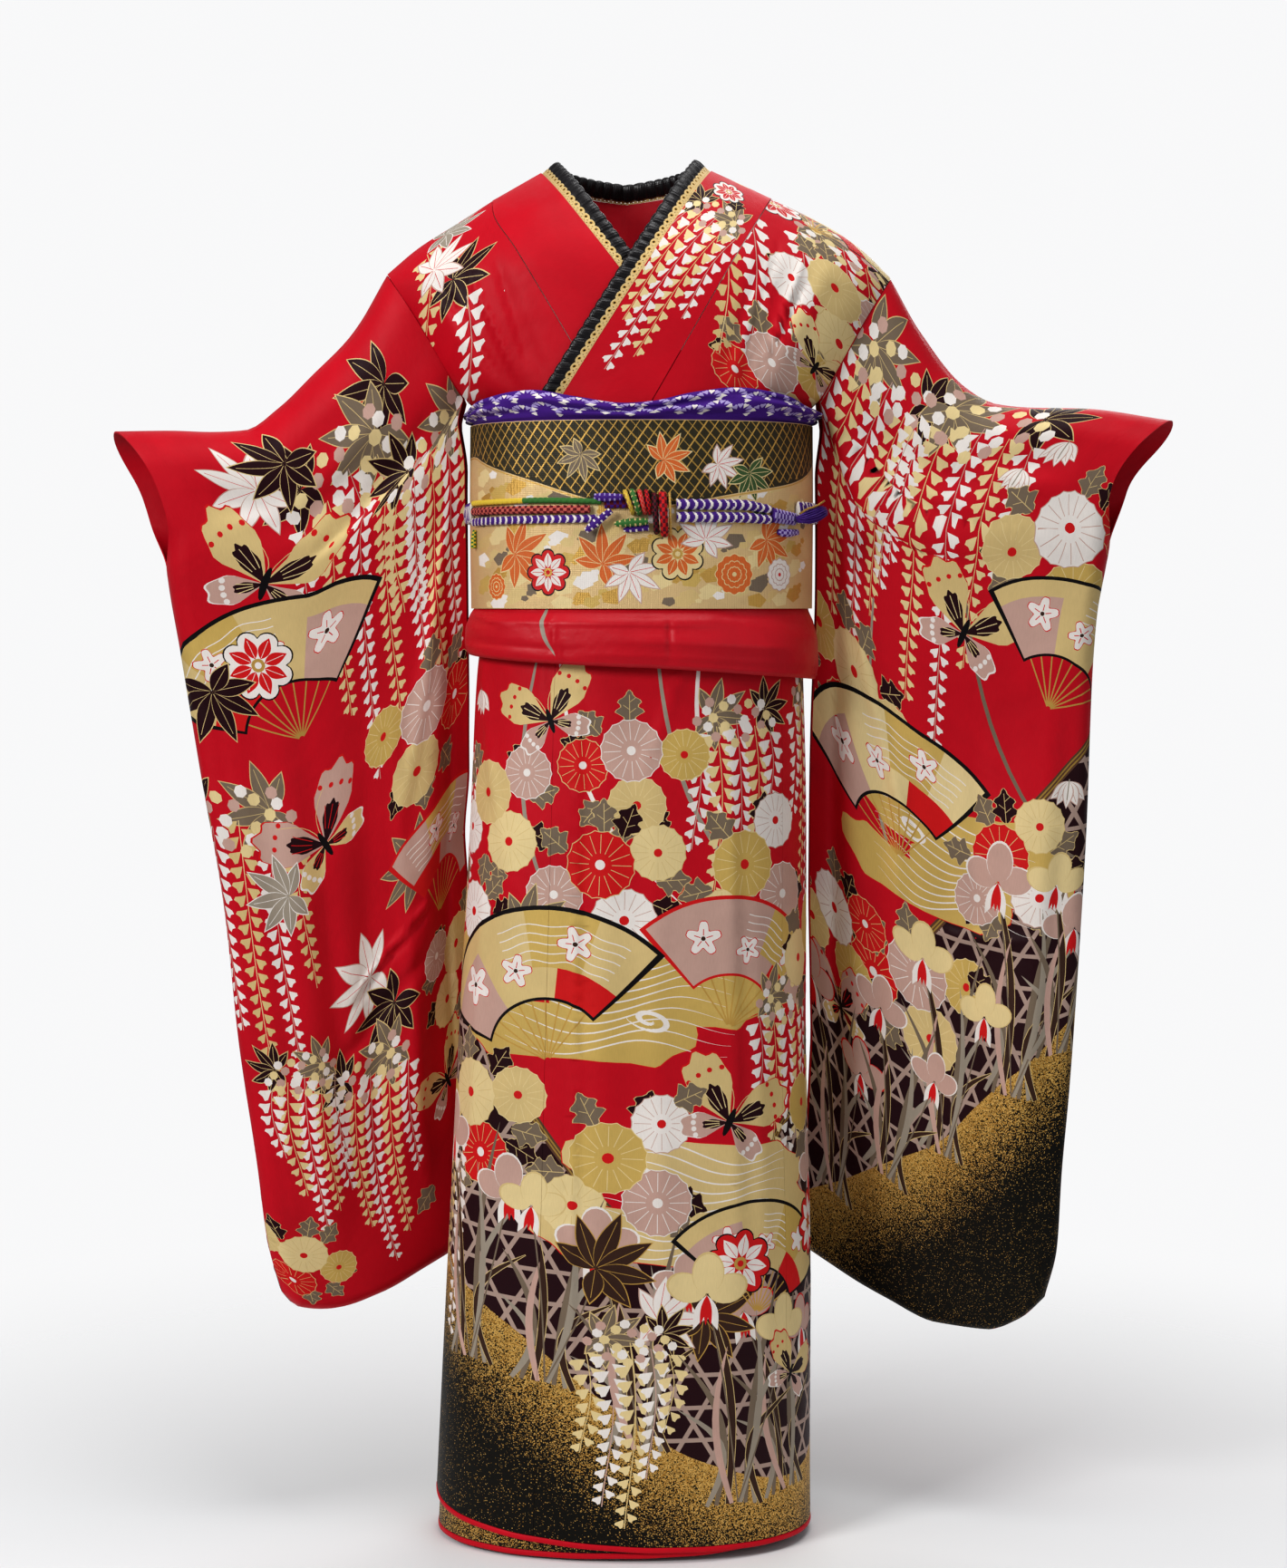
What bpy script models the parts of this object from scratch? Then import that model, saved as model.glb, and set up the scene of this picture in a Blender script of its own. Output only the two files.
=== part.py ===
"""Furisode kimono in its worn, hollow form, with its tied obi, obi scarf and obi cord.

Sizes are in millimetres and are scaled to metres when a mesh is made. The garment faces -Y, +X is
its own left side and +Z is up. The origin lies on the shoulder line above the middle of the obi.
Every cloth is a surface worked out from the tables below, and Solidify gives it its wall.
"""
import math

import bmesh
import bpy
import numpy as np

MM = 0.001
WALL = 1.4
COLLAR_WALL = 2.4
OBI_WALL = 2.4
SCARF_WALL = 1.2
LACE_WALL = 1.0
SEAM = 0.3
ROUND = 2.3
NAPE_X = -14.0

# The skirt's inner layer: half widths to the garment's right and left, depths to front and back.
RING_COLUMNS = ("height", "right", "left", "front", "back")
SKIRT_RINGS = (
    (-1440, 212, 176, 126, 127),
    (-1130, 196, 173, 124, 126),
    (-850, 181, 167, 124, 125),
    (-662, 170, 167, 124, 122),
    (-520, 163, 165, 121, 113),
    (-440, 152.5, 157, 115, 100),
)
OBI_RINGS = (
    (-448, 172.0, 177.6, 135.0, 119.0),
    (-350, 173.0, 178.2, 136.2, 119.5),
    (-262, 172.3, 177.6, 135.2, 119.0),
)
SCARF_RINGS = (
    (-277, 170.1, 175.4, 133.0, 116.8),
    (-260.5, 170.1, 175.4, 133.0, 116.2),
    (-250, 178.0, 184.5, 132.6, 112.6),
    (-240, 188.0, 194.0, 132.2, 113.2),
    (-224, 200.0, 206.0, 132.0, 113.8),
)
FOLD_RING = (167.0, 172.6, 130.0, 114.0)

# The upper body: the ring that the body cloth follows, arms included above the armholes.
TRUNK_COLUMNS = ("height", "right", "left", "front", "back")
TRUNK_RINGS = (
    (-440, 156.5, 161.0, 119, 104),
    (-268, 157.0, 161.5, 119, 106),
    (-250, 163.0, 168.0, 118, 108),
    (-232, 182.0, 187.0, 117, 109),
    (-205, 206.0, 209.0, 116, 110),
    (-160, 237.0, 239.0, 114, 110),
    (-130, 268.0, 270.0, 112, 108),
    (-106, 300.0, 304.0, 112, 106),
    (-60, 318.0, 320.0, 108, 101),
    (0, 330.0, 330.0, 100, 95),
)
SHOULDER_COLUMNS = ("across", "height")
SHOULDER_LINE = (
    (-258, -106), (-225, -79), (-188, -56), (-150, -32), (-122, -14), (-100, -3), (-60, 0),
    (30, 0), (74, -1), (104, -14), (136, -30), (170, -46), (202, -63), (230, -83), (258, -110),
)
CHEST_DROP = 150.0
BLADE_DROP = 110.0
ARMHOLE_TOP = 258.0
TRUNK_END = -440.0
ARMHOLE_COLUMNS = ("drop", "right", "left")
ARMHOLE = (
    (0, 258, 258), (26, 240, 241), (54, 222, 224), (99, 196, 199), (126, 179, 183),
    (144, 160, 164), (160, 153, 157), (334, 152, 156),
)

# Where the collar is sewn on, across at each height: the front of each side, then the back neck.
COLLAR_SEAM_COLUMNS = ("height", "across")
COLLAR_SEAM = {
    "left": ((-440, -101), (-330, -37), (-228, 22), (-105, 93), (-50, 125), (-30, 136)),
    "right": ((-440, 84), (-330, 19), (-174, -73), (-90, -123), (-50, -147), (-32, -150)),
}
COLLAR_EDGE = {
    "left": ((-440, -203), (-330, -134), (-241, -78), (-111, 5), (-40, 50), (-1, 74)),
    "right": ((-440, 227), (-330, 145), (-190, 40), (-96.5, -30), (-45, -69), (-3, -100)),
}
NECK_END_HEIGHT = -75.0
NAPE_EDGE = {"left": ((74, 0, -1), (52, 74, -11), (NAPE_X, 110, -20)),
             "right": ((-100, 0, -3), (-79, 74, -12), (NAPE_X, 110, -20))}
LAYER_OUT = {"left": 7.0, "right": 0.0}
BACK_OUT = 2.5
COLLAR_GAP = 0.8
COLLAR_END = 305.0

# The skirt cloth along its wrap, from the free edge on top round the back to the one underneath.
PANELS = (
    ("overlap_left", 0, 145), ("skirt_front_left", 145, 390), ("skirt_back_left", 390, 690),
    ("skirt_back_right", 690, 990), ("skirt_front_right", 990, 1235),
    ("overlap_right", 1235, 1380),
)
WRAP_LENGTH = 1380.0
WRAP_START = math.radians(183)
WRAP_REFERENCE = -700.0
LAYER_STEP = 4.0
LAYER_RAMP = (math.radians(362), math.radians(388))
SKIRT_TOP = -440.4
HEM_COLUMNS = ("along", "height")
HEM = (
    (0, -1362), (40, -1372), (90, -1380), (145, -1387), (250, -1395), (390, -1396),
    (690, -1400), (990, -1402), (1100, -1403), (1250, -1400), (1380, -1390),
)

# Creases: start and end (along, down the cloth), half width and height of the ridge.
SKIRT_CREASES = (
    (205, 30, 196, 946, 16, 3.0),
    (105, 60, 92, 840, 20, 2.4),
    (318, 40, 330, 920, 22, 3.0),
    (505, 90, 520, 920, 30, 3.0),
    (862, 90, 850, 920, 30, 3.0),
)
SLEEVE_CREASES = {
    "right": ((20, 150, 330, 70, 26, -7), (30, 230, 150, 900, 30, 9), (150, 260, 190, 980, 24, -6),
              (250, 200, 262, 980, 26, 8), (60, 640, 240, 690, 12, -4)),
    "left": ((20, 120, 300, 60, 24, -7), (60, 220, 90, 930, 30, 8), (190, 240, 180, 980, 26, -6),
             (282, 230, 285, 960, 26, 7)),
}
BODY_CREASES = {
    "right": ((18, 40, 52, 240, 8, -2.4), (70, 40, 84, 240, 9, -2.6), (112, 30, 106, 235, 10, 3)),
    "left": ((22, 40, 58, 240, 8, -2.4), (52, 50, 84, 240, 9, -2.6), (98, 20, 108, 235, 12, 3)),
}

# Sleeves. Top: along the arm. Outer: cuff, then the sewn edge. Bottom: inner to outer corner.
SLEEVE_WIDTH = 340.0
SLEEVE_LENGTH = 1010.0
SLEEVE_POINT = ("at", "x", "y", "z")
SLEEVE_TOP = {
    "right": ((0, -258, 0, -106), (0.21, -296, -4, -169), (0.36, -335, -8, -209),
              (0.51, -371, -13, -244), (0.62, -404, -17, -266), (0.72, -440, -20, -268),
              (0.83, -478, -23, -267), (1, -536, -26, -268)),
    "left": ((0, 258, 0, -110), (0.16, 289, -4, -165), (0.36, 334, -9, -221),
             (0.46, 367, -13, -239), (0.58, 405, -17, -243), (0.72, 451, -21, -244),
             (1, 545, -26, -257)),
}
SLEEVE_OUTER = {
    "right": ((0, -536, -26, -268), (0.07, -500, -27, -332), (0.13, -485, -28, -392),
              (0.16, -482, -28, -420), (0.24, -470, -27, -494), (0.36, -451, -26, -616),
              (0.50, -428, -25, -757), (0.64, -414, -24, -898), (0.78, -397, -22, -1020),
              (0.90, -386, -20, -1108), (1, -372, -18, -1160)),
    "left": ((0, 545, -26, -257), (0.09, 492, -27, -326), (0.165, 478, -28, -404),
             (0.22, 469, -28, -457), (0.28, 465, -27, -521), (0.42, 461, -26, -670),
             (0.55, 455, -25, -796), (0.70, 446, -24, -945), (0.79, 439, -23, -1033),
             (0.90, 435, -21, -1112), (1, 423, -18, -1165)),
}
SLEEVE_BOTTOM = {
    "right": ((0, -150, 122, -1110), (0.2, -190, 97, -1132), (0.4, -232, 68, -1153),
              (0.6, -277, 40, -1174), (0.8, -322, 12, -1184), (0.93, -356, -10, -1177),
              (1, -372, -18, -1160)),
    "left": ((0, 172, 98, -1132), (0.2, 220, 76, -1160), (0.4, 268, 50, -1183),
             (0.6, 318, 22, -1202), (0.8, 365, -2, -1203), (0.92, 400, -12, -1188),
             (1, 423, -18, -1165)),
}
# Free inner edge below the armhole: drop, across, depth, half gap.
SLEEVE_INNER = {
    "right": ((156, -187, 1, 30), (224, -189, 5, 23), (324, -189, 14, 17), (454, -189, 32, 14),
              (644, -182, 70, 13), (844, -168, 100, 13), (1004, -150, 122, 13)),
    "left": ((156, 190, 1, 30), (220, 193, 5, 23), (320, 194, 12, 17), (450, 191, 26, 14),
             (640, 188, 52, 13), (840, 182, 77, 13), (1022, 172, 98, 13)),
}
ARMHOLE_END = 126.0
ARMHOLE_GAP = 0.8
ARM_GAP_COLUMNS = ("at", "gap")
ARM_GAP = ((0, 40), (0.06, 42), (0.12, 38), (0.22, 25), (0.36, 15), (0.6, 13), (1, 13))
ARM_ARCH = 0.045
CUFF_END = 0.155
CUFF_CLOSE = 0.06
CUFF_SKEW = 13.0
EDGE_ROUND = 0.94
BOTTOM_ROUND = 0.985

# The trims lie under the collar's folded edge: from and to are distances from it to the neck.
TRIM_END = {"left": -252.0, "right": -150.0}
LACE_FROM, LACE_TO, LACE_UNDER = 0.5, 9.0, 0.6
RUFFLE_FROM, RUFFLE_TO, RUFFLE_UNDER = 3.5, 22.0, 2.8
LACE_PITCH = 9.2
RUFFLE_PITCH = 12.0
RUFFLE_WAVE = 1.5
LACE_DEPTH = 2.2
TRIM_LEAN = {"ridge": (0.75, 0.1, 0.66), "nape": (0.0, -0.25, 0.97)}

FOLD_TOP = -440.3
FOLD_BOTTOM = ((183, -493), (230, -500), (270, -506), (320, -516), (357, -520), (450, -512),
               (543, -493))
FOLD_PROFILE = (
    (0, 0), (0.13, 2.0), (0.27, 7), (0.5, 11.5), (0.85, 12.5), (1.0, 9.5), (0.96, 5.5),
    (0.7, 4.2), (0.3, 3.0),
)
SCARF_TOP_COLUMNS = ("across", "height")
SCARF_TOP = (
    (-200, -251), (-170, -250), (-144, -240), (-94, -232), (-58, -239), (-13, -246), (13, -244),
    (49, -235), (85, -230), (130, -236), (160, -246), (200, -251),
)
SCARF_BACK_TOP = -228.0
SCARF_LOW, SCARF_RIM = -277.0, -260.5
SCARF_PROFILE_COLUMNS = ("rise", "bulge")
SCARF_PROFILE = ((0, 0), (0.25, 0.8), (0.6, 1.0), (0.88, 0.7), (1.0, 0.0))
SCARF_BULGE = 6.0

DRUM_HALF = 150.0
DRUM_PROFILE = (
    (122.9, -292), (122.9, -266), (129, -242), (133, -222), (144, -208), (158, -203), (173, -212),
    (184, -240), (191, -300), (190, -370), (182, -425), (172, -441), (160, -438), (157, -420),
    (158, -360),
)
DRUM_WRAP_COLUMNS = ("depth", "share")
DRUM_WRAP = ((123, 0.8), (155, 0.6), (191, 0.42))
DRUM_SNUG_ROWS = 2
HAND_SIZE = (320.0, 9.0, 86.0)
HAND_PLACE = (126.4, -345.0)
HAND_WRAP = 0.9
TAIL_PROFILE = ((154.1, -374), (154.0, -440), (152, -480), (149, -520))
TAIL_WRAP = 0.59
BACK_COLUMNS, HAND_COLUMNS = 11, 9

# The cord on the obi's front: number of rings, flatness, then across, height, out and radius.
CORD_RUNS = (
    ("cord_yellow", 13, 0.9, ((-168, -341.8, 4.5, 3.0), (-100, -341.0, 4.4, 3.0),
                              (-37, -342.6, 4.4, 3.0))),
    ("cord_red", 13, 0.75, ((-168, -350.2, 4.9, 4.3), (-48, -350.2, 4.9, 4.3))),
    ("cord_purple_left", 13, 0.75, ((-168, -360.6, 4.9, 4.3), (-110, -359.8, 4.9, 4.3),
                                    (-41, -359.4, 4.9, 4.3))),
    ("cord_braid_upper", 10, 0.62, ((37, -345.4, 5.2, 5.6), (100, -345.4, 5.2, 5.6),
                                    (131, -349.4, 4.6, 4.4))),
    ("cord_braid_lower", 10, 0.62, ((37, -357.8, 5.2, 5.6), (100, -357.8, 5.2, 5.6),
                                    (131, -359.6, 4.8, 4.8))),
    ("cord_gather", 5, 0.5, ((133.5, -355.0, 5.2, 8.0), (157, -358.5, 4.5, 6.5))),
    ("cord_knot", 8, 0.45, ((-34, -345, 4.3, 4.8), (-20, -343.5, 4.4, 6.2),
                            (10.5, -343.5, 4.4, 6.0))),
    ("cord_bow_upper", 6, 0.6, ((-44, -337.6, 11.4, 2.6), (-36, -338.6, 10.6, 4.4),
                                (-16.0, -338.6, 11.2, 3.2))),
    ("cord_bow_lower", 7, 0.6, ((-52, -371.5, 9.4, 3.0), (-45, -366, 10.7, 4.4),
                                (-27, -351.4, 10.4, 3.4))),
    ("cord_bow_green", 7, 0.7, ((-24, -365.2, 9.0, 2.4), (-16, -364.2, 9.2, 4.0),
                                (-4, -363.0, 9.3, 4.4), (9, -362.2, 9.3, 3.4))),
    ("cord_bow_right", 6, 0.7, ((-15, -370.0, 4.0, 2.6), (-6, -369.0, 4.5, 4.2),
                                (10, -367.2, 4.5, 4.2))),
    ("cord_end_loop", 5, 0.7, ((139, -371.5, 3.8, 2.6), (147, -372.6, 4.4, 4.4),
                               (160, -371.2, 3.9, 3.0))),
)
# Loops over the knot: across, lean, middle height, reach up and down, out at ends, rise, radius.
CORD_LOOPS = (
    ("cord_loop_yellow", -9.6, 4.0, -343.5, 10.5, 3.9, 9.2, 2.5),
    ("cord_loop_green", -3.0, 3.6, -343.5, 10.8, 4.4, 9.6, 3.0),
    ("cord_loop_red", 3.5, 2.8, -343.5, 10.5, 3.9, 9.2, 2.5),
    ("cord_loop_red_second", 9.3, 2.0, -343.5, 10.8, 3.8, 9.0, 2.4),
    ("cord_loop_dark", 16.5, 1.2, -354.5, 18.0, 4.6, 9.2, 3.2),
    ("cord_loop_wide", 24.5, 1.0, -355.0, 19.0, 5.4, 9.6, 4.2),
    ("cord_loop_edge", 30.9, 0.6, -355.0, 20.5, 1.9, 11.4, 1.5),
)
# Tucked ends: across, depth, height, radius.
CORD_ENDS = (
    ("cord_tuft", ((158.6, -85.9, -358.6, 2.6), (163.5, -91, -358, 4.2), (169, -89.5, -357, 5.8),
                   (178, -83, -354, 6.6), (187, -75, -350, 5.0))),
    ("cord_gold_end", ((161, -89, -353.6, 1.1), (169, -90, -348.4, 1.1),
                       (178, -84, -345.3, 1.1), (187, -77, -339.5, 0.9))),
    ("cord_yellow_end", ((-166.7, -54.6, -368.5, 2.0), (-167.6, -55.0, -378, 3.0),
                         (-167.8, -55.1, -387, 3.2))),
)
CORD_BEHIND_SPAN = (198.5, -31.0)
CORD_SIDE_OUT, CORD_BACK_OUT = 4.8, 16.4
CORD_BEHIND_RADIUS = (11.5, 9.0)
CORD_BEHIND_HEIGHT = -351.5


def smooth_curve(at, knots, values):
    """Monotone cubic through the table's points, so a curve never swings past them."""
    x, y = np.asarray(knots, float), np.asarray(values, float)
    if x[0] > x[-1]:
        x, y = x[::-1], y[::-1]
    step = np.diff(x)
    slope = np.diff(y) / step
    tangent = np.zeros_like(y)
    same = slope[1:] * slope[:-1] > 0
    w1, w2 = 2 * step[1:] + step[:-1], step[1:] + 2 * step[:-1]
    with np.errstate(divide="ignore", invalid="ignore"):
        inner = (w1 + w2) / (w1 / slope[:-1] + w2 / slope[1:])
    tangent[1:-1] = np.where(same, inner, 0)
    tangent[0], tangent[-1] = slope[0], slope[-1]
    at = np.clip(np.asarray(at, float), x[0], x[-1])
    k = np.clip(np.searchsorted(x, at, side="right") - 1, 0, len(step) - 1)
    t = (at - x[k]) / step[k]
    near = (1 + 2 * t) * (1 - t) ** 2 * y[k] + t * (1 - t) ** 2 * step[k] * tangent[k]
    far = t * t * (3 - 2 * t) * y[k + 1] + t * t * (t - 1) * step[k] * tangent[k + 1]
    return near + far


def read(rows, columns, name, at):
    """The named column of a table at a value of its first column."""
    rows = np.array(rows, float)
    return smooth_curve(at, rows[:, 0], rows[:, columns.index(name)])


def smooth_step(low, high, at):
    t = np.clip((at - low) / (high - low), 0, 1)
    return t * t * (3 - 2 * t)


def round_power(c, depth):
    return depth * np.sign(c) * np.abs(c) ** (2 / ROUND)


def ring_point(angle, right, left, front, back, out):
    """Superellipse about the body's axis. Angle 0 is the garment's left, 270 degrees its front."""
    c, s = np.cos(angle), np.sin(angle)
    across = np.where(c < 0, right, left) + out
    deep = np.where(s < 0, front, back) + out
    return round_power(c, across), round_power(s, deep)


def table_ring(rows, angle, height, out):
    sizes = [read(rows, RING_COLUMNS, name, height) for name in RING_COLUMNS[1:]]
    return ring_point(angle, *sizes, out)


def creases(rows, along, down):
    """Sum of soft ridges, each a bell across its line that fades out towards both of its ends."""
    total = np.zeros(np.broadcast(along, down).shape)
    for a0, d0, a1, d1, half, rise in rows:
        run = np.array([a1 - a0, d1 - d0], float)
        length = np.hypot(*run)
        t = ((along - a0) * run[0] + (down - d0) * run[1]) / length ** 2
        away = ((along - a0) * run[1] - (down - d0) * run[0]) / length
        ends = smooth_step(0, 0.3, t) * smooth_step(1, 0.75, t)
        total = total + rise * ends * np.exp(-(away / half) ** 2)
    return total


def shoulder(x):
    return read(SHOULDER_LINE, SHOULDER_COLUMNS, "height", x)


def trunk_depth(x, z, out, face):
    """Depth of the upper body at a place in the front view: a dome that meets the shoulder line."""
    side = np.where(x < 0, read(TRUNK_RINGS, TRUNK_COLUMNS, "right", z),
                    read(TRUNK_RINGS, TRUNK_COLUMNS, "left", z)) + out
    deep = read(TRUNK_RINGS, TRUNK_COLUMNS, face, z) + out
    run = CHEST_DROP if face == "front" else BLADE_DROP
    round_side = np.clip(1 - np.abs(x / side) ** ROUND, 0, 1) ** (1 / ROUND)
    down = np.clip((shoulder(x) - z) / run, 0, 1)
    depth = deep * round_side * np.sqrt(1 - (1 - down) ** 2)
    return -depth if face == "front" else depth


def trunk_point(x, z, out, face):
    return np.stack([x, trunk_depth(x, z, out, face), z + 0 * x], -1)


def layer_out(side, face, drop):
    """How far a body cloth stands out: the left front lies over the right one."""
    if face == "back":
        return BACK_OUT + 0 * drop
    return BACK_OUT + (LAYER_OUT[side] - BACK_OUT) * smooth_step(0, 90, drop)


def armhole_point(side, face, drop):
    sign = -1 if side == "right" else 1
    x = sign * read(ARMHOLE, ARMHOLE_COLUMNS, side, drop)
    z = shoulder(sign * ARMHOLE_TOP) - drop
    return trunk_point(x, z, layer_out(side, face, drop), face)


def trunk_drops(share):
    """Share of the way down a body cloth, so that its rows crowd together over the shoulder."""
    bend = 0.42
    arch = 1 - np.cos(np.clip(share / bend, 0, 1) * math.pi / 2)
    run = arch + (math.pi / 2 / bend) * np.clip(share - bend, 0, 1)
    return run / (1 + (math.pi / 2 / bend) * (1 - bend))


def neck_share():
    """The share at which the back neckline ends at the nape."""
    shares = np.linspace(0, 1, 4001)
    top = COLLAR_SEAM["left"][-1][0]
    heights = top - trunk_drops(shares) * (top - TRUNK_END)
    return float(np.interp(-NECK_END_HEIGHT, -heights, shares))


NECK_SHARE = neck_share()


def inner_line(side, face, share):
    """Where a body cloth begins: the collar's seam, and below the nape the centre back seam."""
    top_x, top_z = COLLAR_SEAM[side][-1][1], COLLAR_SEAM[side][-1][0]
    z = top_z - trunk_drops(share) * (top_z - TRUNK_END)
    if face == "front":
        x = read(COLLAR_SEAM[side], COLLAR_SEAM_COLUMNS, "across", z)
    else:
        turn = np.clip(share / NECK_SHARE, 0, 1) * math.pi / 2
        x = NAPE_X + (top_x - NAPE_X) * np.cos(turn)
    return x, z


def body_point(side, face, across, share):
    """A point of the body cloth: across 0 at the collar, 1 at the armhole; share 0 at the shoulder."""
    x0, z0 = inner_line(side, face, share)
    sign = -1 if side == "right" else 1
    top = shoulder(sign * ARMHOLE_TOP)
    z1 = top - trunk_drops(share) * (top - TRUNK_END)
    x1 = sign * read(ARMHOLE, ARMHOLE_COLUMNS, side, top - z1)
    x = x0 + (x1 - x0) * across
    z = z0 + (z1 - z0) * across
    top_x = inner_line(side, face, 0 * share)[0]
    ridge_x = top_x + (sign * ARMHOLE_TOP - top_x) * across
    chord = shoulder(top_x) + (top - shoulder(top_x)) * across
    z = z + (shoulder(ridge_x) - chord) * (1 - smooth_step(0, 1, share)) ** 2
    out = layer_out(side, face, shoulder(x) - z)
    if face == "front":
        width = np.abs(x1 - x0)
        out = out + creases(BODY_CREASES[side], across * width, shoulder(x) - z)
    return trunk_point(x, z, out, face)


def collar_point(side, face, share, inward):
    """A point of the collar band, inward in mm from its seam towards its folded edge."""
    x0, z0 = inner_line(side, face, share)
    seam = trunk_point(x0, z0, layer_out(side, face, shoulder(x0) - z0), face)
    if face == "front":
        top = COLLAR_EDGE[side][-1][0]
        z1 = top - trunk_drops(share) * (top - TRUNK_END)
        x1 = read(COLLAR_EDGE[side], COLLAR_SEAM_COLUMNS, "across", z1)
        run = np.stack([x1 - x0, z1 - z0], -1)
        length = np.linalg.norm(run, axis=-1, keepdims=True)
        flat = np.stack([x0, z0], -1) + run / length * inward[..., None]
        drop = np.maximum(shoulder(flat[..., 0]) - flat[..., 1], 0)
        over = smooth_step(0, 40, shoulder(x0) - z0)
        point = trunk_point(flat[..., 0], flat[..., 1], layer_out(side, face, drop), face)
        straight = seam + (edge_point(side, share * 0) - seam) * (inward / length[..., 0])[..., None]
        return straight + (point - straight) * over[..., None]
    edge = edge_point(side, share / NECK_SHARE)
    run = edge - seam
    length = np.linalg.norm(run, axis=-1, keepdims=True)
    return seam + run / length * inward[..., None]


def edge_point(side, turn):
    """The collar's folded edge round the neck, from the shoulder (0) to the nape (1)."""
    start, middle, end = (np.array(p, float) for p in NAPE_EDGE[side])
    turn = np.clip(turn, 0, 1)[..., None]
    control = 2 * middle - (start + end) / 2
    return (1 - turn) ** 2 * start + 2 * turn * (1 - turn) * control + turn ** 2 * end


def collar_width(side, face, share):
    x0, z0 = inner_line(side, face, share)
    if face == "front":
        top = COLLAR_EDGE[side][-1][0]
        z1 = top - trunk_drops(share) * (top - TRUNK_END)
        x1 = read(COLLAR_EDGE[side], COLLAR_SEAM_COLUMNS, "across", z1)
        return np.hypot(x1 - x0, z1 - z0)
    seam = trunk_point(x0, z0, BACK_OUT + 0 * x0, face)
    return np.linalg.norm(edge_point(side, share / NECK_SHARE) - seam, axis=-1)


def wrap_angles():
    """Angle round the skirt against the length of cloth, from the length of the reference ring."""
    angles = np.linspace(WRAP_START, WRAP_START + 4 * math.pi, 2881)
    x, y = table_ring(SKIRT_RINGS, angles, WRAP_REFERENCE + 0 * angles, LAYER_STEP / 2)
    length = np.concatenate([[0], np.cumsum(np.hypot(np.diff(x), np.diff(y)))])
    return length, angles


WRAP_LENGTHS, WRAP_ANGLES = wrap_angles()


def skirt_point(along, share):
    """The skirt cloth: along its wrap in mm, share 0 at the top and 1 at the hem."""
    hem = read(HEM, HEM_COLUMNS, "height", along)
    z = SKIRT_TOP + (hem - SKIRT_TOP) * share
    angle = np.interp(along, WRAP_LENGTHS, WRAP_ANGLES)
    out = LAYER_STEP * (1 - smooth_step(*LAYER_RAMP, angle))
    soft = creases(SKIRT_CREASES, along, SKIRT_TOP - z)
    x, y = table_ring(SKIRT_RINGS, angle, z, out + soft)
    return np.stack([x, y, z + 0 * x], -1)


def sleeve_path(rows, at):
    return np.stack([read(rows, SLEEVE_POINT, name, at) for name in "xyz"], -1)


def sleeve_inner_table(side):
    """Middle line and half gap of the sleeve's inner edge: the armhole, then the free edge."""
    drops = np.linspace(0, ARMHOLE_END, 64)
    front, back = armhole_point(side, "front", drops), armhole_point(side, "back", drops)
    middle, gap = (front + back) / 2, (back - front) / 2
    rows = np.array(SLEEVE_INNER[side], float)
    top = front[0, 2]
    free = np.stack([rows[:, 1], rows[:, 2], top - rows[:, 0]], -1)
    wide = np.zeros_like(free)
    wide[:, 1] = rows[:, 3]
    path, gaps = np.concatenate([middle, free]), np.concatenate([gap, wide])
    length = np.concatenate([[0], np.cumsum(np.linalg.norm(np.diff(path, axis=0), axis=1))])
    return length / length[-1], path, gaps


INNER = {side: sleeve_inner_table(side) for side in ("right", "left")}


def inner_middle(side, at):
    share, path, gaps = INNER[side]
    point = np.stack([smooth_curve(at, share, path[:, k]) for k in range(3)], -1)
    gap = np.stack([smooth_curve(at, share, gaps[:, k]) for k in range(3)], -1)
    return point, gap


def sleeve_middle(side, u, v):
    """Coons patch between the sleeve's top, bottom, inner and outer lines."""
    inner, outer = inner_middle(side, v)[0], sleeve_path(SLEEVE_OUTER[side], v)
    top, bottom = sleeve_path(SLEEVE_TOP[side], u), sleeve_path(SLEEVE_BOTTOM[side], u)
    c00, c01 = sleeve_path(SLEEVE_TOP[side], 0 * u), sleeve_path(SLEEVE_BOTTOM[side], 0 * u)
    c10, c11 = sleeve_path(SLEEVE_TOP[side], 0 * u + 1), sleeve_path(SLEEVE_BOTTOM[side], 0 * u + 1)
    u, v = u[..., None], v[..., None]
    across = (1 - u) * inner + u * outer
    down = (1 - v) * top + v * bottom
    corners = (1 - v) * ((1 - u) * c00 + u * c10) + v * ((1 - u) * c01 + u * c11)
    return across + down - corners


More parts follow.
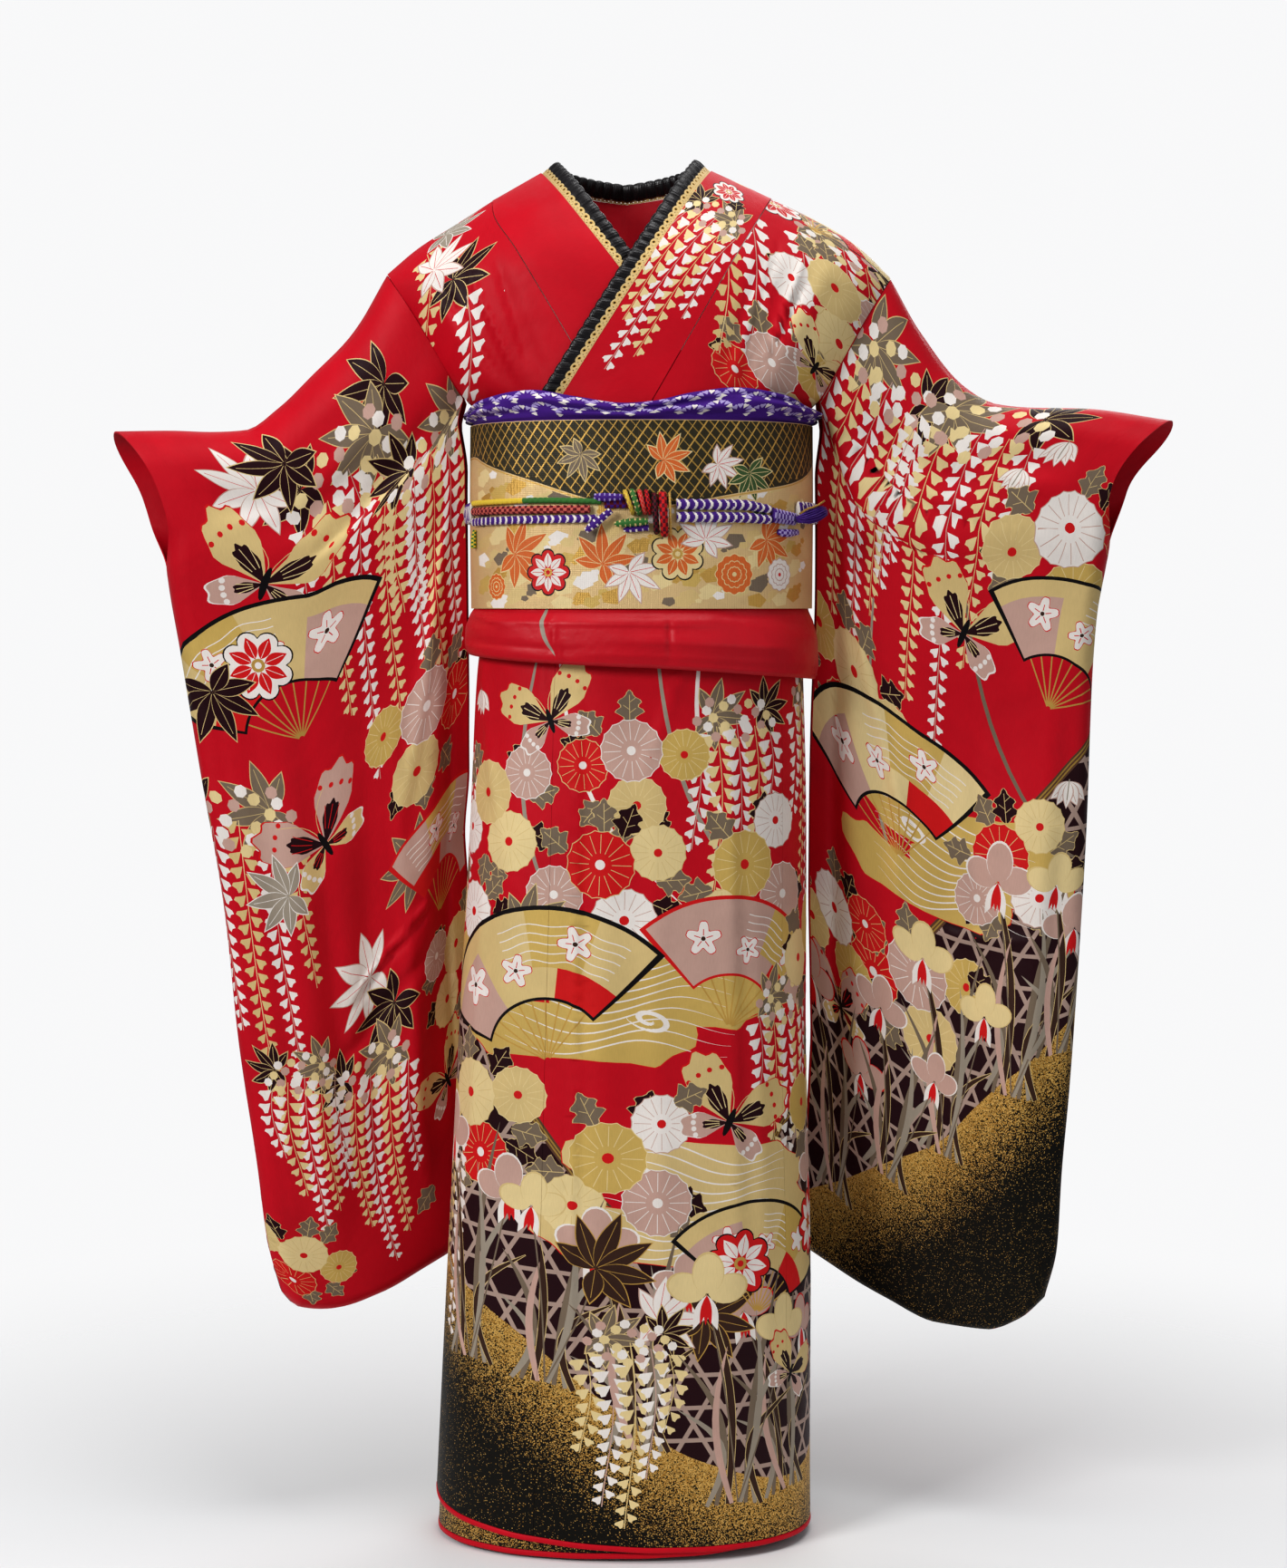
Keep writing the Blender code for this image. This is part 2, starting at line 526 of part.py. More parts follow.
def sleeve_point(side, face, u, v):
    """A sleeve's layer: the middle surface moved to the front or back by half the hollow."""
    u, v = np.broadcast_arrays(np.asarray(u, float), np.asarray(v, float))
    step = 1e-3
    u0, v0 = np.clip(u, step, 1 - step), np.clip(v, step, 1 - step)
    du = sleeve_middle(side, u0 + step, v0) - sleeve_middle(side, u0 - step, v0)
    dv = sleeve_middle(side, u0, v0 + step) - sleeve_middle(side, u0, v0 - step)
    normal = np.cross(du, dv)
    normal /= np.linalg.norm(normal, axis=-1, keepdims=True)
    normal *= np.where(normal[..., 1:2] < 0, -1, 1)
    middle = sleeve_middle(side, u, v)
    close = smooth_step(CUFF_END - CUFF_CLOSE, CUFF_END, v)
    rim = np.clip((u - EDGE_ROUND) / (1 - EDGE_ROUND), 0, 1)
    sides = np.sqrt(np.clip(1 - close * rim ** 2, 0, 1))
    low = np.clip((v - BOTTOM_ROUND) / (1 - BOTTOM_ROUND), 0, 1)
    ends = np.sqrt(np.clip(1 - low ** 2, 0, 1))
    arch = np.clip(v / ARM_ARCH, 0, 1)
    arch = np.sqrt(1 - (1 - arch) ** 2)
    half = read(ARM_GAP, ARM_GAP_COLUMNS, "gap", v) * arch * sides
    blend = smooth_step(0, 0.3, u)[..., None]
    gap = (1 - blend) * inner_middle(side, v)[1] + blend * normal * half[..., None]
    gap = gap * ends[..., None]
    skew = CUFF_SKEW * smooth_step(0.75, 1, u) * (1 - close) * arch
    gap[..., 0] = gap[..., 0] + (skew if side == "left" else -skew)
    fade = smooth_step(0, 0.12, u) * smooth_step(0.02, 0.1, v) * smooth_step(1, 0.9, v)
    fold = creases(SLEEVE_CREASES[side], u * SLEEVE_WIDTH, v * SLEEVE_LENGTH)
    middle = middle - normal * (fold * fade)[..., None]
    return middle - gap if face == "front" else middle + gap


def fold_point(angle, drop, out):
    bottoms = np.array(FOLD_BOTTOM, float)
    low = smooth_curve(np.degrees(angle), bottoms[:, 0], bottoms[:, 1])
    z = FOLD_TOP + (low - FOLD_TOP) * drop
    x, y = ring_point(angle, *FOLD_RING, out)
    return np.stack([x, y, z + 0 * x], -1)


def scarf_point(angle, share, out):
    """The obi scarf: a soft roll above the obi whose top line rises and falls across the front.

    Share -1 is its lower edge inside the obi, 0 the obi's rim and 1 the scarf's top line.
    """
    x, y = table_ring(SCARF_RINGS, angle, SCARF_RIM + 0 * angle, 0)
    front = read(SCARF_TOP, SCARF_TOP_COLUMNS, "height", x)
    behind = smooth_step(80, 112, y)
    top = front + (SCARF_BACK_TOP - front) * behind
    above, below = np.clip(share, 0, 1), np.clip(-share, 0, 1)
    z = SCARF_RIM + (top - SCARF_RIM) * above + (SCARF_LOW - SCARF_RIM) * below
    shape = read(SCARF_PROFILE, SCARF_PROFILE_COLUMNS, "bulge", above)
    bulge = np.minimum(SCARF_BULGE, 0.4 * (top - SCARF_RIM)) * (1 - 0.85 * behind)
    x, y = table_ring(SCARF_RINGS, angle, z, out + shape * bulge)
    return np.stack([x, y, z], -1)


def obi_point(angle, z, out):
    x, y = table_ring(OBI_RINGS, angle, z, out)
    return np.stack([x, y, z + 0 * x], -1)


def obi_surface_depth(x, out, behind):
    """Depth of the obi's outer face straight in front of or behind a place across it."""
    right, left, front, back = (row + out for row in OBI_RINGS[1][1:])
    share = np.clip(1 - np.abs(x / np.where(x < 0, right, left)) ** ROUND, 0, 1) ** (1 / ROUND)
    return np.where(behind, back * share, -front * share)


def material(name, colour, roughness, metallic=0.0):
    made = bpy.data.materials.new(name)
    made.use_nodes = True
    shader = made.node_tree.nodes["Principled BSDF"]
    shader.inputs["Base Color"].default_value = (*colour, 1)
    shader.inputs["Roughness"].default_value = roughness
    shader.inputs["Metallic"].default_value = metallic
    return made


def add_mesh(name, points, faces, finish, wall=None):
    """A mesh from points in mm, joined where points meet, with a wall if it is a cloth."""
    mesh = bpy.data.meshes.new(name)
    mesh.from_pydata((np.asarray(points).reshape(-1, 3) * MM).tolist(), [], faces)
    piece = bpy.data.objects.new(name, mesh)
    bpy.data.collections["furisode_kimono"].objects.link(piece)
    mesh.materials.append(finish)
    weld = piece.modifiers.new("weld", "WELD")
    weld.merge_threshold = 0.00001
    if wall:
        solid = piece.modifiers.new("wall", "SOLIDIFY")
        solid.thickness = wall * MM
        solid.offset = 0
        solid.use_even_offset = True
    mesh.shade_smooth()
    return piece


def grid_faces(rows, columns, loop_rows=False, loop_columns=False, flip=False):
    r = np.arange(rows if loop_rows else rows - 1)
    c = np.arange(columns if loop_columns else columns - 1)
    r, c = np.meshgrid(r, c, indexing="ij")
    r1, c1 = (r + 1) % rows, (c + 1) % columns
    corners = [r * columns + c, r * columns + c1, r1 * columns + c1, r1 * columns + c]
    quads = np.stack(corners[::-1] if flip else corners, -1).reshape(-1, 4)
    return quads.tolist()


def add_cloth(name, points, finish, wall=WALL, flip=False, **loops):
    faces = grid_faces(points.shape[0], points.shape[1], flip=flip, **loops)
    return add_mesh(name, points, faces, finish, wall)


def trunk_shares():
    """Shares for a body cloth's rows: four over the neck, then close together above the obi."""
    shares = np.linspace(0, 1, 4001)
    below = np.interp(ROW_DROPS, trunk_drops(shares), shares)
    return np.concatenate([np.linspace(0, NECK_SHARE, 5), below])


ROW_DROPS = (0.16, 0.225, 0.29, 0.345, 0.39, 0.43, 0.465, 0.5, 0.56, 0.68, 0.83, 1.0)
BODY_ROWS = trunk_shares()
BODY_COLUMNS_AT = np.linspace(0, 1, 9)


def add_body(side, finish):
    """One length of cloth from the front waist over the shoulder to the back waist."""
    share, across = np.meshgrid(BODY_ROWS, BODY_COLUMNS_AT, indexing="ij")
    halves = []
    for face in ("front", "back"):
        low = body_point(side, face, 0 * across, share)
        high = body_point(side, face, 0 * across + 1, share)
        width = np.linalg.norm(high - low, axis=-1)
        trim = SEAM / 2 / width
        halves.append(body_point(side, face, trim + across * (1 - 2 * trim), share))
    rows = np.concatenate([halves[0][::-1], halves[1][1:]])
    add_cloth(f"body_{side}", rows, finish, flip=side == "right")


def neck_rows():
    """Sides, faces and shares along the collar, from the left front round to the right front."""
    last = np.interp(COLLAR_END / -TRUNK_END, trunk_drops(BODY_ROWS), BODY_ROWS)
    front = [share for share in BODY_ROWS if share < last] + [float(last)]
    rows = [("left", "front", share) for share in reversed(front)]
    neck = [share for share in BODY_ROWS if 0 < share < NECK_SHARE + 1e-9]
    rows += [("left", "back", share) for share in neck]
    rows += [("right", "back", share) for share in reversed(neck[:-1])]
    rows += [("right", "front", share) for share in front]
    return rows


def add_collar(finish):
    rows = []
    for side, face, share in neck_rows():
        at = np.full(4, share)
        width = collar_width(side, face, at)
        inward = COLLAR_GAP + np.linspace(0, 1, 4) * (width - COLLAR_GAP)
        rows.append(collar_point(side, face, at, inward))
    add_cloth("collar", np.array(rows), finish, COLLAR_WALL)


def edge_lean(side, face, share):
    """The collar's folded edge and the unit direction from it towards the neck."""
    at = np.array([share])
    edge = collar_point(side, face, at, collar_width(side, face, at))[0]
    ridge = np.array(TRIM_LEAN["ridge"]) * (-1 if side == "left" else 1, 1, 1)
    if face == "front":
        x0, z0 = inner_line(side, face, at)
        flat = np.array([edge[0] - x0[0], 0, edge[2] - z0[0]])
        flat /= np.linalg.norm(flat)
        lean = flat + (ridge - flat) * smooth_step(-90, 0, edge[2])
    else:
        lean = ridge + (np.array(TRIM_LEAN["nape"]) - ridge) * share / NECK_SHARE
    return edge, lean / np.linalg.norm(lean)


def neck_line():
    """The collar's own edge points with their leans and outward sides, and the length along them."""
    edges, leans = (np.array(rows) for rows in zip(*[edge_lean(*row) for row in neck_rows()]))
    length = np.concatenate([[0], np.cumsum(np.linalg.norm(np.diff(edges, axis=0), axis=1))])
    normal = np.cross(leans, np.gradient(edges, axis=0))
    normal /= np.linalg.norm(normal, axis=-1, keepdims=True)
    outward = np.sign(-normal[0, 1])
    return length, edges, leans, normal * outward


def trim_range():
    """Lengths along the collar's edge at which its trims begin and end."""
    length, edges = neck_line()[:2]
    half = len(edges) // 2
    start = np.interp(TRIM_END["left"], edges[:half, 2], length[:half])
    end = np.interp(-TRIM_END["right"], -edges[half:, 2], length[half:])
    return float(start), float(end)


def trim_points(gaps, under, at):
    """Rows of points beside the collar's edge, each gap in mm towards the neck, under the collar."""
    length, edges, leans, normal = neck_line()
    base, lean, out = (np.stack([np.interp(at, length, field[:, k]) for k in range(3)], -1)
                       for field in (edges, leans, normal))
    gaps = np.broadcast_to(np.asarray(gaps, float), (len(at), np.shape(gaps)[-1]))
    return base[:, None] + lean[:, None] * gaps[..., None] - out[:, None, :] * under, out


def add_lace(finish):
    """Scalloped edging: its sewn side runs straight under the collar, its free side goes in and out."""
    start, end = trim_range()
    count = 2 * int((end - start) / LACE_PITCH) + 1
    free = np.where(np.arange(count) % 2 == 0, LACE_TO - LACE_DEPTH, LACE_TO)
    gaps = np.stack([np.full(count, LACE_FROM), free], -1)
    rows = trim_points(gaps, LACE_UNDER, np.linspace(start, end, count))[0]
    add_cloth("collar_lace", rows, finish, LACE_WALL)


def add_ruffle(finish):
    """Gathered ribbon: waves grow from its sewn edge to its free edge."""
    start, end = trim_range()
    waves = int((end - start) / RUFFLE_PITCH)
    turn = np.arange(2 * waves + 1)
    at = start + (end - start) * turn / turn[-1]
    rows, out = trim_points((RUFFLE_FROM, RUFFLE_TO), RUFFLE_UNDER, at)
    rows[:, 1] += out * (RUFFLE_WAVE * np.where(turn % 2 == 0, -1, 1))[:, None]
    add_cloth("collar_ruffle", rows, finish, LACE_WALL)


def sleeve_shares(side):
    """Rows down a sleeve: along the armhole the body's own rows, then even steps to the bottom."""
    top = shoulder((-1 if side == "right" else 1) * ARMHOLE_TOP)
    drops = trunk_drops(BODY_ROWS) * (top - TRUNK_END)
    share, path, _ = INNER[side]
    armhole = drops[drops <= ARMHOLE_END]
    tied = np.interp(armhole, top - path[:, 2], share)
    rest = np.concatenate([np.linspace(tied[-1], 0.94, 10)[1:], (0.97, 0.988, 0.996, 1.0)])
    return np.concatenate([tied, rest])


def add_sleeve(side, finish):
    """One cloth from the front's bottom over the arm to the back's bottom, sewn along the outer edge."""
    v = sleeve_shares(side)
    u = np.concatenate([[ARMHOLE_GAP / SLEEVE_WIDTH], np.linspace(0.11, 0.88, 7), (0.95, 0.985, 1.0)])
    v, u = np.meshgrid(v, u, indexing="ij")
    front, back = (sleeve_point(side, face, u, v) for face in ("front", "back"))
    rows = np.concatenate([front[::-1], back[1:-1]])
    add_cloth(f"sleeve_{side}", rows, finish, loop_rows=True, flip=side == "right")


def add_skirt(finish):
    for name, start, end in PANELS:
        columns = round((end - start) / 30) + 1
        along = np.linspace(start + SEAM / 2, end - SEAM / 2, columns)
        share, along = np.meshgrid(np.linspace(0, 1, 9), along, indexing="ij")
        add_cloth(name, skirt_point(along, share), finish)


def add_hem_roll(finish):
    """The padded edge: a flat roll under the hem of every panel."""
    sides, high, wide = 6, 3.0, 1.3
    along = np.linspace(0.5, WRAP_LENGTH - 0.5, 47)
    edge, above = skirt_point(along, 1 + 0 * along), skirt_point(along, 0.99 + 0 * along)
    down = (edge - above) / np.linalg.norm(edge - above, axis=-1, keepdims=True)
    forward = np.gradient(edge, axis=0)
    out = np.cross(down, forward / np.linalg.norm(forward, axis=-1, keepdims=True))
    turn = np.linspace(0, 2 * math.pi, sides, endpoint=False) + math.pi / 6
    centre = edge + down * (high + SEAM + WALL * 0.1)
    rows = (centre[:, None] + down[:, None] * (high * np.cos(turn))[None, :, None]
            + out[:, None] * (wide * np.sin(turn))[None, :, None])
    add_tube("hem_roll", rows, finish)


def add_tube(name, rows, finish):
    """A closed tube from rings of points, its ends filled."""
    count, sides = rows.shape[:2]
    faces = grid_faces(count, sides, loop_columns=True)
    faces.append(list(reversed(range(sides))))
    faces.append([(count - 1) * sides + k for k in range(sides)])
    piece = add_mesh(name, rows, faces, finish)
    shape = bmesh.new()
    shape.from_mesh(piece.data)
    bmesh.ops.recalc_face_normals(shape, faces=shape.faces)
    shape.to_mesh(piece.data)
    shape.free()
    return piece


RING_ANGLES = WRAP_START + np.linspace(0, 2 * math.pi, 37)[:-1]


def add_waist_fold(finish):
    angle = RING_ANGLES
    profile = np.array(FOLD_PROFILE)
    drop, angle = np.meshgrid(profile[:, 0], angle, indexing="ij")
    out = np.repeat(profile[:, 1:2], drop.shape[1], 1)
    add_cloth("waist_fold", fold_point(angle, drop, out), finish, loop_columns=True)


def add_obi(finish):
    z, angle = np.meshgrid(np.linspace(-262, -448, 4), RING_ANGLES, indexing="ij")
    add_cloth("obi_band", obi_point(angle, z, 0), finish, OBI_WALL, loop_columns=True)


def add_scarf(finish):
    shares = [row[0] for row in reversed(SCARF_PROFILE)] + [-1.0]
    share, angle = np.meshgrid(shares, RING_ANGLES, indexing="ij")
    add_cloth("obi_scarf", scarf_point(angle, share, 0), finish, SCARF_WALL, loop_columns=True)


def add_drum(finish):
    """The obi's plain drum at the back: it comes up out of the obi, rolls over and turns under."""
    profile = np.array(DRUM_PROFILE)
    across = np.linspace(-DRUM_HALF, DRUM_HALF, BACK_COLUMNS)
    row, x = np.meshgrid(np.arange(len(profile)), across, indexing="ij")
    y, z = profile[row, 0], profile[row, 1]
    middle = obi_surface_depth(0 * x, 0, True)
    snug = obi_surface_depth(x, y - middle, True)
    wrap = read(DRUM_WRAP, DRUM_WRAP_COLUMNS, "share", y)
    loose = y + (obi_surface_depth(x, 0, True) - middle) * wrap
    points = np.stack([x, np.where(row < DRUM_SNUG_ROWS, snug, loose), z], -1)
    add_cloth("obi_drum", points, finish, OBI_WALL)


def add_hand(finish):
    """The obi's hand end, a flat bar of folded cloth that lies across inside the drum."""
    length, deep, high = HAND_SIZE
    across = np.linspace(-length / 2, length / 2, HAND_COLUMNS)
    curve = obi_surface_depth(across, 0, True) - obi_surface_depth(0 * across, 0, True)
    middle = np.stack([across, HAND_PLACE[0] + curve * HAND_WRAP, HAND_PLACE[1] + 0 * across], -1)
    corners = np.array([(0, deep, -high), (0, deep, high), (0, -deep, high), (0, -deep, -high)])
    add_tube("obi_hand", middle[:, None] + corners / 2, finish)


def add_tail(finish):
    """The obi's tail, which hangs below the drum."""
    profile = np.array(TAIL_PROFILE)
    across = np.linspace(-DRUM_HALF, DRUM_HALF, BACK_COLUMNS)
    row, x = np.meshgrid(np.arange(len(profile)), across, indexing="ij")
    curve = obi_surface_depth(x, 0, True) - obi_surface_depth(0 * x, 0, True)
    points = np.stack([x, profile[row, 0] + curve * TAIL_WRAP, profile[row, 1]], -1)
    add_cloth("obi_tail", points, finish, OBI_WALL, flip=True)


def front_path(rows, count):
    """Points and radii of a cord on the obi's front from rows of across, height, out and radius."""
    rows = np.array(rows, float)
    run = np.concatenate([[0], np.cumsum(np.hypot(np.diff(rows[:, 0]), np.diff(rows[:, 1])))])
    at = np.linspace(0, run[-1], count)
    x, z, out, radius = (smooth_curve(at, run, rows[:, k]) for k in range(4))
    return np.stack([x, front_face(x, out), z], -1), radius


def front_face(x, out):
    """Depth of the obi's faceted front at places across it, at distances out from its middle."""
    front = RING_ANGLES[RING_ANGLES < WRAP_START + math.pi]
    edges = [ring_point(front, *OBI_RINGS[1][1:], step) for step in out]
    return np.array([np.interp(place, *edge) for place, edge in zip(x, edges)])


def loop_rings(x, lean, middle, reach, low, high, radius):
    """A loop over the knot: a half ellipse from its top, out from the obi and back to its bottom."""
    turn = np.linspace(0, math.pi, 9)
    out = low + high * np.sin(turn)
    across = x - lean * np.cos(turn)
    path = np.stack([across, front_face(across, out), middle + reach * np.cos(turn)], -1)
    return path_rings(path, np.full(len(turn), radius), (1.0, 0, 0))


def path_rings(path, radius, side, sides=6, flat=1.0):
    """Rings round a path; the first axis of each ring lies along side, flat squeezes the other."""
    path = np.asarray(path, float)
    forward = np.gradient(path, axis=0)
    forward /= np.linalg.norm(forward, axis=-1, keepdims=True)
    first = np.array(side) - forward * (forward @ np.array(side))[:, None]
    first /= np.linalg.norm(first, axis=-1, keepdims=True)
    second = np.cross(forward, first)
    turn = np.linspace(0, 2 * math.pi, sides, endpoint=False)
    radius = np.asarray(radius)[:, None, None]
    return (path[:, None] + first[:, None] * np.cos(turn)[None, :, None] * radius
            + second[:, None] * np.sin(turn)[None, :, None] * radius * flat)


def cord_behind_rings():
    """The cord's run round both sides and the back, over the hand end and inside the drum."""
    start, end = np.radians(CORD_BEHIND_SPAN)
    turns = np.concatenate([RING_ANGLES - 2 * math.pi, RING_ANGLES])[::-1]
    between = turns[(turns < start - 0.02) & (turns > end + 0.02)]
    angle = np.concatenate([[start], between, [end]])
    base_y = ring_point(angle, *OBI_RINGS[1][1:], 0)[1]
    out = CORD_SIDE_OUT + (CORD_BACK_OUT - CORD_SIDE_OUT) * smooth_step(0, 60, base_y)
    x, y = ring_point(angle, *OBI_RINGS[1][1:], out)
    wide, narrow = CORD_BEHIND_RADIUS
    up = wide + (narrow - wide) * smooth_step(-70, 30, base_y)
    path = np.stack([x, y, CORD_BEHIND_HEIGHT + 0 * x], -1)
    return path_rings(path, up, (0, 0, 1.0), 6, 0.3)


def add_cord(finish):
    """The braided cord: its strands and knot on the front, the run behind, and its tucked ends."""
    for name, count, flat, rows in CORD_RUNS:
        path, radius = front_path(rows, count)
        add_tube(name, path_rings(path, radius, (0, 0, 1.0), 6, flat), finish)
    for name, *sizes in CORD_LOOPS:
        add_tube(name, loop_rings(*sizes), finish)
    for name, rows in CORD_ENDS:
        rows = np.array(rows, float)
        add_tube(name, path_rings(rows[:, :3], rows[:, 3], (0, 1.0, 0.2), 6, 1.0), finish)
    add_tube("cord_behind", cord_behind_rings(), finish)


def clear_scene():
    for piece in list(bpy.data.objects):
        bpy.data.objects.remove(piece)
    collection = bpy.data.collections.new("furisode_kimono")
    bpy.context.scene.collection.children.link(collection)


def main():
    clear_scene()
    silk = material("printed_silk", (0.6, 0.01, 0.03), 0.42)
    lining = material("red_lining", (0.7, 0.01, 0.02), 0.45)
    collar = material("collar_silk", (0.55, 0.008, 0.025), 0.42)
    lace = material("gold_lace", (0.6, 0.5, 0.33), 0.4, 0.5)
    ruffle = material("black_ruffle", (0.01, 0.008, 0.01), 0.5)
    brocade = material("gold_brocade", (0.75, 0.58, 0.3), 0.35, 0.4)
    scarf = material("tie_dyed_silk", (0.08, 0.03, 0.4), 0.6)
    cord = material("braided_silk", (0.05, 0.02, 0.3), 0.5)
    add_skirt(silk)
    add_hem_roll(lining)
    for side in ("left", "right"):
        add_body(side, silk)
        add_sleeve(side, silk)
    add_collar(collar)
    add_lace(lace)
    add_ruffle(ruffle)
    add_waist_fold(silk)
    add_obi(brocade)
    add_scarf(scarf)
    add_drum(brocade)
    add_hand(brocade)
    add_tail(brocade)
    add_cord(cord)


main()
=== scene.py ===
"""Furisode kimono in its worn, hollow form: printed silk, obi, obi scarf, braided cord and collar trims.

The file is laid out as a Blender add-on and runs as a script. Lengths in the tables are millimetres
in the part's own frame: -Y is the front, +X the garment's left side and +Z is up. Every cloth is a
surface over its own flat cut. The print is cut into the cloth's mesh along the outlines of its
shapes, so each face has one colour of dye, and it bends with the cloth.
"""
import math

import bpy
import numpy as np
from bpy.props import FloatProperty, FloatVectorProperty, PointerProperty
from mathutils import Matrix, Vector
from mathutils.geometry import delaunay_2d_cdt


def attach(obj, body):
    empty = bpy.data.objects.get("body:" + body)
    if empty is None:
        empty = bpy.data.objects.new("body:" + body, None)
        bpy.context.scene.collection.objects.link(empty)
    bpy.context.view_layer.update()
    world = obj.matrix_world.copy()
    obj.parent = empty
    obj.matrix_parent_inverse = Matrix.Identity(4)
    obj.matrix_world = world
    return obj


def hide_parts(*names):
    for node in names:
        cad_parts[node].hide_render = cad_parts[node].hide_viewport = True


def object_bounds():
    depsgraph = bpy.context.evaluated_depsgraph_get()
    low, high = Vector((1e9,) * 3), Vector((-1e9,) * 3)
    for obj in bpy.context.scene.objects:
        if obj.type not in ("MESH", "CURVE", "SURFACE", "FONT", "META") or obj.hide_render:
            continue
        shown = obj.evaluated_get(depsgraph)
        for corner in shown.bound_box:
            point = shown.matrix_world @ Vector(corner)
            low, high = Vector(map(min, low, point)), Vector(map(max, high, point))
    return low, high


bl_info = {
    "name": "Furisode kimono",
    "version": (1, 0, 0),
    "blender": (4, 5, 0),
    "location": "View3D > Sidebar > Furisode",
    "description": "Makes a worn furisode with its tied obi around its packed solids",
    "category": "Add Mesh",
}

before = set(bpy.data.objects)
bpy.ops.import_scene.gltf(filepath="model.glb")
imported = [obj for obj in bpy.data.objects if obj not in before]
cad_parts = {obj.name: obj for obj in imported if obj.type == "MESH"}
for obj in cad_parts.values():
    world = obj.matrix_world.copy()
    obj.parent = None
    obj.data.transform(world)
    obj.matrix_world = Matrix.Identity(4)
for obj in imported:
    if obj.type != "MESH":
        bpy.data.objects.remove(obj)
CAD_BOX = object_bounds()

MM = 0.001
WALL = 1.4
COLLAR_WALL = 2.4
OBI_WALL = 2.4
SCARF_WALL = 1.2
LACE_WALL = 0.9
SEAM = 0.3
ROUND = 2.3
NAPE_X = -14.0

# The skirt's inner layer: half widths to the garment's right and left, depths to front and back.
RING_COLUMNS = ("height", "right", "left", "front", "back")
SKIRT_RINGS = (
    (-1440, 212, 176, 126, 127),
    (-1130, 196, 173, 124, 126),
    (-850, 181, 167, 124, 125),
    (-662, 170, 167, 124, 122),
    (-520, 163, 165, 121, 113),
    (-440, 152.5, 157, 115, 100),
)
OBI_RINGS = (
    (-448, 172.0, 177.6, 135.0, 119.0),
    (-350, 173.0, 178.2, 136.2, 119.5),
    (-262, 172.3, 177.6, 135.2, 119.0),
)
SCARF_RINGS = (
    (-277, 170.1, 175.4, 133.0, 116.8),
    (-260.5, 170.1, 175.4, 133.0, 116.2),
    (-250, 178.0, 184.5, 132.6, 112.6),
    (-240, 188.0, 194.0, 132.2, 113.2),
    (-224, 200.0, 206.0, 132.0, 113.8),
)
FOLD_RING = (167.0, 172.6, 130.0, 114.0)

# The upper body: the ring that the body cloth follows, arms included above the armholes.
TRUNK_COLUMNS = ("height", "right", "left", "front", "back")
TRUNK_RINGS = (
    (-440, 156.5, 161.0, 119, 104),
    (-268, 157.0, 161.5, 119, 106),
    (-250, 163.0, 168.0, 118, 108),
    (-232, 182.0, 187.0, 117, 109),
    (-205, 206.0, 209.0, 116, 110),
    (-160, 237.0, 239.0, 114, 110),
    (-130, 268.0, 270.0, 112, 108),
    (-106, 300.0, 304.0, 112, 106),
    (-60, 318.0, 320.0, 108, 101),
    (0, 330.0, 330.0, 100, 95),
)
SHOULDER_COLUMNS = ("across", "height")
SHOULDER_LINE = (
    (-258, -106), (-225, -79), (-188, -56), (-150, -32), (-122, -14), (-100, -3), (-60, 0),
    (30, 0), (74, -1), (104, -14), (136, -30), (170, -46), (202, -63), (230, -83), (258, -110),
)
CHEST_DROP = 150.0
BLADE_DROP = 110.0
ARMHOLE_TOP = 258.0
TRUNK_END = -440.0
ARMHOLE_COLUMNS = ("drop", "right", "left")
ARMHOLE = (
    (0, 258, 258), (26, 240, 241), (54, 222, 224), (99, 196, 199), (126, 179, 183),
    (144, 160, 164), (160, 153, 157), (334, 152, 156),
)

# Where the collar is sewn on, across at each height: the front of each side, then the back neck.
COLLAR_SEAM_COLUMNS = ("height", "across")
COLLAR_SEAM = {
    "left": ((-440, -101), (-330, -37), (-228, 22), (-105, 93), (-50, 125), (-30, 136)),
    "right": ((-440, 84), (-330, 19), (-174, -73), (-90, -123), (-50, -147), (-32, -150)),
}
COLLAR_EDGE = {
    "left": ((-440, -203), (-330, -134), (-241, -78), (-111, 5), (-40, 50), (-1, 74)),
    "right": ((-440, 227), (-330, 145), (-190, 40), (-96.5, -30), (-45, -69), (-3, -100)),
}
NECK_END_HEIGHT = -75.0
NAPE_EDGE = {"left": ((74, 0, -1), (52, 74, -11), (NAPE_X, 110, -20)),
             "right": ((-100, 0, -3), (-79, 74, -12), (NAPE_X, 110, -20))}
LAYER_OUT = {"left": 7.0, "right": 0.0}
BACK_OUT = 2.5
COLLAR_GAP = 0.8
COLLAR_END = 305.0

# The skirt cloth along its wrap, from the free edge on top round the back to the one underneath.
PANELS = (
    ("overlap_left", 0, 145), ("skirt_front_left", 145, 390), ("skirt_back_left", 390, 690),
    ("skirt_back_right", 690, 990), ("skirt_front_right", 990, 1235),
    ("overlap_right", 1235, 1380),
)
WRAP_LENGTH = 1380.0
WRAP_START = math.radians(183)
WRAP_REFERENCE = -700.0
LAYER_STEP = 4.0
LAYER_RAMP = (math.radians(362), math.radians(388))
SKIRT_TOP = -440.4
HEM_COLUMNS = ("along", "height")
HEM = (
    (0, -1362), (40, -1372), (90, -1380), (145, -1387), (250, -1395), (390, -1396),
    (690, -1400), (990, -1402), (1100, -1403), (1250, -1400), (1380, -1390),
)

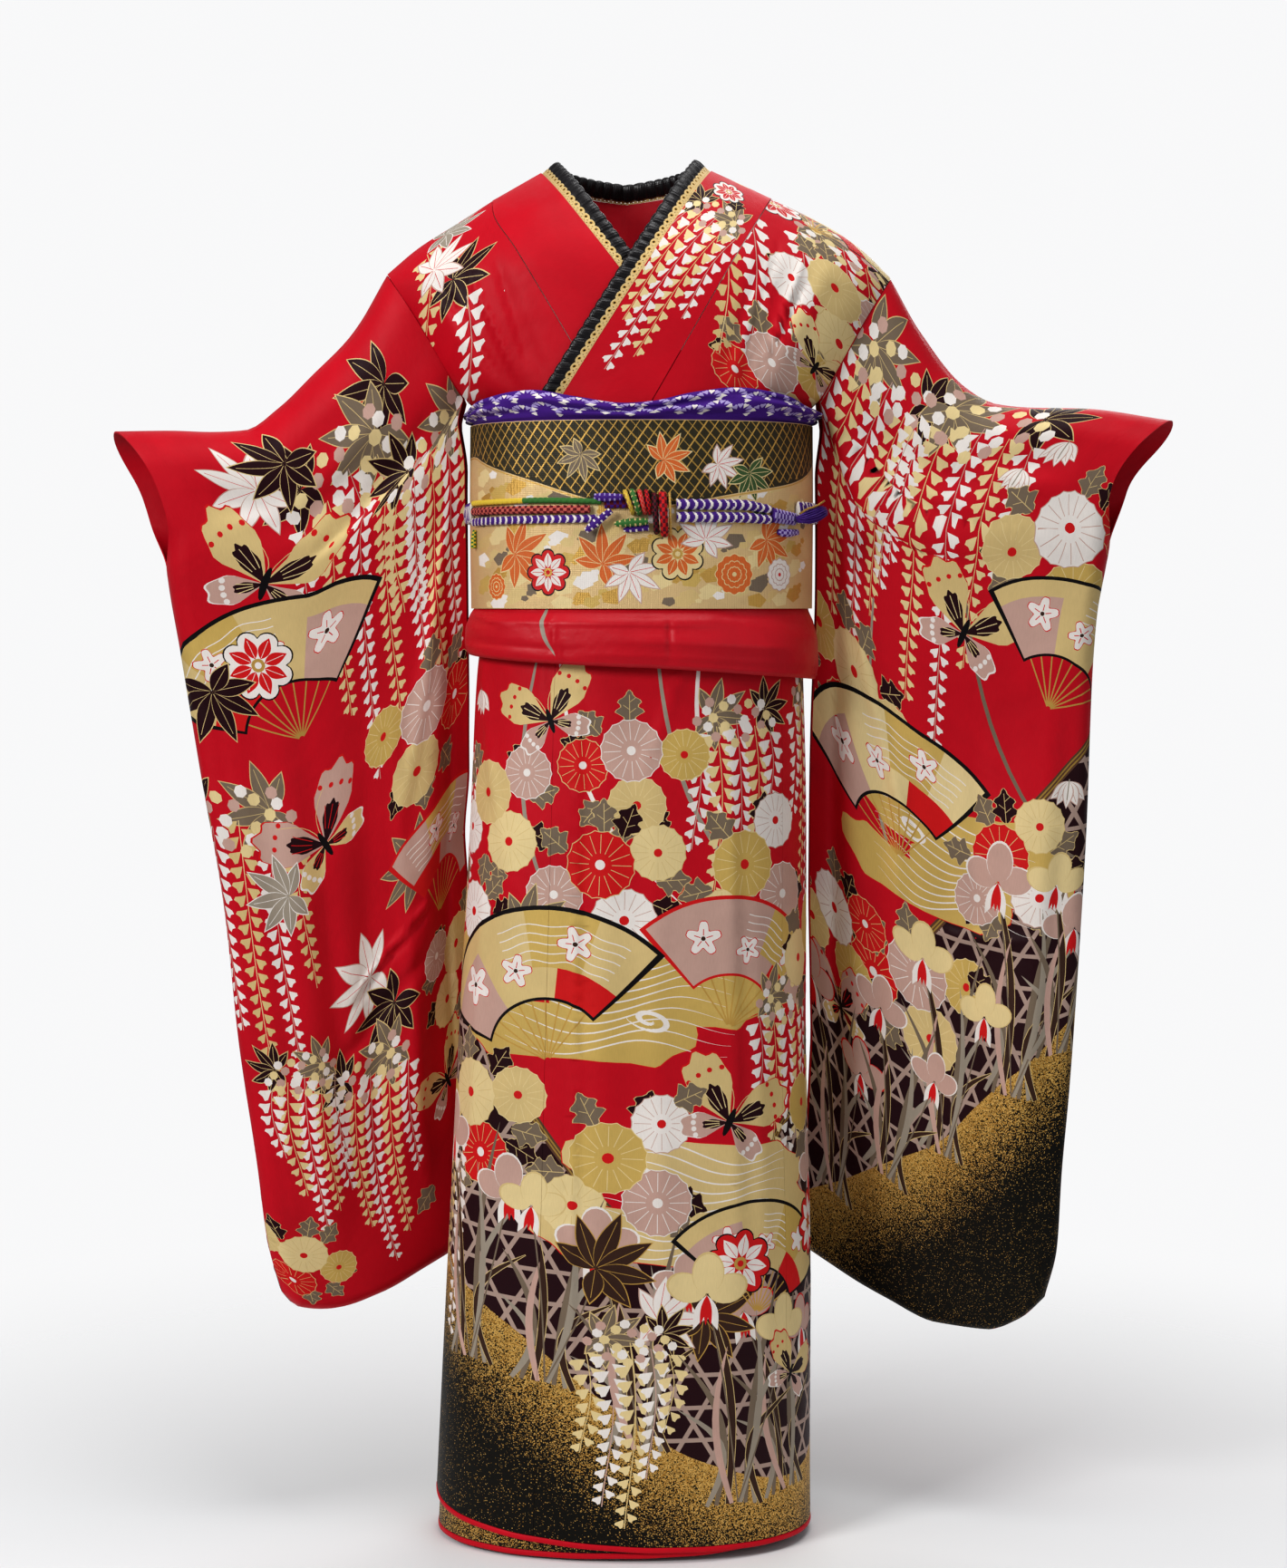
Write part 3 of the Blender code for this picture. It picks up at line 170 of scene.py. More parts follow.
# Creases: start and end (along, down the cloth), half width and height of the ridge.
SKIRT_CREASES = (
    (205, 30, 196, 946, 16, 3.0),
    (105, 60, 92, 840, 20, 2.4),
    (318, 40, 330, 920, 22, 3.0),
    (505, 90, 520, 920, 30, 3.0),
    (862, 90, 850, 920, 30, 3.0),
)
SLEEVE_CREASES = {
    "right": ((20, 150, 330, 70, 26, -7), (30, 230, 150, 900, 30, 9), (150, 260, 190, 980, 24, -6),
              (250, 200, 262, 980, 26, 8), (60, 640, 240, 690, 12, -4)),
    "left": ((20, 120, 300, 60, 24, -7), (60, 220, 90, 930, 30, 8), (190, 240, 180, 980, 26, -6),
             (282, 230, 285, 960, 26, 7)),
}
BODY_CREASES = {
    "right": ((18, 40, 52, 240, 8, -2.4), (70, 40, 84, 240, 9, -2.6), (112, 30, 106, 235, 10, 3)),
    "left": ((22, 40, 58, 240, 8, -2.4), (52, 50, 84, 240, 9, -2.6), (98, 20, 108, 235, 12, 3)),
}

# Sleeves. Top: along the arm. Outer: cuff, then the sewn edge. Bottom: inner to outer corner.
SLEEVE_WIDTH = 340.0
SLEEVE_LENGTH = 1010.0
SLEEVE_POINT = ("at", "x", "y", "z")
SLEEVE_TOP = {
    "right": ((0, -258, 0, -106), (0.21, -296, -4, -169), (0.36, -335, -8, -209),
              (0.51, -371, -13, -244), (0.62, -404, -17, -266), (0.72, -440, -20, -268),
              (0.83, -478, -23, -267), (1, -536, -26, -268)),
    "left": ((0, 258, 0, -110), (0.16, 289, -4, -165), (0.36, 334, -9, -221),
             (0.46, 367, -13, -239), (0.58, 405, -17, -243), (0.72, 451, -21, -244),
             (1, 545, -26, -257)),
}
SLEEVE_OUTER = {
    "right": ((0, -536, -26, -268), (0.07, -500, -27, -332), (0.13, -485, -28, -392),
              (0.16, -482, -28, -420), (0.24, -470, -27, -494), (0.36, -451, -26, -616),
              (0.50, -428, -25, -757), (0.64, -414, -24, -898), (0.78, -397, -22, -1020),
              (0.90, -386, -20, -1108), (1, -372, -18, -1160)),
    "left": ((0, 545, -26, -257), (0.09, 492, -27, -326), (0.165, 478, -28, -404),
             (0.22, 469, -28, -457), (0.28, 465, -27, -521), (0.42, 461, -26, -670),
             (0.55, 455, -25, -796), (0.70, 446, -24, -945), (0.79, 439, -23, -1033),
             (0.90, 435, -21, -1112), (1, 423, -18, -1165)),
}
SLEEVE_BOTTOM = {
    "right": ((0, -150, 122, -1110), (0.2, -190, 97, -1132), (0.4, -232, 68, -1153),
              (0.6, -277, 40, -1174), (0.8, -322, 12, -1184), (0.93, -356, -10, -1177),
              (1, -372, -18, -1160)),
    "left": ((0, 172, 98, -1132), (0.2, 220, 76, -1160), (0.4, 268, 50, -1183),
             (0.6, 318, 22, -1202), (0.8, 365, -2, -1203), (0.92, 400, -12, -1188),
             (1, 423, -18, -1165)),
}

# Free inner edge below the armhole: drop, across, depth, half gap.
SLEEVE_INNER = {
    "right": ((156, -187, 1, 30), (224, -189, 5, 23), (324, -189, 14, 17), (454, -189, 32, 14),
              (644, -182, 70, 13), (844, -168, 100, 13), (1004, -150, 122, 13)),
    "left": ((156, 190, 1, 30), (220, 193, 5, 23), (320, 194, 12, 17), (450, 191, 26, 14),
             (640, 188, 52, 13), (840, 182, 77, 13), (1022, 172, 98, 13)),
}
ARMHOLE_END = 126.0
ARMHOLE_GAP = 0.8
ARM_GAP_COLUMNS = ("at", "gap")
ARM_GAP = ((0, 40), (0.06, 42), (0.12, 38), (0.22, 25), (0.36, 15), (0.6, 13), (1, 13))
ARM_ARCH = 0.045
CUFF_END = 0.155
CUFF_CLOSE = 0.06
CUFF_SKEW = 13.0
EDGE_ROUND = 0.94
BOTTOM_ROUND = 0.985

# The trims lie under the collar's folded edge: from and to are distances from it to the neck.
TRIM_END = {"left": -252.0, "right": -150.0}
LACE_FROM, LACE_TO, LACE_UNDER = 0.5, 9.0, 0.6
RUFFLE_FROM, RUFFLE_TO, RUFFLE_UNDER = 3.5, 22.0, 2.8
LACE_PITCH = 9.2
RUFFLE_PITCH = 12.0
LACE_DEPTH = 2.2
TRIM_LEAN = {"ridge": (0.75, 0.1, 0.66), "nape": (0.0, -0.25, 0.97)}

FOLD_TOP = -440.3
FOLD_BOTTOM = ((183, -493), (230, -500), (270, -506), (320, -516), (357, -520), (450, -512),
               (543, -493))
FOLD_PROFILE = (
    (0, 0), (0.13, 2.0), (0.27, 7), (0.5, 11.5), (0.85, 12.5), (1.0, 9.5), (0.96, 5.5),
    (0.7, 4.2), (0.3, 3.0),
)
SCARF_TOP_COLUMNS = ("across", "height")
SCARF_TOP = (
    (-200, -251), (-170, -250), (-144, -240), (-94, -232), (-58, -239), (-13, -246), (13, -244),
    (49, -235), (85, -230), (130, -236), (160, -246), (200, -251),
)
SCARF_BACK_TOP = -228.0
SCARF_LOW, SCARF_RIM = -277.0, -260.5
SCARF_PROFILE_COLUMNS = ("rise", "bulge")
SCARF_PROFILE = ((0, 0), (0.25, 0.8), (0.6, 1.0), (0.88, 0.7), (1.0, 0.0))
SCARF_BULGE = 6.0
SCARF_FLAT = 64.0

DRUM_HALF = 150.0
DRUM_PROFILE = (
    (122.9, -292), (122.9, -266), (129, -242), (133, -222), (144, -208), (158, -203), (173, -212),
    (184, -240), (191, -300), (190, -370), (182, -425), (172, -441), (160, -438), (157, -420),
    (158, -360),
)
DRUM_WRAP_COLUMNS = ("depth", "share")
DRUM_WRAP = ((123, 0.8), (155, 0.6), (191, 0.42))
HAND_SIZE = (320.0, 9.0, 86.0)
HAND_PLACE = (126.4, -345.0)
HAND_WRAP = 0.9
TAIL_PROFILE = ((154.1, -374), (154.0, -440), (152, -480), (149, -520))
TAIL_WRAP = 0.59
TAIL_LONG = 146

# The cord on the obi's front: number of rings, flatness, then across, height, out and radius.
CORD_RUNS = (
    ("cord_yellow", 13, 0.9, ((-168, -341.8, 4.5, 3.0), (-100, -341.0, 4.4, 3.0),
                              (-37, -342.6, 4.4, 3.0))),
    ("cord_red", 13, 0.75, ((-168, -350.2, 4.9, 4.3), (-48, -350.2, 4.9, 4.3))),
    ("cord_purple_left", 13, 0.75, ((-168, -360.6, 4.9, 4.3), (-110, -359.8, 4.9, 4.3),
                                    (-41, -359.4, 4.9, 4.3))),
    ("cord_braid_upper", 10, 0.62, ((37, -345.4, 5.2, 5.6), (100, -345.4, 5.2, 5.6),
                                    (131, -349.4, 4.6, 4.4))),
    ("cord_braid_lower", 10, 0.62, ((37, -357.8, 5.2, 5.6), (100, -357.8, 5.2, 5.6),
                                    (131, -359.6, 4.8, 4.8))),
    ("cord_gather", 5, 0.5, ((133.5, -355.0, 5.2, 8.0), (157, -358.5, 4.5, 6.5))),
    ("cord_knot", 8, 0.45, ((-34, -345, 4.3, 4.8), (-20, -343.5, 4.4, 6.2),
                            (10.5, -343.5, 4.4, 6.0))),
    ("cord_bow_upper", 6, 0.6, ((-44, -337.6, 11.4, 2.6), (-36, -338.6, 10.6, 4.4),
                                (-16.0, -338.6, 11.2, 3.2))),
    ("cord_bow_lower", 7, 0.6, ((-52, -371.5, 9.4, 3.0), (-45, -366, 10.7, 4.4),
                                (-27, -351.4, 10.4, 3.4))),
    ("cord_bow_green", 7, 0.7, ((-24, -365.2, 9.0, 2.4), (-16, -364.2, 9.2, 4.0),
                                (-4, -363.0, 9.3, 4.4), (9, -362.2, 9.3, 3.4))),
    ("cord_bow_right", 6, 0.7, ((-15, -370.0, 4.0, 2.6), (-6, -369.0, 4.5, 4.2),
                                (10, -367.2, 4.5, 4.2))),
    ("cord_end_loop", 5, 0.7, ((139, -371.5, 3.8, 2.6), (147, -372.6, 4.4, 4.4),
                               (160, -371.2, 3.9, 3.0))),
)

# Loops over the knot: across, lean, middle height, reach up and down, out at ends, rise, radius.
CORD_LOOPS = (
    ("cord_loop_yellow", -9.6, 4.0, -343.5, 10.5, 3.9, 9.2, 2.5),
    ("cord_loop_green", -3.0, 3.6, -343.5, 10.8, 4.4, 9.6, 3.0),
    ("cord_loop_red", 3.5, 2.8, -343.5, 10.5, 3.9, 9.2, 2.5),
    ("cord_loop_red_second", 9.3, 2.0, -343.5, 10.8, 3.8, 9.0, 2.4),
    ("cord_loop_dark", 16.5, 1.2, -354.5, 18.0, 4.6, 9.2, 3.2),
    ("cord_loop_wide", 24.5, 1.0, -355.0, 19.0, 5.4, 9.6, 4.2),
    ("cord_loop_edge", 30.9, 0.6, -355.0, 20.5, 1.9, 11.4, 1.5),
)

# Tucked ends: across, depth, height, radius.
CORD_ENDS = (
    ("cord_tuft", ((158.6, -85.9, -358.6, 2.6), (163.5, -91, -358, 4.2), (169, -89.5, -357, 5.8),
                   (178, -83, -354, 6.6), (187, -75, -350, 5.0))),
    ("cord_gold_end", ((161, -89, -353.6, 1.1), (169, -90, -348.4, 1.1),
                       (178, -84, -345.3, 1.1), (187, -77, -339.5, 0.9))),
    ("cord_yellow_end", ((-166.7, -54.6, -368.5, 2.0), (-167.6, -55.0, -378, 3.0),
                         (-167.8, -55.1, -387, 3.2))),
)
CORD_BEHIND_SPAN = (198.5, -31.0)
CORD_SIDE_OUT, CORD_BACK_OUT = 4.8, 16.4
CORD_BEHIND_RADIUS = (11.5, 9.0)
CORD_BEHIND_HEIGHT = -351.5


def smooth_curve(at, knots, values):
    """Monotone cubic through the table's points, so a curve never swings past them."""
    x, y = np.asarray(knots, float), np.asarray(values, float)
    if x[0] > x[-1]:
        x, y = x[::-1], y[::-1]
    step = np.diff(x)
    slope = np.diff(y) / step
    tangent = np.zeros_like(y)
    same = slope[1:] * slope[:-1] > 0
    w1, w2 = 2 * step[1:] + step[:-1], step[1:] + 2 * step[:-1]
    with np.errstate(divide="ignore", invalid="ignore"):
        inner = (w1 + w2) / (w1 / slope[:-1] + w2 / slope[1:])
    tangent[1:-1] = np.where(same, inner, 0)
    tangent[0], tangent[-1] = slope[0], slope[-1]
    at = np.clip(np.asarray(at, float), x[0], x[-1])
    k = np.clip(np.searchsorted(x, at, side="right") - 1, 0, len(step) - 1)
    t = (at - x[k]) / step[k]
    near = (1 + 2 * t) * (1 - t) ** 2 * y[k] + t * (1 - t) ** 2 * step[k] * tangent[k]
    far = t * t * (3 - 2 * t) * y[k + 1] + t * t * (t - 1) * step[k] * tangent[k + 1]
    return near + far


def read(rows, columns, name, at):
    """The named column of a table at a value of its first column."""
    rows = np.array(rows, float)
    return smooth_curve(at, rows[:, 0], rows[:, columns.index(name)])


def columns_at(at, knots, rows, curve=smooth_curve):
    """Every column of some rows at places along their knots."""
    return np.stack([curve(at, knots, rows[:, k]) for k in range(rows.shape[1])], -1)


def way_along(points):
    """Length along a path from its start to each of its points."""
    return np.concatenate([[0], np.cumsum(np.linalg.norm(np.diff(points, axis=0), axis=1))])


def flat_way(x, y):
    """The same for a flat path, from its two coordinates."""
    return np.concatenate([[0], np.cumsum(np.hypot(np.diff(x), np.diff(y)))])


def unit(vectors, least=0.0):
    """The vectors' directions. A least length keeps one of no length from dividing by zero."""
    return vectors / (np.linalg.norm(vectors, axis=-1, keepdims=True) + least)


def full_turn(count):
    """Evenly spaced angles of a whole turn."""
    return np.linspace(0, 2 * math.pi, count, endpoint=False)


def smooth_step(low, high, at):
    t = np.clip((at - low) / (high - low), 0, 1)
    return t * t * (3 - 2 * t)


def round_power(c, depth):
    return depth * np.sign(c) * np.abs(c) ** (2 / ROUND)


def ring_point(angle, right, left, front, back, out):
    """Superellipse about the body's axis. Angle 0 is the garment's left, 270 degrees its front."""
    c, s = np.cos(angle), np.sin(angle)
    across = np.where(c < 0, right, left) + out
    deep = np.where(s < 0, front, back) + out
    return round_power(c, across), round_power(s, deep)


def table_ring(rows, angle, height, out):
    sizes = [read(rows, RING_COLUMNS, name, height) for name in RING_COLUMNS[1:]]
    return ring_point(angle, *sizes, out)


def creases(rows, along, down):
    """Sum of soft ridges, each a bell across its line that fades out towards both of its ends."""
    total = np.zeros(np.broadcast(along, down).shape)
    for a0, d0, a1, d1, half, rise in rows:
        run = np.array([a1 - a0, d1 - d0], float)
        length = np.hypot(*run)
        t = ((along - a0) * run[0] + (down - d0) * run[1]) / length ** 2
        away = ((along - a0) * run[1] - (down - d0) * run[0]) / length
        ends = smooth_step(0, 0.3, t) * smooth_step(1, 0.75, t)
        total = total + rise * ends * np.exp(-(away / half) ** 2)
    return total


def shoulder(x):
    return read(SHOULDER_LINE, SHOULDER_COLUMNS, "height", x)


def trunk_depth(x, z, out, face):
    """Depth of the upper body at a place in the front view: a dome that meets the shoulder line."""
    side = np.where(x < 0, read(TRUNK_RINGS, TRUNK_COLUMNS, "right", z),
                    read(TRUNK_RINGS, TRUNK_COLUMNS, "left", z)) + out
    deep = read(TRUNK_RINGS, TRUNK_COLUMNS, face, z) + out
    run = CHEST_DROP if face == "front" else BLADE_DROP
    round_side = np.clip(1 - np.abs(x / side) ** ROUND, 0, 1) ** (1 / ROUND)
    down = np.clip((shoulder(x) - z) / run, 0, 1)
    depth = deep * round_side * np.sqrt(1 - (1 - down) ** 2)
    return -depth if face == "front" else depth


def trunk_point(x, z, out, face):
    return np.stack([x, trunk_depth(x, z, out, face), z + 0 * x], -1)


def layer_out(side, face, drop):
    """How far a body cloth stands out: the left front lies over the right one."""
    if face == "back":
        return BACK_OUT + 0 * drop
    return BACK_OUT + (LAYER_OUT[side] - BACK_OUT) * smooth_step(0, 90, drop)


def armhole_point(side, face, drop):
    sign = -1 if side == "right" else 1
    x = sign * read(ARMHOLE, ARMHOLE_COLUMNS, side, drop)
    z = shoulder(sign * ARMHOLE_TOP) - drop
    return trunk_point(x, z, layer_out(side, face, drop), face)


def trunk_drops(share):
    """Share of the way down a body cloth, so that its rows crowd together over the shoulder."""
    bend = 0.42
    arch = 1 - np.cos(np.clip(share / bend, 0, 1) * math.pi / 2)
    run = arch + (math.pi / 2 / bend) * np.clip(share - bend, 0, 1)
    return run / (1 + (math.pi / 2 / bend) * (1 - bend))


def neck_share():
    """The share at which the back neckline ends at the nape."""
    shares = np.linspace(0, 1, 4001)
    top = COLLAR_SEAM["left"][-1][0]
    heights = top - trunk_drops(shares) * (top - TRUNK_END)
    return float(np.interp(-NECK_END_HEIGHT, -heights, shares))


NECK_SHARE = neck_share()


def inner_line(side, face, share):
    """Where a body cloth begins: the collar's seam, and below the nape the centre back seam."""
    top_x, top_z = COLLAR_SEAM[side][-1][1], COLLAR_SEAM[side][-1][0]
    z = top_z - trunk_drops(share) * (top_z - TRUNK_END)
    if face == "front":
        x = read(COLLAR_SEAM[side], COLLAR_SEAM_COLUMNS, "across", z)
    else:
        turn = np.clip(share / NECK_SHARE, 0, 1) * math.pi / 2
        x = NAPE_X + (top_x - NAPE_X) * np.cos(turn)
    return x, z


def collar_point(side, face, share, inward):
    """A point of the collar band, inward in mm from its seam towards its folded edge."""
    x0, z0 = inner_line(side, face, share)
    seam = trunk_point(x0, z0, layer_out(side, face, shoulder(x0) - z0), face)
    if face == "front":
        top = COLLAR_EDGE[side][-1][0]
        z1 = top - trunk_drops(share) * (top - TRUNK_END)
        x1 = read(COLLAR_EDGE[side], COLLAR_SEAM_COLUMNS, "across", z1)
        run = np.stack([x1 - x0, z1 - z0], -1)
        length = np.linalg.norm(run, axis=-1, keepdims=True)
        flat = np.stack([x0, z0], -1) + run / length * inward[..., None]
        drop = np.maximum(shoulder(flat[..., 0]) - flat[..., 1], 0)
        over = smooth_step(0, 40, shoulder(x0) - z0)
        point = trunk_point(flat[..., 0], flat[..., 1], layer_out(side, face, drop), face)
        straight = seam + (edge_point(side, share * 0) - seam) * (inward / length[..., 0])[..., None]
        return straight + (point - straight) * over[..., None]
    edge = edge_point(side, share / NECK_SHARE)
    run = edge - seam
    length = np.linalg.norm(run, axis=-1, keepdims=True)
    return seam + run / length * inward[..., None]


def edge_point(side, turn):
    """The collar's folded edge round the neck, from the shoulder (0) to the nape (1)."""
    start, middle, end = (np.array(p, float) for p in NAPE_EDGE[side])
    turn = np.clip(turn, 0, 1)[..., None]
    control = 2 * middle - (start + end) / 2
    return (1 - turn) ** 2 * start + 2 * turn * (1 - turn) * control + turn ** 2 * end


def collar_width(side, face, share):
    x0, z0 = inner_line(side, face, share)
    if face == "front":
        top = COLLAR_EDGE[side][-1][0]
        z1 = top - trunk_drops(share) * (top - TRUNK_END)
        x1 = read(COLLAR_EDGE[side], COLLAR_SEAM_COLUMNS, "across", z1)
        return np.hypot(x1 - x0, z1 - z0)
    seam = trunk_point(x0, z0, BACK_OUT + 0 * x0, face)
    return np.linalg.norm(edge_point(side, share / NECK_SHARE) - seam, axis=-1)


def wrap_angles():
    """Angle round the skirt against the length of cloth, from the length of the reference ring."""
    angles = np.linspace(WRAP_START, WRAP_START + 4 * math.pi, 2881)
    x, y = table_ring(SKIRT_RINGS, angles, WRAP_REFERENCE + 0 * angles, LAYER_STEP / 2)
    return flat_way(x, y), angles


WRAP_LENGTHS, WRAP_ANGLES = wrap_angles()


def skirt_point(along, share):
    """The skirt cloth: along its wrap in mm, share 0 at the top and 1 at the hem."""
    hem = read(HEM, HEM_COLUMNS, "height", along)
    z = SKIRT_TOP + (hem - SKIRT_TOP) * share
    angle = np.interp(along, WRAP_LENGTHS, WRAP_ANGLES)
    out = LAYER_STEP * (1 - smooth_step(*LAYER_RAMP, angle))
    soft = creases(SKIRT_CREASES, along, SKIRT_TOP - z)
    x, y = table_ring(SKIRT_RINGS, angle, z, out + soft)
    return np.stack([x, y, z + 0 * x], -1)


def sleeve_path(rows, at):
    return np.stack([read(rows, SLEEVE_POINT, name, at) for name in "xyz"], -1)


def sleeve_inner_table(side):
    """Middle line and half gap of the sleeve's inner edge: the armhole, then the free edge."""
    drops = np.linspace(0, ARMHOLE_END, 64)
    front, back = armhole_point(side, "front", drops), armhole_point(side, "back", drops)
    middle, gap = (front + back) / 2, (back - front) / 2
    rows = np.array(SLEEVE_INNER[side], float)
    top = front[0, 2]
    free = np.stack([rows[:, 1], rows[:, 2], top - rows[:, 0]], -1)
    wide = np.zeros_like(free)
    wide[:, 1] = rows[:, 3]
    path, gaps = np.concatenate([middle, free]), np.concatenate([gap, wide])
    length = way_along(path)
    return length / length[-1], path, gaps


INNER = {side: sleeve_inner_table(side) for side in ("right", "left")}


def inner_middle(side, at):
    share, path, gaps = INNER[side]
    return columns_at(at, share, path), columns_at(at, share, gaps)


def sleeve_middle(side, u, v):
    """Coons patch between the sleeve's top, bottom, inner and outer lines."""
    inner, outer = inner_middle(side, v)[0], sleeve_path(SLEEVE_OUTER[side], v)
    top, bottom = sleeve_path(SLEEVE_TOP[side], u), sleeve_path(SLEEVE_BOTTOM[side], u)
    c00, c01 = sleeve_path(SLEEVE_TOP[side], 0 * u), sleeve_path(SLEEVE_BOTTOM[side], 0 * u)
    c10, c11 = sleeve_path(SLEEVE_TOP[side], 0 * u + 1), sleeve_path(SLEEVE_BOTTOM[side], 0 * u + 1)
    u, v = u[..., None], v[..., None]
    across = (1 - u) * inner + u * outer
    down = (1 - v) * top + v * bottom
    corners = (1 - v) * ((1 - u) * c00 + u * c10) + v * ((1 - u) * c01 + u * c11)
    return across + down - corners


def sleeve_point(side, face, u, v):
    """A sleeve's layer: the middle surface moved to the front or back by half the hollow."""
    u, v = np.broadcast_arrays(np.asarray(u, float), np.asarray(v, float))
    step = 1e-3
    u0, v0 = np.clip(u, step, 1 - step), np.clip(v, step, 1 - step)
    du = sleeve_middle(side, u0 + step, v0) - sleeve_middle(side, u0 - step, v0)
    dv = sleeve_middle(side, u0, v0 + step) - sleeve_middle(side, u0, v0 - step)
    normal = unit(np.cross(du, dv))
    normal *= np.where(normal[..., 1:2] < 0, -1, 1)
    middle = sleeve_middle(side, u, v)
    close = smooth_step(CUFF_END - CUFF_CLOSE, CUFF_END, v)
    rim = np.clip((u - EDGE_ROUND) / (1 - EDGE_ROUND), 0, 1)
    sides = np.sqrt(np.clip(1 - close * rim ** 2, 0, 1))
    low = np.clip((v - BOTTOM_ROUND) / (1 - BOTTOM_ROUND), 0, 1)
    ends = np.sqrt(np.clip(1 - low ** 2, 0, 1))
    arch = np.clip(v / ARM_ARCH, 0, 1)
    arch = np.sqrt(1 - (1 - arch) ** 2)
    half = read(ARM_GAP, ARM_GAP_COLUMNS, "gap", v) * arch * sides
    blend = smooth_step(0, 0.3, u)[..., None]
    gap = (1 - blend) * inner_middle(side, v)[1] + blend * normal * half[..., None]
    gap = gap * ends[..., None]
    skew = CUFF_SKEW * smooth_step(0.75, 1, u) * (1 - close) * arch
    gap[..., 0] = gap[..., 0] + (skew if side == "left" else -skew)
    fade = smooth_step(0, 0.12, u) * smooth_step(0.02, 0.1, v) * smooth_step(1, 0.9, v)
    fold = creases(SLEEVE_CREASES[side], u * SLEEVE_WIDTH, v * SLEEVE_LENGTH)
    middle = middle - normal * (fold * fade)[..., None]
    return middle - gap if face == "front" else middle + gap


def fold_point(angle, drop, out):
    bottoms = np.array(FOLD_BOTTOM, float)
    low = smooth_curve(np.degrees(angle), bottoms[:, 0], bottoms[:, 1])
    z = FOLD_TOP + (low - FOLD_TOP) * drop
    x, y = ring_point(angle, *FOLD_RING, out)
    return np.stack([x, y, z + 0 * x], -1)


def scarf_point(angle, share, out):
    """The obi scarf: a soft roll above the obi whose top line rises and falls across the front.

    Share -1 is its lower edge inside the obi, 0 the obi's rim and 1 the scarf's top line.
    """
    x, y = table_ring(SCARF_RINGS, angle, SCARF_RIM + 0 * angle, 0)
    front = read(SCARF_TOP, SCARF_TOP_COLUMNS, "height", x)
    behind = smooth_step(80, 112, y)
    top = front + (SCARF_BACK_TOP - front) * behind
    above, below = np.clip(share, 0, 1), np.clip(-share, 0, 1)
    z = SCARF_RIM + (top - SCARF_RIM) * above + (SCARF_LOW - SCARF_RIM) * below
    shape = read(SCARF_PROFILE, SCARF_PROFILE_COLUMNS, "bulge", above)
    bulge = np.minimum(SCARF_BULGE, 0.4 * (top - SCARF_RIM)) * (1 - 0.85 * behind)
    x, y = table_ring(SCARF_RINGS, angle, z, out + shape * bulge)
    return np.stack([x, y, z], -1)


def obi_point(angle, z, out):
    x, y = table_ring(OBI_RINGS, angle, z, out)
    return np.stack([x, y, z + 0 * x], -1)


def obi_surface_depth(x, out, behind):
    """Depth of the obi's outer face straight in front of or behind a place across it."""
    right, left, front, back = (row + out for row in OBI_RINGS[1][1:])
    share = np.clip(1 - np.abs(x / np.where(x < 0, right, left)) ** ROUND, 0, 1) ** (1 / ROUND)
    return np.where(behind, back * share, -front * share)


RING_ANGLES = WRAP_START + np.linspace(0, 2 * math.pi, 37)[:-1]


def front_path(rows, count):
    """Points and radii of a cord on the obi's front from rows of across, height, out and radius."""
    rows = np.array(rows, float)
    run = flat_way(rows[:, 0], rows[:, 1])
    at = np.linspace(0, run[-1], count)
    x, z, out, radius = (smooth_curve(at, run, rows[:, k]) for k in range(4))
    return np.stack([x, front_face(x, out), z], -1), radius


def front_face(x, out):
    """Depth of the obi's faceted front at places across it, at distances out from its middle."""
    front = RING_ANGLES[RING_ANGLES < WRAP_START + math.pi]
    edges = [ring_point(front, *OBI_RINGS[1][1:], step) for step in out]
    return np.array([np.interp(place, *edge) for place, edge in zip(x, edges)])


def path_rings(path, radius, side, sides=6, flat=1.0):
    """Rings round a path: the first axis of each ring lies along side, flat squeezes the other."""
    path = np.asarray(path, float)
    forward = unit(np.gradient(path, axis=0))
    first = unit(np.array(side) - forward * (forward @ np.array(side))[:, None])
    second = np.cross(forward, first)
    turn = full_turn(sides)
    radius = np.asarray(radius)[:, None, None]
    return (path[:, None] + first[:, None] * np.cos(turn)[None, :, None] * radius
            + second[:, None] * np.sin(turn)[None, :, None] * radius * flat)


def loop_path(x, lean, middle, reach, low, high, radius):
    """A loop over the knot: a half ellipse from its top, out from the obi and back to its bottom."""
    turn = np.linspace(0, math.pi, 25)
    out = low + high * np.sin(turn)
    across = x - lean * np.cos(turn)
    path = np.stack([across, front_face(across, out), middle + reach * np.cos(turn)], -1)
    return path, np.full(len(turn), radius)


def behind_path():
    """The cord's run round both sides and the back, over the hand end and inside the drum."""
    start, end = np.radians(CORD_BEHIND_SPAN)
    angle = np.linspace(start, end, 90)
    base_y = ring_point(angle, *OBI_RINGS[1][1:], 0)[1]
    out = CORD_SIDE_OUT + (CORD_BACK_OUT - CORD_SIDE_OUT) * smooth_step(0, 60, base_y)
    x, y = ring_point(angle, *OBI_RINGS[1][1:], out)
    wide, narrow = CORD_BEHIND_RADIUS
    up = wide + (narrow - wide) * smooth_step(-70, 30, base_y)
    return np.stack([x, y, CORD_BEHIND_HEIGHT + 0 * x], -1), up, 0.3


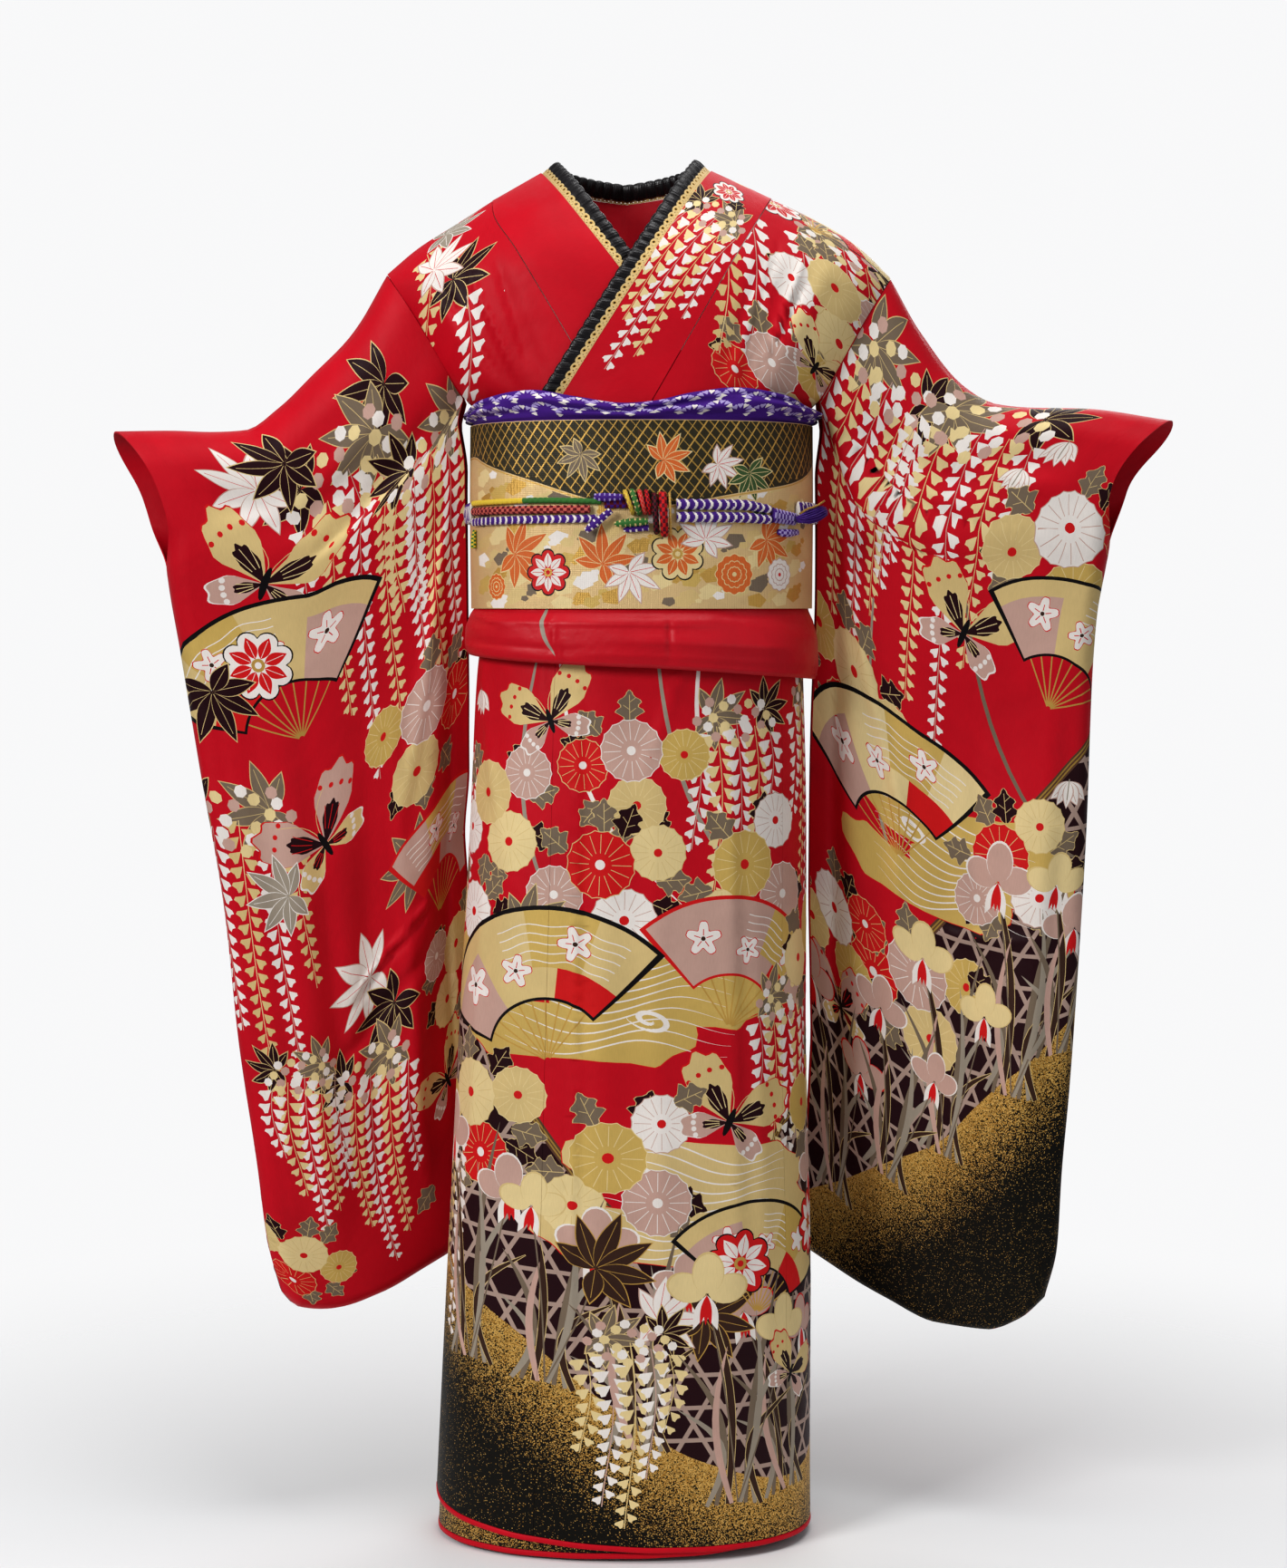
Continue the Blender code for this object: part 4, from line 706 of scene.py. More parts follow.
# Flat cuts. A quarter turn over a ridge or round an edge takes this much cloth, in mm.
CHEST_ARC, BLADE_ARC = 206.0, 171.0
ARM_ARC = 66.0
EDGE_ARC, BOTTOM_ARC = 26.0, 22.0
SKIRT_DOWN = 950.0
SLEEVE_ACROSS = EDGE_ROUND * SLEEVE_WIDTH + EDGE_ARC
SLEEVE_DOWN = ARM_ARC + (BOTTOM_ROUND - ARM_ARCH) * SLEEVE_LENGTH + BOTTOM_ARC
CUFF_DOWN = ARM_ARC + (CUFF_END - ARM_ARCH) * SLEEVE_LENGTH
COLLAR_FLAT = 90.0
OBI_HIGH = 186.0
OBI_TOP = -262

# Dyes: linear red, green and blue, then 1 where the colour is gold leaf or gold thread.
DYES = {
    "crimson": (0.54, 0.004, 0.017, 0), "scarlet": (0.62, 0.012, 0.014, 0),
    "night": (0.022, 0.003, 0.006, 0), "lattice": (0.42, 0.3, 0.25, 0),
    "cane": (0.12, 0.055, 0.03, 0), "black": (0.006, 0.004, 0.005, 0),
    "white": (0.83, 0.77, 0.72, 0), "cream": (0.69, 0.52, 0.24, 0.1), "yellow": (0.62, 0.43, 0.13, 0.15),
    "butter": (0.78, 0.62, 0.32, 0.1), "pink": (0.56, 0.36, 0.3, 0), "ash": (0.2, 0.15, 0.105, 0),
    "mist": (0.34, 0.29, 0.23, 0), "bark": (0.05, 0.022, 0.014, 0), "gold": (0.62, 0.38, 0.1, 0.6),
    "pale_gold": (0.72, 0.53, 0.24, 0.35), "old_gold": (0.4, 0.25, 0.06, 0.5),
    "ivory": (0.7, 0.5, 0.25, 0.3), "orange": (0.66, 0.15, 0.03, 0), "moss": (0.05, 0.1, 0.03, 0),
    "olive": (0.035, 0.028, 0.012, 0.1), "violet": (0.072, 0.018, 0.23, 0),
    "lavender": (0.44, 0.36, 0.66, 0), "maroon": (0.13, 0.006, 0.016, 0),
    "salmon": (0.6, 0.13, 0.1, 0), "leaf_green": (0.05, 0.18, 0.04, 0), "lemon": (0.78, 0.56, 0.06, 0),
    "hill": (0.006, 0.005, 0.003, 0), "hole": (0.0, 0.0, 0.0, 0),
}
DYE_NAMES = list(DYES)
# Flowers and leaves: body, outline and centre or vein.
TONES = {
    "cream": ("cream", "butter", "scarlet"), "yellow": ("yellow", "butter", "scarlet"),
    "pink": ("pink", "white", "white"), "white": ("white", "pink", "scarlet"),
    "red": ("scarlet", "cream", "white"), "pale": ("butter", "cream", "scarlet"),
    "dark": ("night", "cream", "cream"), "ash": ("ash", "cream", "cream"),
    "mist": ("mist", "white", "white"), "bark": ("bark", "gold", "gold"),
    "blush": ("pink", "scarlet", "scarlet"), "rust": ("orange", "butter", "butter"),
    "moss": ("moss", "butter", "butter"),
}
EDGE_LINE, FINE_LINE = 0.9, 0.7


def polar(angle, radius, centre=(0.0, 0.0)):
    """Points at angles and distances from a centre."""
    return np.stack([centre[0] + radius * np.cos(angle), centre[1] + radius * np.sin(angle)], -1)


def disc(radius, centre=(0.0, 0.0), sides=12):
    return polar(full_turn(sides), radius, centre)


def stroke(path, width):
    """A ribbon along a path: each point moved to both sides by half the width at that point."""
    path = np.asarray(path, float)
    forward = unit(np.gradient(path, axis=0), 1e-9)
    half = np.maximum(np.broadcast_to(width, len(path)), 0.25)[:, None] / 2
    side = np.stack([-forward[:, 1], forward[:, 0]], -1) * half
    return np.concatenate([path + side, (path - side)[::-1]])


def spoke(turn, near, far, width):
    """A straight line outwards, between two distances from a motif's middle."""
    return stroke(polar(np.full(2, turn), np.array([near, far])), width)


def rimmed(angle, rim, dye, edge_dye, edge=EDGE_LINE):
    """A shape from its distances round a middle, over a wider one that shows as its outline."""
    return [(polar(angle, rim + edge), edge_dye), (polar(angle, rim), dye)]


def bend_path(start, end, bow, count=9):
    """A path between two places that bows sideways as half a sine wave."""
    share = np.linspace(0, 1, count)
    start, end = np.array(start, float), np.array(end, float)
    run = end - start
    side = np.array([-run[1], run[0]]) / (np.linalg.norm(run) + 1e-9)
    return start + run * share[:, None] + side * (bow * np.sin(math.pi * share))[:, None]


def turned(shapes, turn, across=0.0, down=0.0):
    c, s = math.cos(turn), math.sin(turn)
    matrix = np.array([[c, s], [-s, c]])
    return [(points @ matrix + (across, down), tone) for points, tone in shapes]


def chrysanthemum(size, tone):
    """A round flower: a rim of half waves, a fine line between petals and a small centre."""
    body, line, eye = TONES[tone]
    petals = 16
    angle = full_turn(petals * 3)
    rim = size * (0.91 + 0.09 * np.abs(np.cos(petals / 2 * angle)))
    shapes = rimmed(angle, rim, body, line)
    for turn in (np.arange(petals) + 0.5) * 2 * math.pi / petals:
        shapes.append((spoke(turn, size * 0.34, size * 0.9, FINE_LINE * size / 34), line))
    shapes.append((disc(size * 0.15), eye))
    return shapes


def layered_flower(size, tone):
    """A flower of two rims of petals, the inner one turned by half a petal."""
    body, line, eye = TONES[tone]
    angle = full_turn(60)
    shapes = []
    for share, shift in ((1.0, 0.0), (0.66, math.pi / 12), (0.36, 0.0)):
        rim = size * share * (0.88 + 0.12 * np.abs(np.cos(6 * (angle + shift))))
        shapes += rimmed(angle, rim, body, line)
    shapes.append((disc(size * 0.12), eye))
    return shapes


def lobed_leaf(size, tone):
    """A leaf whose half width is a sine with three lobes, with a middle vein and side veins."""
    body, line, vein = TONES[tone]
    along = np.linspace(0.02, 1, 14)
    half = 0.36 * np.sin(math.pi * along ** 0.8) * (1 + 0.3 * np.cos(6 * math.pi * along))
    shapes = []
    for grow, colour in ((EDGE_LINE, line), (0.0, body)):
        side = np.stack([along * size, half * size + grow], -1)
        shapes.append((np.concatenate([side, (side * (1, -1))[::-1]]), colour))
    shapes.append((stroke([(0, 0), (size * 0.85, 0)], FINE_LINE), vein))
    for share, sign in ((0.3, 1), (0.4, -1), (0.62, 1)):
        ends = [(size * share, 0), (size * (share + 0.14), sign * size * 0.2)]
        shapes.append((stroke(ends, FINE_LINE * 0.8), vein))
    return shapes


def lance_leaf(length, width, body, vein):
    """A pointed leaf: half width is a sine of the length, with a middle vein."""
    along = np.linspace(0, 1, 11)
    half = width / 2 * np.sin(math.pi * along ** 0.85)
    side = np.stack([along * length, half], -1)
    shape = np.concatenate([side, (side * (1, -1))[-2:0:-1]])
    middle = stroke([(length * 0.05, 0), (length * 0.85, 0)], FINE_LINE * 0.8)
    return [(shape, body), (middle, vein)]


def leaf_spray(size, tone):
    """Seven pointed leaves that fan out from one stalk."""
    body, line, vein = TONES[tone]
    leaves = ((-2.4, 0.7), (-1.7, 0.9), (-1.0, 1.0), (-0.3, 0.95), (0.4, 0.9), (1.1, 0.8), (1.9, 0.6))
    shapes = []
    for turn, share in leaves:
        shapes += turned(lance_leaf(size * share + 2, size * 0.3 + 1.6, line, line), turn)
        shapes += turned(lance_leaf(size * share, size * 0.3, body, vein), turn)
    return shapes


WISTERIA_DROP = np.array([(0.06, 0), (0.4, -0.2), (0.78, -0.4), (1.02, -0.3), (0.92, 0), (1.02, 0.3),
                          (0.78, 0.4), (0.4, 0.2)])
DROP_STEP = 7.2


def wisteria(length, tone):
    """A hanging strand: notched drops on alternate sides that shrink towards its tip, on a thin stalk."""
    body, line, _ = TONES[tone]
    y = np.linspace(0, length, 12)
    shapes = [(stroke(np.stack([5 * np.sin(y / length * 4.2), y], -1), 0.9), line)]
    for k in range(int(length / DROP_STEP)):
        share = k * DROP_STEP / length
        size, sign, at = 16.0 - 6.5 * share, (1, -1)[k % 2], length * share ** 0.96
        turn = math.pi / 2 - sign * (0.95 - 0.35 * share)
        across = 5 * math.sin(at / length * 4.2) + sign * 0.8
        shapes += turned([(WISTERIA_DROP * size, body)], turn, across, at)
    return shapes


def wing(low, high, size, lobes):
    """A wing: distance from the body swells and falls over its range of angles, with a wavy rim."""
    share = np.linspace(0, 1, 22)
    swell = 0.5 + 0.5 * np.sin(math.pi * share) ** 0.7
    reach = size * swell * (1 + 0.045 * np.cos(2 * math.pi * lobes * share))
    rim = polar(low + (high - low) * share, reach)
    return np.concatenate([[(0.0, 0.0)], rim])


def butterfly(size, tone):
    """Four wings with wavy outlined rims, dots along them, a slim body and curled feelers."""
    body, line, _ = TONES[tone]
    shapes = []
    for sign in (1, -1):
        parts = ((-1.25, -0.2, 1.0, 4, body), (0.0, 0.95, 0.62, 3, "pink" if body != "pink" else "cream"))
        for low, high, share, lobes, colour in parts:
            reach, mark = size * share, "scarlet" if colour == body else "white"
            shapes.append((wing(low, high, reach + 2.2, lobes) * (sign, 1), mark))
            shapes.append((wing(low, high, reach, lobes) * (sign, 1), colour))
            shapes.append((wing(low + 0.16, high - 0.16, reach * 0.55, lobes) * (sign, 1), "night"))
            for vein in np.linspace(low + 0.3, high - 0.3, 3):
                shapes.append((spoke(vein, reach * 0.2, reach * 0.5, 0.8) * (sign, 1), line))
            for turn in np.linspace(low + 0.2, high - 0.2, 4):
                dot = disc(size * 0.035, polar(turn, reach * 0.74), 8)
                shapes.append((dot * (sign, 1), mark))
        feeler = bend_path((0, -2), (size * 0.42, -size * 0.62), -size * 0.12)
        shapes.append((stroke(feeler, np.linspace(1.0, 0.5, 9)) * (sign, 1), "cream"))
    shapes.append((disc(1) * size * (0.045, 0.2), "black"))
    return shapes


def folding_fan(size, tone):
    """An open fan: a ring sector with outlined bands, wave lines, small blossoms and thin ribs."""
    body = TONES[tone][0]
    frame_dye = "black" if tone in ("cream", "pale") else "scarlet"
    low, high = -math.pi / 2 - 1.05, -math.pi / 2 + 1.05

    def sector(near, far, start=0.0, end=1.0):
        count = max(4, int(26 * (end - start)))
        turns = np.linspace(low + (high - low) * start, low + (high - low) * end, count)
        return np.concatenate([polar(turns, size * far), polar(turns[::-1], size * near)])

    shapes = []
    for share in np.linspace(0.06, 0.94, 9):
        turn = low + (high - low) * share
        shapes.append((spoke(turn, size * 0.02, size * 0.44, 1.5), "gold"))
    shapes.append((sector(0.4, 1.03, -0.02, 1.02), frame_dye))
    shapes.append((sector(0.42, 1.0), body))
    shapes.append((sector(0.42, 0.86, 0.0, 0.3), "pink"))
    shapes.append((sector(0.62, 1.0, 0.55, 0.8), "yellow"))
    shapes.append((sector(0.42, 0.62, 0.68, 1.0), "scarlet"))
    for far in (0.9, 0.84, 0.78, 0.72, 0.66):
        turns = np.linspace(low + 0.9, high - 0.15, 20)
        wave = size * (far + 0.012 * np.sin(turns * 16))
        shapes.append((stroke(polar(turns, wave), 1.0), "white"))
    for share, far, part in ((0.2, 0.72, 0.15), (0.46, 0.62, 0.12), (0.74, 0.8, 0.13)):
        at = polar(low + (high - low) * share, size * far)
        shapes += turned(blossom(size * part, "white"), share * 3, *at)
    return shapes


def blossom(size, tone):
    """Five notched petals round a dark eye, each with a red rim."""
    body, _, eye = TONES[tone]
    angle = full_turn(60)
    beat = np.cos(5 * angle)
    rim = size * (0.72 + 0.25 * beat - 0.16 * np.maximum(beat - 0.75, 0) * 4 * 0.5)
    shapes = rimmed(angle, rim, body, eye, 1.0)
    for turn in np.arange(5) * 2 * math.pi / 5:
        shapes.append((spoke(turn, size * 0.16, size * 0.5, 0.9), eye))
    shapes.append((disc(size * 0.12), "bark"))
    return shapes


def iris_flower(size, tone):
    """Three falling petals, two standing ones and a red flame."""
    body, line, _ = TONES[tone]
    shapes = []
    for turn, share in ((0.35, 0.95), (math.pi - 0.35, 0.95), (math.pi / 2, 1.0)):
        petal = (disc(1, sides=18) * (0.46, 0.34) + (0.5, 0)) * size * share
        shapes += turned([(petal * 1.06, line), (petal, body)], -turn)
    standing = ((-1.9, "white"), (-1.25, "white"), (-1.57, "scarlet"), (-1.75, "scarlet"),
                (-1.4, "scarlet"))
    for turn, dye in standing:
        long = size * (0.85 if dye == "white" else 0.7)
        wide = size * (0.26 if dye == "white" else 0.13)
        shapes += turned(lance_leaf(long, wide, dye, dye), -turn)
    return shapes


def iris_clump(size, tone):
    """Sword leaves that rise from one foot, and two flowers among them."""
    shapes = []
    rows = ((-0.42, 0.72, 16, "ash"), (0.36, 0.8, -18, "mist"), (-0.2, 0.95, 9, "bark"),
            (0.16, 1.05, -7, "ash"), (0.5, 0.55, -22, "bark"), (-0.6, 0.5, 20, "mist"),
            (0.05, 0.85, 8, "mist"), (-0.12, 0.7, -9, "pink"))
    for lean, share, bow, dye in rows:
        tip = (math.sin(lean) * size * share, -math.cos(lean) * size * share)
        path = bend_path((lean * 52, 6 * abs(lean)), tip, bow * size / 150, 12)
        width = 7.0 * np.sin(np.linspace(0.5, math.pi, 12)) ** 0.7
        if dye == "bark":
            shapes.append((stroke(path, width + 1.3), "cream"))
        shapes.append((stroke(path, width), dye))
    for across, up, part in ((-0.18, 0.92, 0.19), (0.2, 0.74, 0.17)):
        foot = bend_path((0, 0), (across * size, -up * size), 3)
        shapes.append((stroke(foot, 1.6), "ash"))
        shapes += turned(iris_flower(size * part, tone), 0, across * size, -up * size)
    return shapes


def water_swirl(size, tone):
    """Bundles of thin lines that run sideways and curl into a spiral at one end."""
    shapes = []
    for k in range(6):
        turn = np.linspace(0, 2.4 * math.pi, 34)
        spiral = polar(turn + 0.3 * k, size * (0.1 + 0.05 * k + 0.055 * turn))
        width = 0.5 + 0.9 * np.sin(np.linspace(0, math.pi, 34))
        shapes.append((stroke(spiral * (1.25, 0.62), width), tone))
    for k in range(7):
        x = np.linspace(-1.9, 2.1, 30) * size
        y = size * (0.5 + 0.085 * k) + size * 0.16 * np.sin(x / size * 2.2 + 0.25 * k)
        shapes.append((stroke(np.stack([x, y], -1), 1.3 * np.sin(np.linspace(0.1, math.pi, 30))), tone))
    return shapes


def bud(size, tone):
    """A half open flower: five pointed petals that stand up from a small cup."""
    body, line, _ = TONES[tone]
    shapes = []
    for turn in (-2.35, -0.8, -2.0, -1.15, -1.57):
        shapes += turned(lance_leaf(size * 1.04, size * 0.46, line, line), -turn)
        shapes += turned(lance_leaf(size, size * 0.38, body, line), -turn)
    shapes.append((stroke([(0, -2), (0, size * 0.7)], 1.3), "mist"))
    return shapes


def reed(size, tone):
    """One long bowed grass blade."""
    body = TONES[tone][0]
    width = 4.5 * np.sin(np.linspace(0.3, math.pi, 14)) ** 0.5
    return [(stroke(bend_path((0, 0), (size * 0.35, size), size * 0.12, 14), width), body)]


FLOWER_TONES = ("cream", "pink", "yellow", "white", "red", "pale")


def bouquet(size, tone):
    """Four round flowers that overlap, in tones that follow each other, over a ring of leaves."""
    start = FLOWER_TONES.index(tone)
    shapes = []
    for k in range(8):
        turn = 0.4 + k * math.pi / 4 + 0.25 * math.sin(k * 2.2 + start)
        at = polar(turn, size * 1.45, (0.25 * size, 0.5 * size))
        shapes += turned(lobed_leaf(size * 1.05, ("dark", "ash", "ash")[k % 3]), turn, *at)
    rows = ((1.55, -0.7, 0.82), (-1.15, 1.2, 0.86), (1.0, 1.45, 0.94), (0.0, 0.0, 1.0))
    for k, (across, down, part) in enumerate(rows):
        flower = chrysanthemum(size * part, FLOWER_TONES[(start + 2 * k + 1) % 6 if k < 3 else start])
        shapes += turned(flower, 0.4 * k, across * size, down * size)
    return shapes


def wisteria_bunch(size, tone):
    """Five strands of unequal length that hang from a cluster of petals and two sprays of leaves."""
    other = "white" if tone != "white" else "pale"
    shapes = turned(leaf_spray(size * 0.2, "ash"), 0.4, -size * 0.12, -size * 0.02)
    shapes += turned(leaf_spray(size * 0.17, "dark"), 0.1, size * 0.16, -size * 0.05)
    strands = ((-0.2, 0.55, tone), (-0.1, 0.86, other), (0.0, 1.0, tone), (0.1, 0.7, other),
               (0.19, 0.42, tone))
    for across, share, dye in strands:
        shapes += turned(wisteria(size * share, dye), 0.0, across * size, abs(across) * size * 0.3)
    for k in range(22):
        turn, out = k * 2.4, 0.03 + 0.024 * math.sqrt(k)
        at = np.array([math.cos(turn) * 1.5, math.sin(turn) * 0.8]) * out * size
        shapes.append((disc(size * 0.019 + 1.2, at, 7), ("white", "butter", "pink")[k % 3]))
    return shapes


def cloud_patch(across, down, wide, high):
    """A squarish patch with rounded, uneven sides, as mist is drawn in old brocades."""
    turn = full_turn(40)
    x = np.sign(np.cos(turn)) * np.abs(np.cos(turn)) ** 0.4 * wide * (1 + 0.08 * np.cos(4 * turn))
    y = np.sign(np.sin(turn)) * np.abs(np.sin(turn)) ** 0.55 * high * (1 + 0.12 * np.cos(6 * turn))
    return np.stack([across + x, down + y], -1)


def mist_bank(size, tone):
    """Three drifts of golden mist, with bundles of thin flowing lines on them."""
    shapes = []
    for grow, dye in ((1, "scarlet"), (0, TONES[tone][0])):
        for across, down, wide in ((0.0, 0.0, 1.0), (0.4, 0.34, 0.8), (-0.3, 0.62, 0.9)):
            patch = cloud_patch(across * size, down * size, wide * size + grow, 0.24 * size + grow)
            shapes.append((patch, dye))
    for k in range(11):
        x = np.linspace(-0.85, 0.95, 30) * size * (1 - 0.03 * (k % 4))
        y = size * (-0.12 + 0.085 * k) + size * 0.07 * np.sin(x / size * 5.0 + 0.35 * k)
        shapes.append((stroke(np.stack([x, y], -1), 1.5 * np.sin(np.linspace(0.1, math.pi, 30))), "white"))
    for across, down in ((-0.45, 0.1), (0.3, 0.5)):
        shapes += turned(water_swirl(size * 0.2, "white")[:6], 0.3, across * size, down * size)
    return shapes


def big_blossom(size, tone):
    """A large round flower: eight broad petals, each with a fine middle line, round a dotted eye."""
    body, _, eye = TONES[tone]
    angle = full_turn(64)
    rim = size * (0.78 + 0.22 * np.abs(np.cos(4 * angle)) ** 0.7)
    shapes = rimmed(angle, rim, eye, "black", 1.6)
    for turn in np.arange(8) * math.pi / 4:
        shapes += turned(lance_leaf(size * 0.68, size * 0.36, body, eye), -turn, *polar(-turn, size * 0.2))
    shapes += [(disc(size * 0.2), "gold"), (disc(size * 0.1), eye)]
    return shapes


MOTIFS = {
    "bouquet": bouquet, "bunch": wisteria_bunch, "drift": mist_bank, "big": big_blossom,
    "mum": chrysanthemum, "layered": layered_flower, "leaf": lobed_leaf, "spray": leaf_spray,
    "wisteria": wisteria, "butterfly": butterfly, "fan": folding_fan,
    "iris": iris_clump, "bud": bud, "reed": reed,
}

# Prints in painting order: motif, across and down the cloth, size, turn and tone.
SKIRT_FRONT = (
    ("reed", 128, 40, 300, 0.2, "mist"), ("reed", 250, 30, 330, -0.1, "mist"),
    ("reed", 300, 20, 240, 0.15, "white"), ("reed", 150, 60, 260, -0.15, "white"),
    ("bud", 44, 92, 26, 0.1, "white"), ("bud", 366, 96, 24, -0.2, "white"),
    ("bunch", 332, 118, 210, 0.0, "white"), ("wisteria", 20, 150, 190, 0.0, "white"),
    ("bouquet", 66, 196, 33, 0.0, "cream"), ("bouquet", 226, 148, 31, 0.5, "pink"),
    ("butterfly", 142, 120, 66, -0.35, "cream"), ("drift", 206, 352, 128, 0.0, "yellow"),
    ("bouquet", 340, 262, 34, -0.4, "yellow"), ("bouquet", 196, 262, 34, 0.2, "red"),
    ("bouquet", 46, 322, 32, 0.9, "white"), ("spray", 118, 330, 52, 0.4, "ash"),
    ("fan", 322, 424, 128, 0.36, "blush"), ("fan", 148, 462, 152, -0.3, "cream"),
    ("bunch", 396, 402, 200, 0.0, "white"), ("drift", 292, 566, 120, 0.1, "cream"),
    ("bouquet", 60, 508, 35, 0.3, "pale"), ("bouquet", 206, 556, 36, -0.2, "yellow"),
    ("butterfly", 322, 520, 76, 0.4, "cream"), ("leaf", 268, 500, 36, -0.4, "ash"),
    ("wisteria", 16, 540, 170, 0.0, "cream"), ("wisteria", 40, 560, 210, 0.0, "white"),
    ("iris", 74, 782, 240, -0.05, "pink"), ("iris", 152, 790, 190, 0.1, "pale"),
    ("iris", 392, 902, 210, -0.1, "blush"), ("iris", 236, 850, 220, 0.0, "pink"),
    ("spray", 196, 668, 60, -0.2, "bark"), ("spray", 296, 716, 56, 0.6, "bark"),
    ("fan", 350, 716, 112, 0.25, "cream"), ("big", 332, 664, 34, 0.2, "white"),
    ("spray", 252, 718, 50, 0.3, "white"), ("bunch", 226, 742, 190, 0.0, "pale"),
    ("iris", 330, 908, 230, 0.05, "pale"), ("butterfly", 396, 786, 50, 0.4, "cream"),
)
SKIRT_BACK = (
    ("reed", 470, 60, 260, 0.1, "mist"), ("bunch", 456, 90, 220, 0.0, "white"),
    ("bouquet", 530, 180, 34, 0.0, "pink"), ("butterfly", 610, 120, 62, -0.3, "cream"),
    ("bouquet", 640, 246, 34, 0.4, "cream"), ("bouquet", 470, 330, 34, 0.2, "yellow"),
    ("drift", 590, 400, 110, 0.0, "yellow"), ("fan", 575, 450, 136, 0.2, "cream"),
    ("bouquet", 660, 380, 31, 0.0, "red"), ("bouquet", 488, 500, 35, 0.6, "pale"),
    ("bunch", 650, 520, 200, 0.0, "pale"), ("butterfly", 560, 580, 60, 0.4, "cream"),
    ("iris", 500, 800, 230, 0.0, "pink"), ("iris", 640, 800, 220, 0.0, "pale"),
    ("spray", 580, 650, 56, 0.1, "bark"), ("big", 450, 640, 34, 0.0, "white"),
)
SLEEVE_PRINT = {
    "left": (
        ("bunch", 58, 84, 300, 0.0, "white"), ("bunch", 168, 60, 330, 0.0, "white"),
        ("bud", 262, 70, 28, 0.0, "white"), ("bud", 232, 104, 24, 0.3, "white"),
        ("reed", 90, 280, 330, 0.1, "mist"), ("reed", 196, 230, 300, -0.2, "ash"),
        ("bouquet", 296, 156, 36, 0.4, "white"), ("butterfly", 196, 268, 78, 0.4, "cream"),
        ("fan", 292, 330, 124, 0.5, "cream"), ("bouquet", 62, 376, 34, 0.8, "pale"),
        ("drift", 190, 470, 110, 0.0, "yellow"), ("fan", 128, 520, 140, -0.28, "pale"),
        ("bouquet", 246, 480, 33, -0.3, "red"), ("bud", 318, 398, 26, 0.1, "white"),
        ("bouquet", 152, 632, 36, 0.3, "pink"), ("bouquet", 40, 640, 31, 0.0, "white"),
        ("leaf", 214, 610, 38, 0.4, "dark"), ("butterfly", 52, 736, 62, -0.3, "blush"),
        ("iris", 276, 722, 230, 0.05, "pink"), ("iris", 196, 806, 210, 0.0, "pale"),
        ("iris", 52, 944, 220, -0.05, "blush"), ("iris", 126, 872, 190, 0.1, "pink"),
        ("iris", 322, 682, 190, 0.12, "pale"),
    ),
    "right": (
        ("spray", 70, 84, 56, 0.5, "dark"), ("bunch", 140, 120, 330, 0.0, "white"),
        ("spray", 232, 92, 58, 0.6, "white"), ("spray", 196, 72, 54, 0.9, "dark"),
        ("bunch", 46, 178, 270, 0.0, "pale"), ("butterfly", 246, 190, 90, -0.35, "cream"),
        ("fan", 226, 356, 146, 0.28, "cream"), ("big", 262, 276, 36, 0.3, "red"),
        ("spray", 312, 300, 56, 2.2, "dark"), ("bunch", 306, 430, 300, 0.0, "cream"),
        ("bouquet", 72, 418, 33, 0.3, "pink"), ("butterfly", 214, 470, 80, 0.5, "blush"),
        ("spray", 264, 512, 50, 0.4, "mist"), ("spray", 96, 566, 54, 0.0, "ash"),
        ("fan", 62, 646, 118, -0.45, "blush"), ("bouquet", 30, 706, 28, 0.0, "cream"),
        ("spray", 170, 640, 60, 0.3, "white"), ("spray", 140, 690, 56, 0.9, "dark"),
        ("bunch", 182, 742, 250, 0.0, "white"), ("bunch", 270, 700, 200, 0.0, "white"),
        ("butterfly", 70, 830, 60, 0.4, "cream"), ("wisteria", 40, 860, 120, 0.0, "white"),
        ("bouquet", 300, 930, 30, 0.2, "pale"), ("leaf", 110, 930, 36, 0.6, "ash"),
    ),
}
BODY_PRINT = {
    "left": (
        ("bunch", 206, 66, 230, 0.0, "white"), ("fan", 176, 66, 92, 0.25, "cream"),
        ("big", 138, 44, 27, 0.3, "red"), ("bouquet", 196, 130, 28, 0.5, "cream"),
        ("wisteria", 112, 92, 170, 0.0, "white"), ("bouquet", 132, 232, 27, 0.2, "pink"),
        ("butterfly", 176, 214, 46, 0.5, "pale"), ("wisteria", 84, 130, 120, 0.0, "cream"),
    ),
    "right": (
        ("spray", -196, 44, 42, 0.4, "mist"), ("wisteria", -214, 66, 120, 0.0, "pale"),
        ("spray", -186, 126, 44, 0.8, "dark"), ("spray", -206, 100, 40, 0.2, "white"),
        ("wisteria", -172, 152, 120, 0.0, "white"),
    ),
}
COLLAR_PRINT = (
    ("bunch", 300, 46, 190, 1.45, "white"), ("leaf", 318, 30, 28, 0.3, "dark"),
    ("big", 350, 52, 22, 0.0, "red"), ("mum", 420, 46, 28, 0.0, "yellow"),
    ("leaf", 452, 30, 26, -0.4, "dark"), ("mum", 510, 40, 26, 0.0, "white"),
)

# Grounds: where crimson gives way to the dark lattice, and the top of the gold dusted hill.
GROUND_COLUMNS = ("across", "down")
SKIRT_SHORE = (
    (0, 380), (60, 410), (120, 500), (190, 590), (250, 640), (330, 600), (400, 520), (480, 500),
    (560, 560), (650, 520), (690, 500), (800, 560), (900, 500), (1050, 540), (1200, 580), (1380, 400),
)
SKIRT_HILL = (
    (0, 676), (60, 706), (130, 746), (200, 800), (290, 862), (390, 890), (470, 862), (560, 790),
    (690, 740), (820, 790), (930, 850), (1060, 880), (1200, 800), (1380, 700),
)
SLEEVE_SHORE = ((0, 742), (60, 716), (120, 640), (190, 548), (250, 462), (300, 402), (346, 356))
SLEEVE_HILL = ((0, 974), (60, 922), (130, 850), (200, 782), (270, 706), (346, 640))
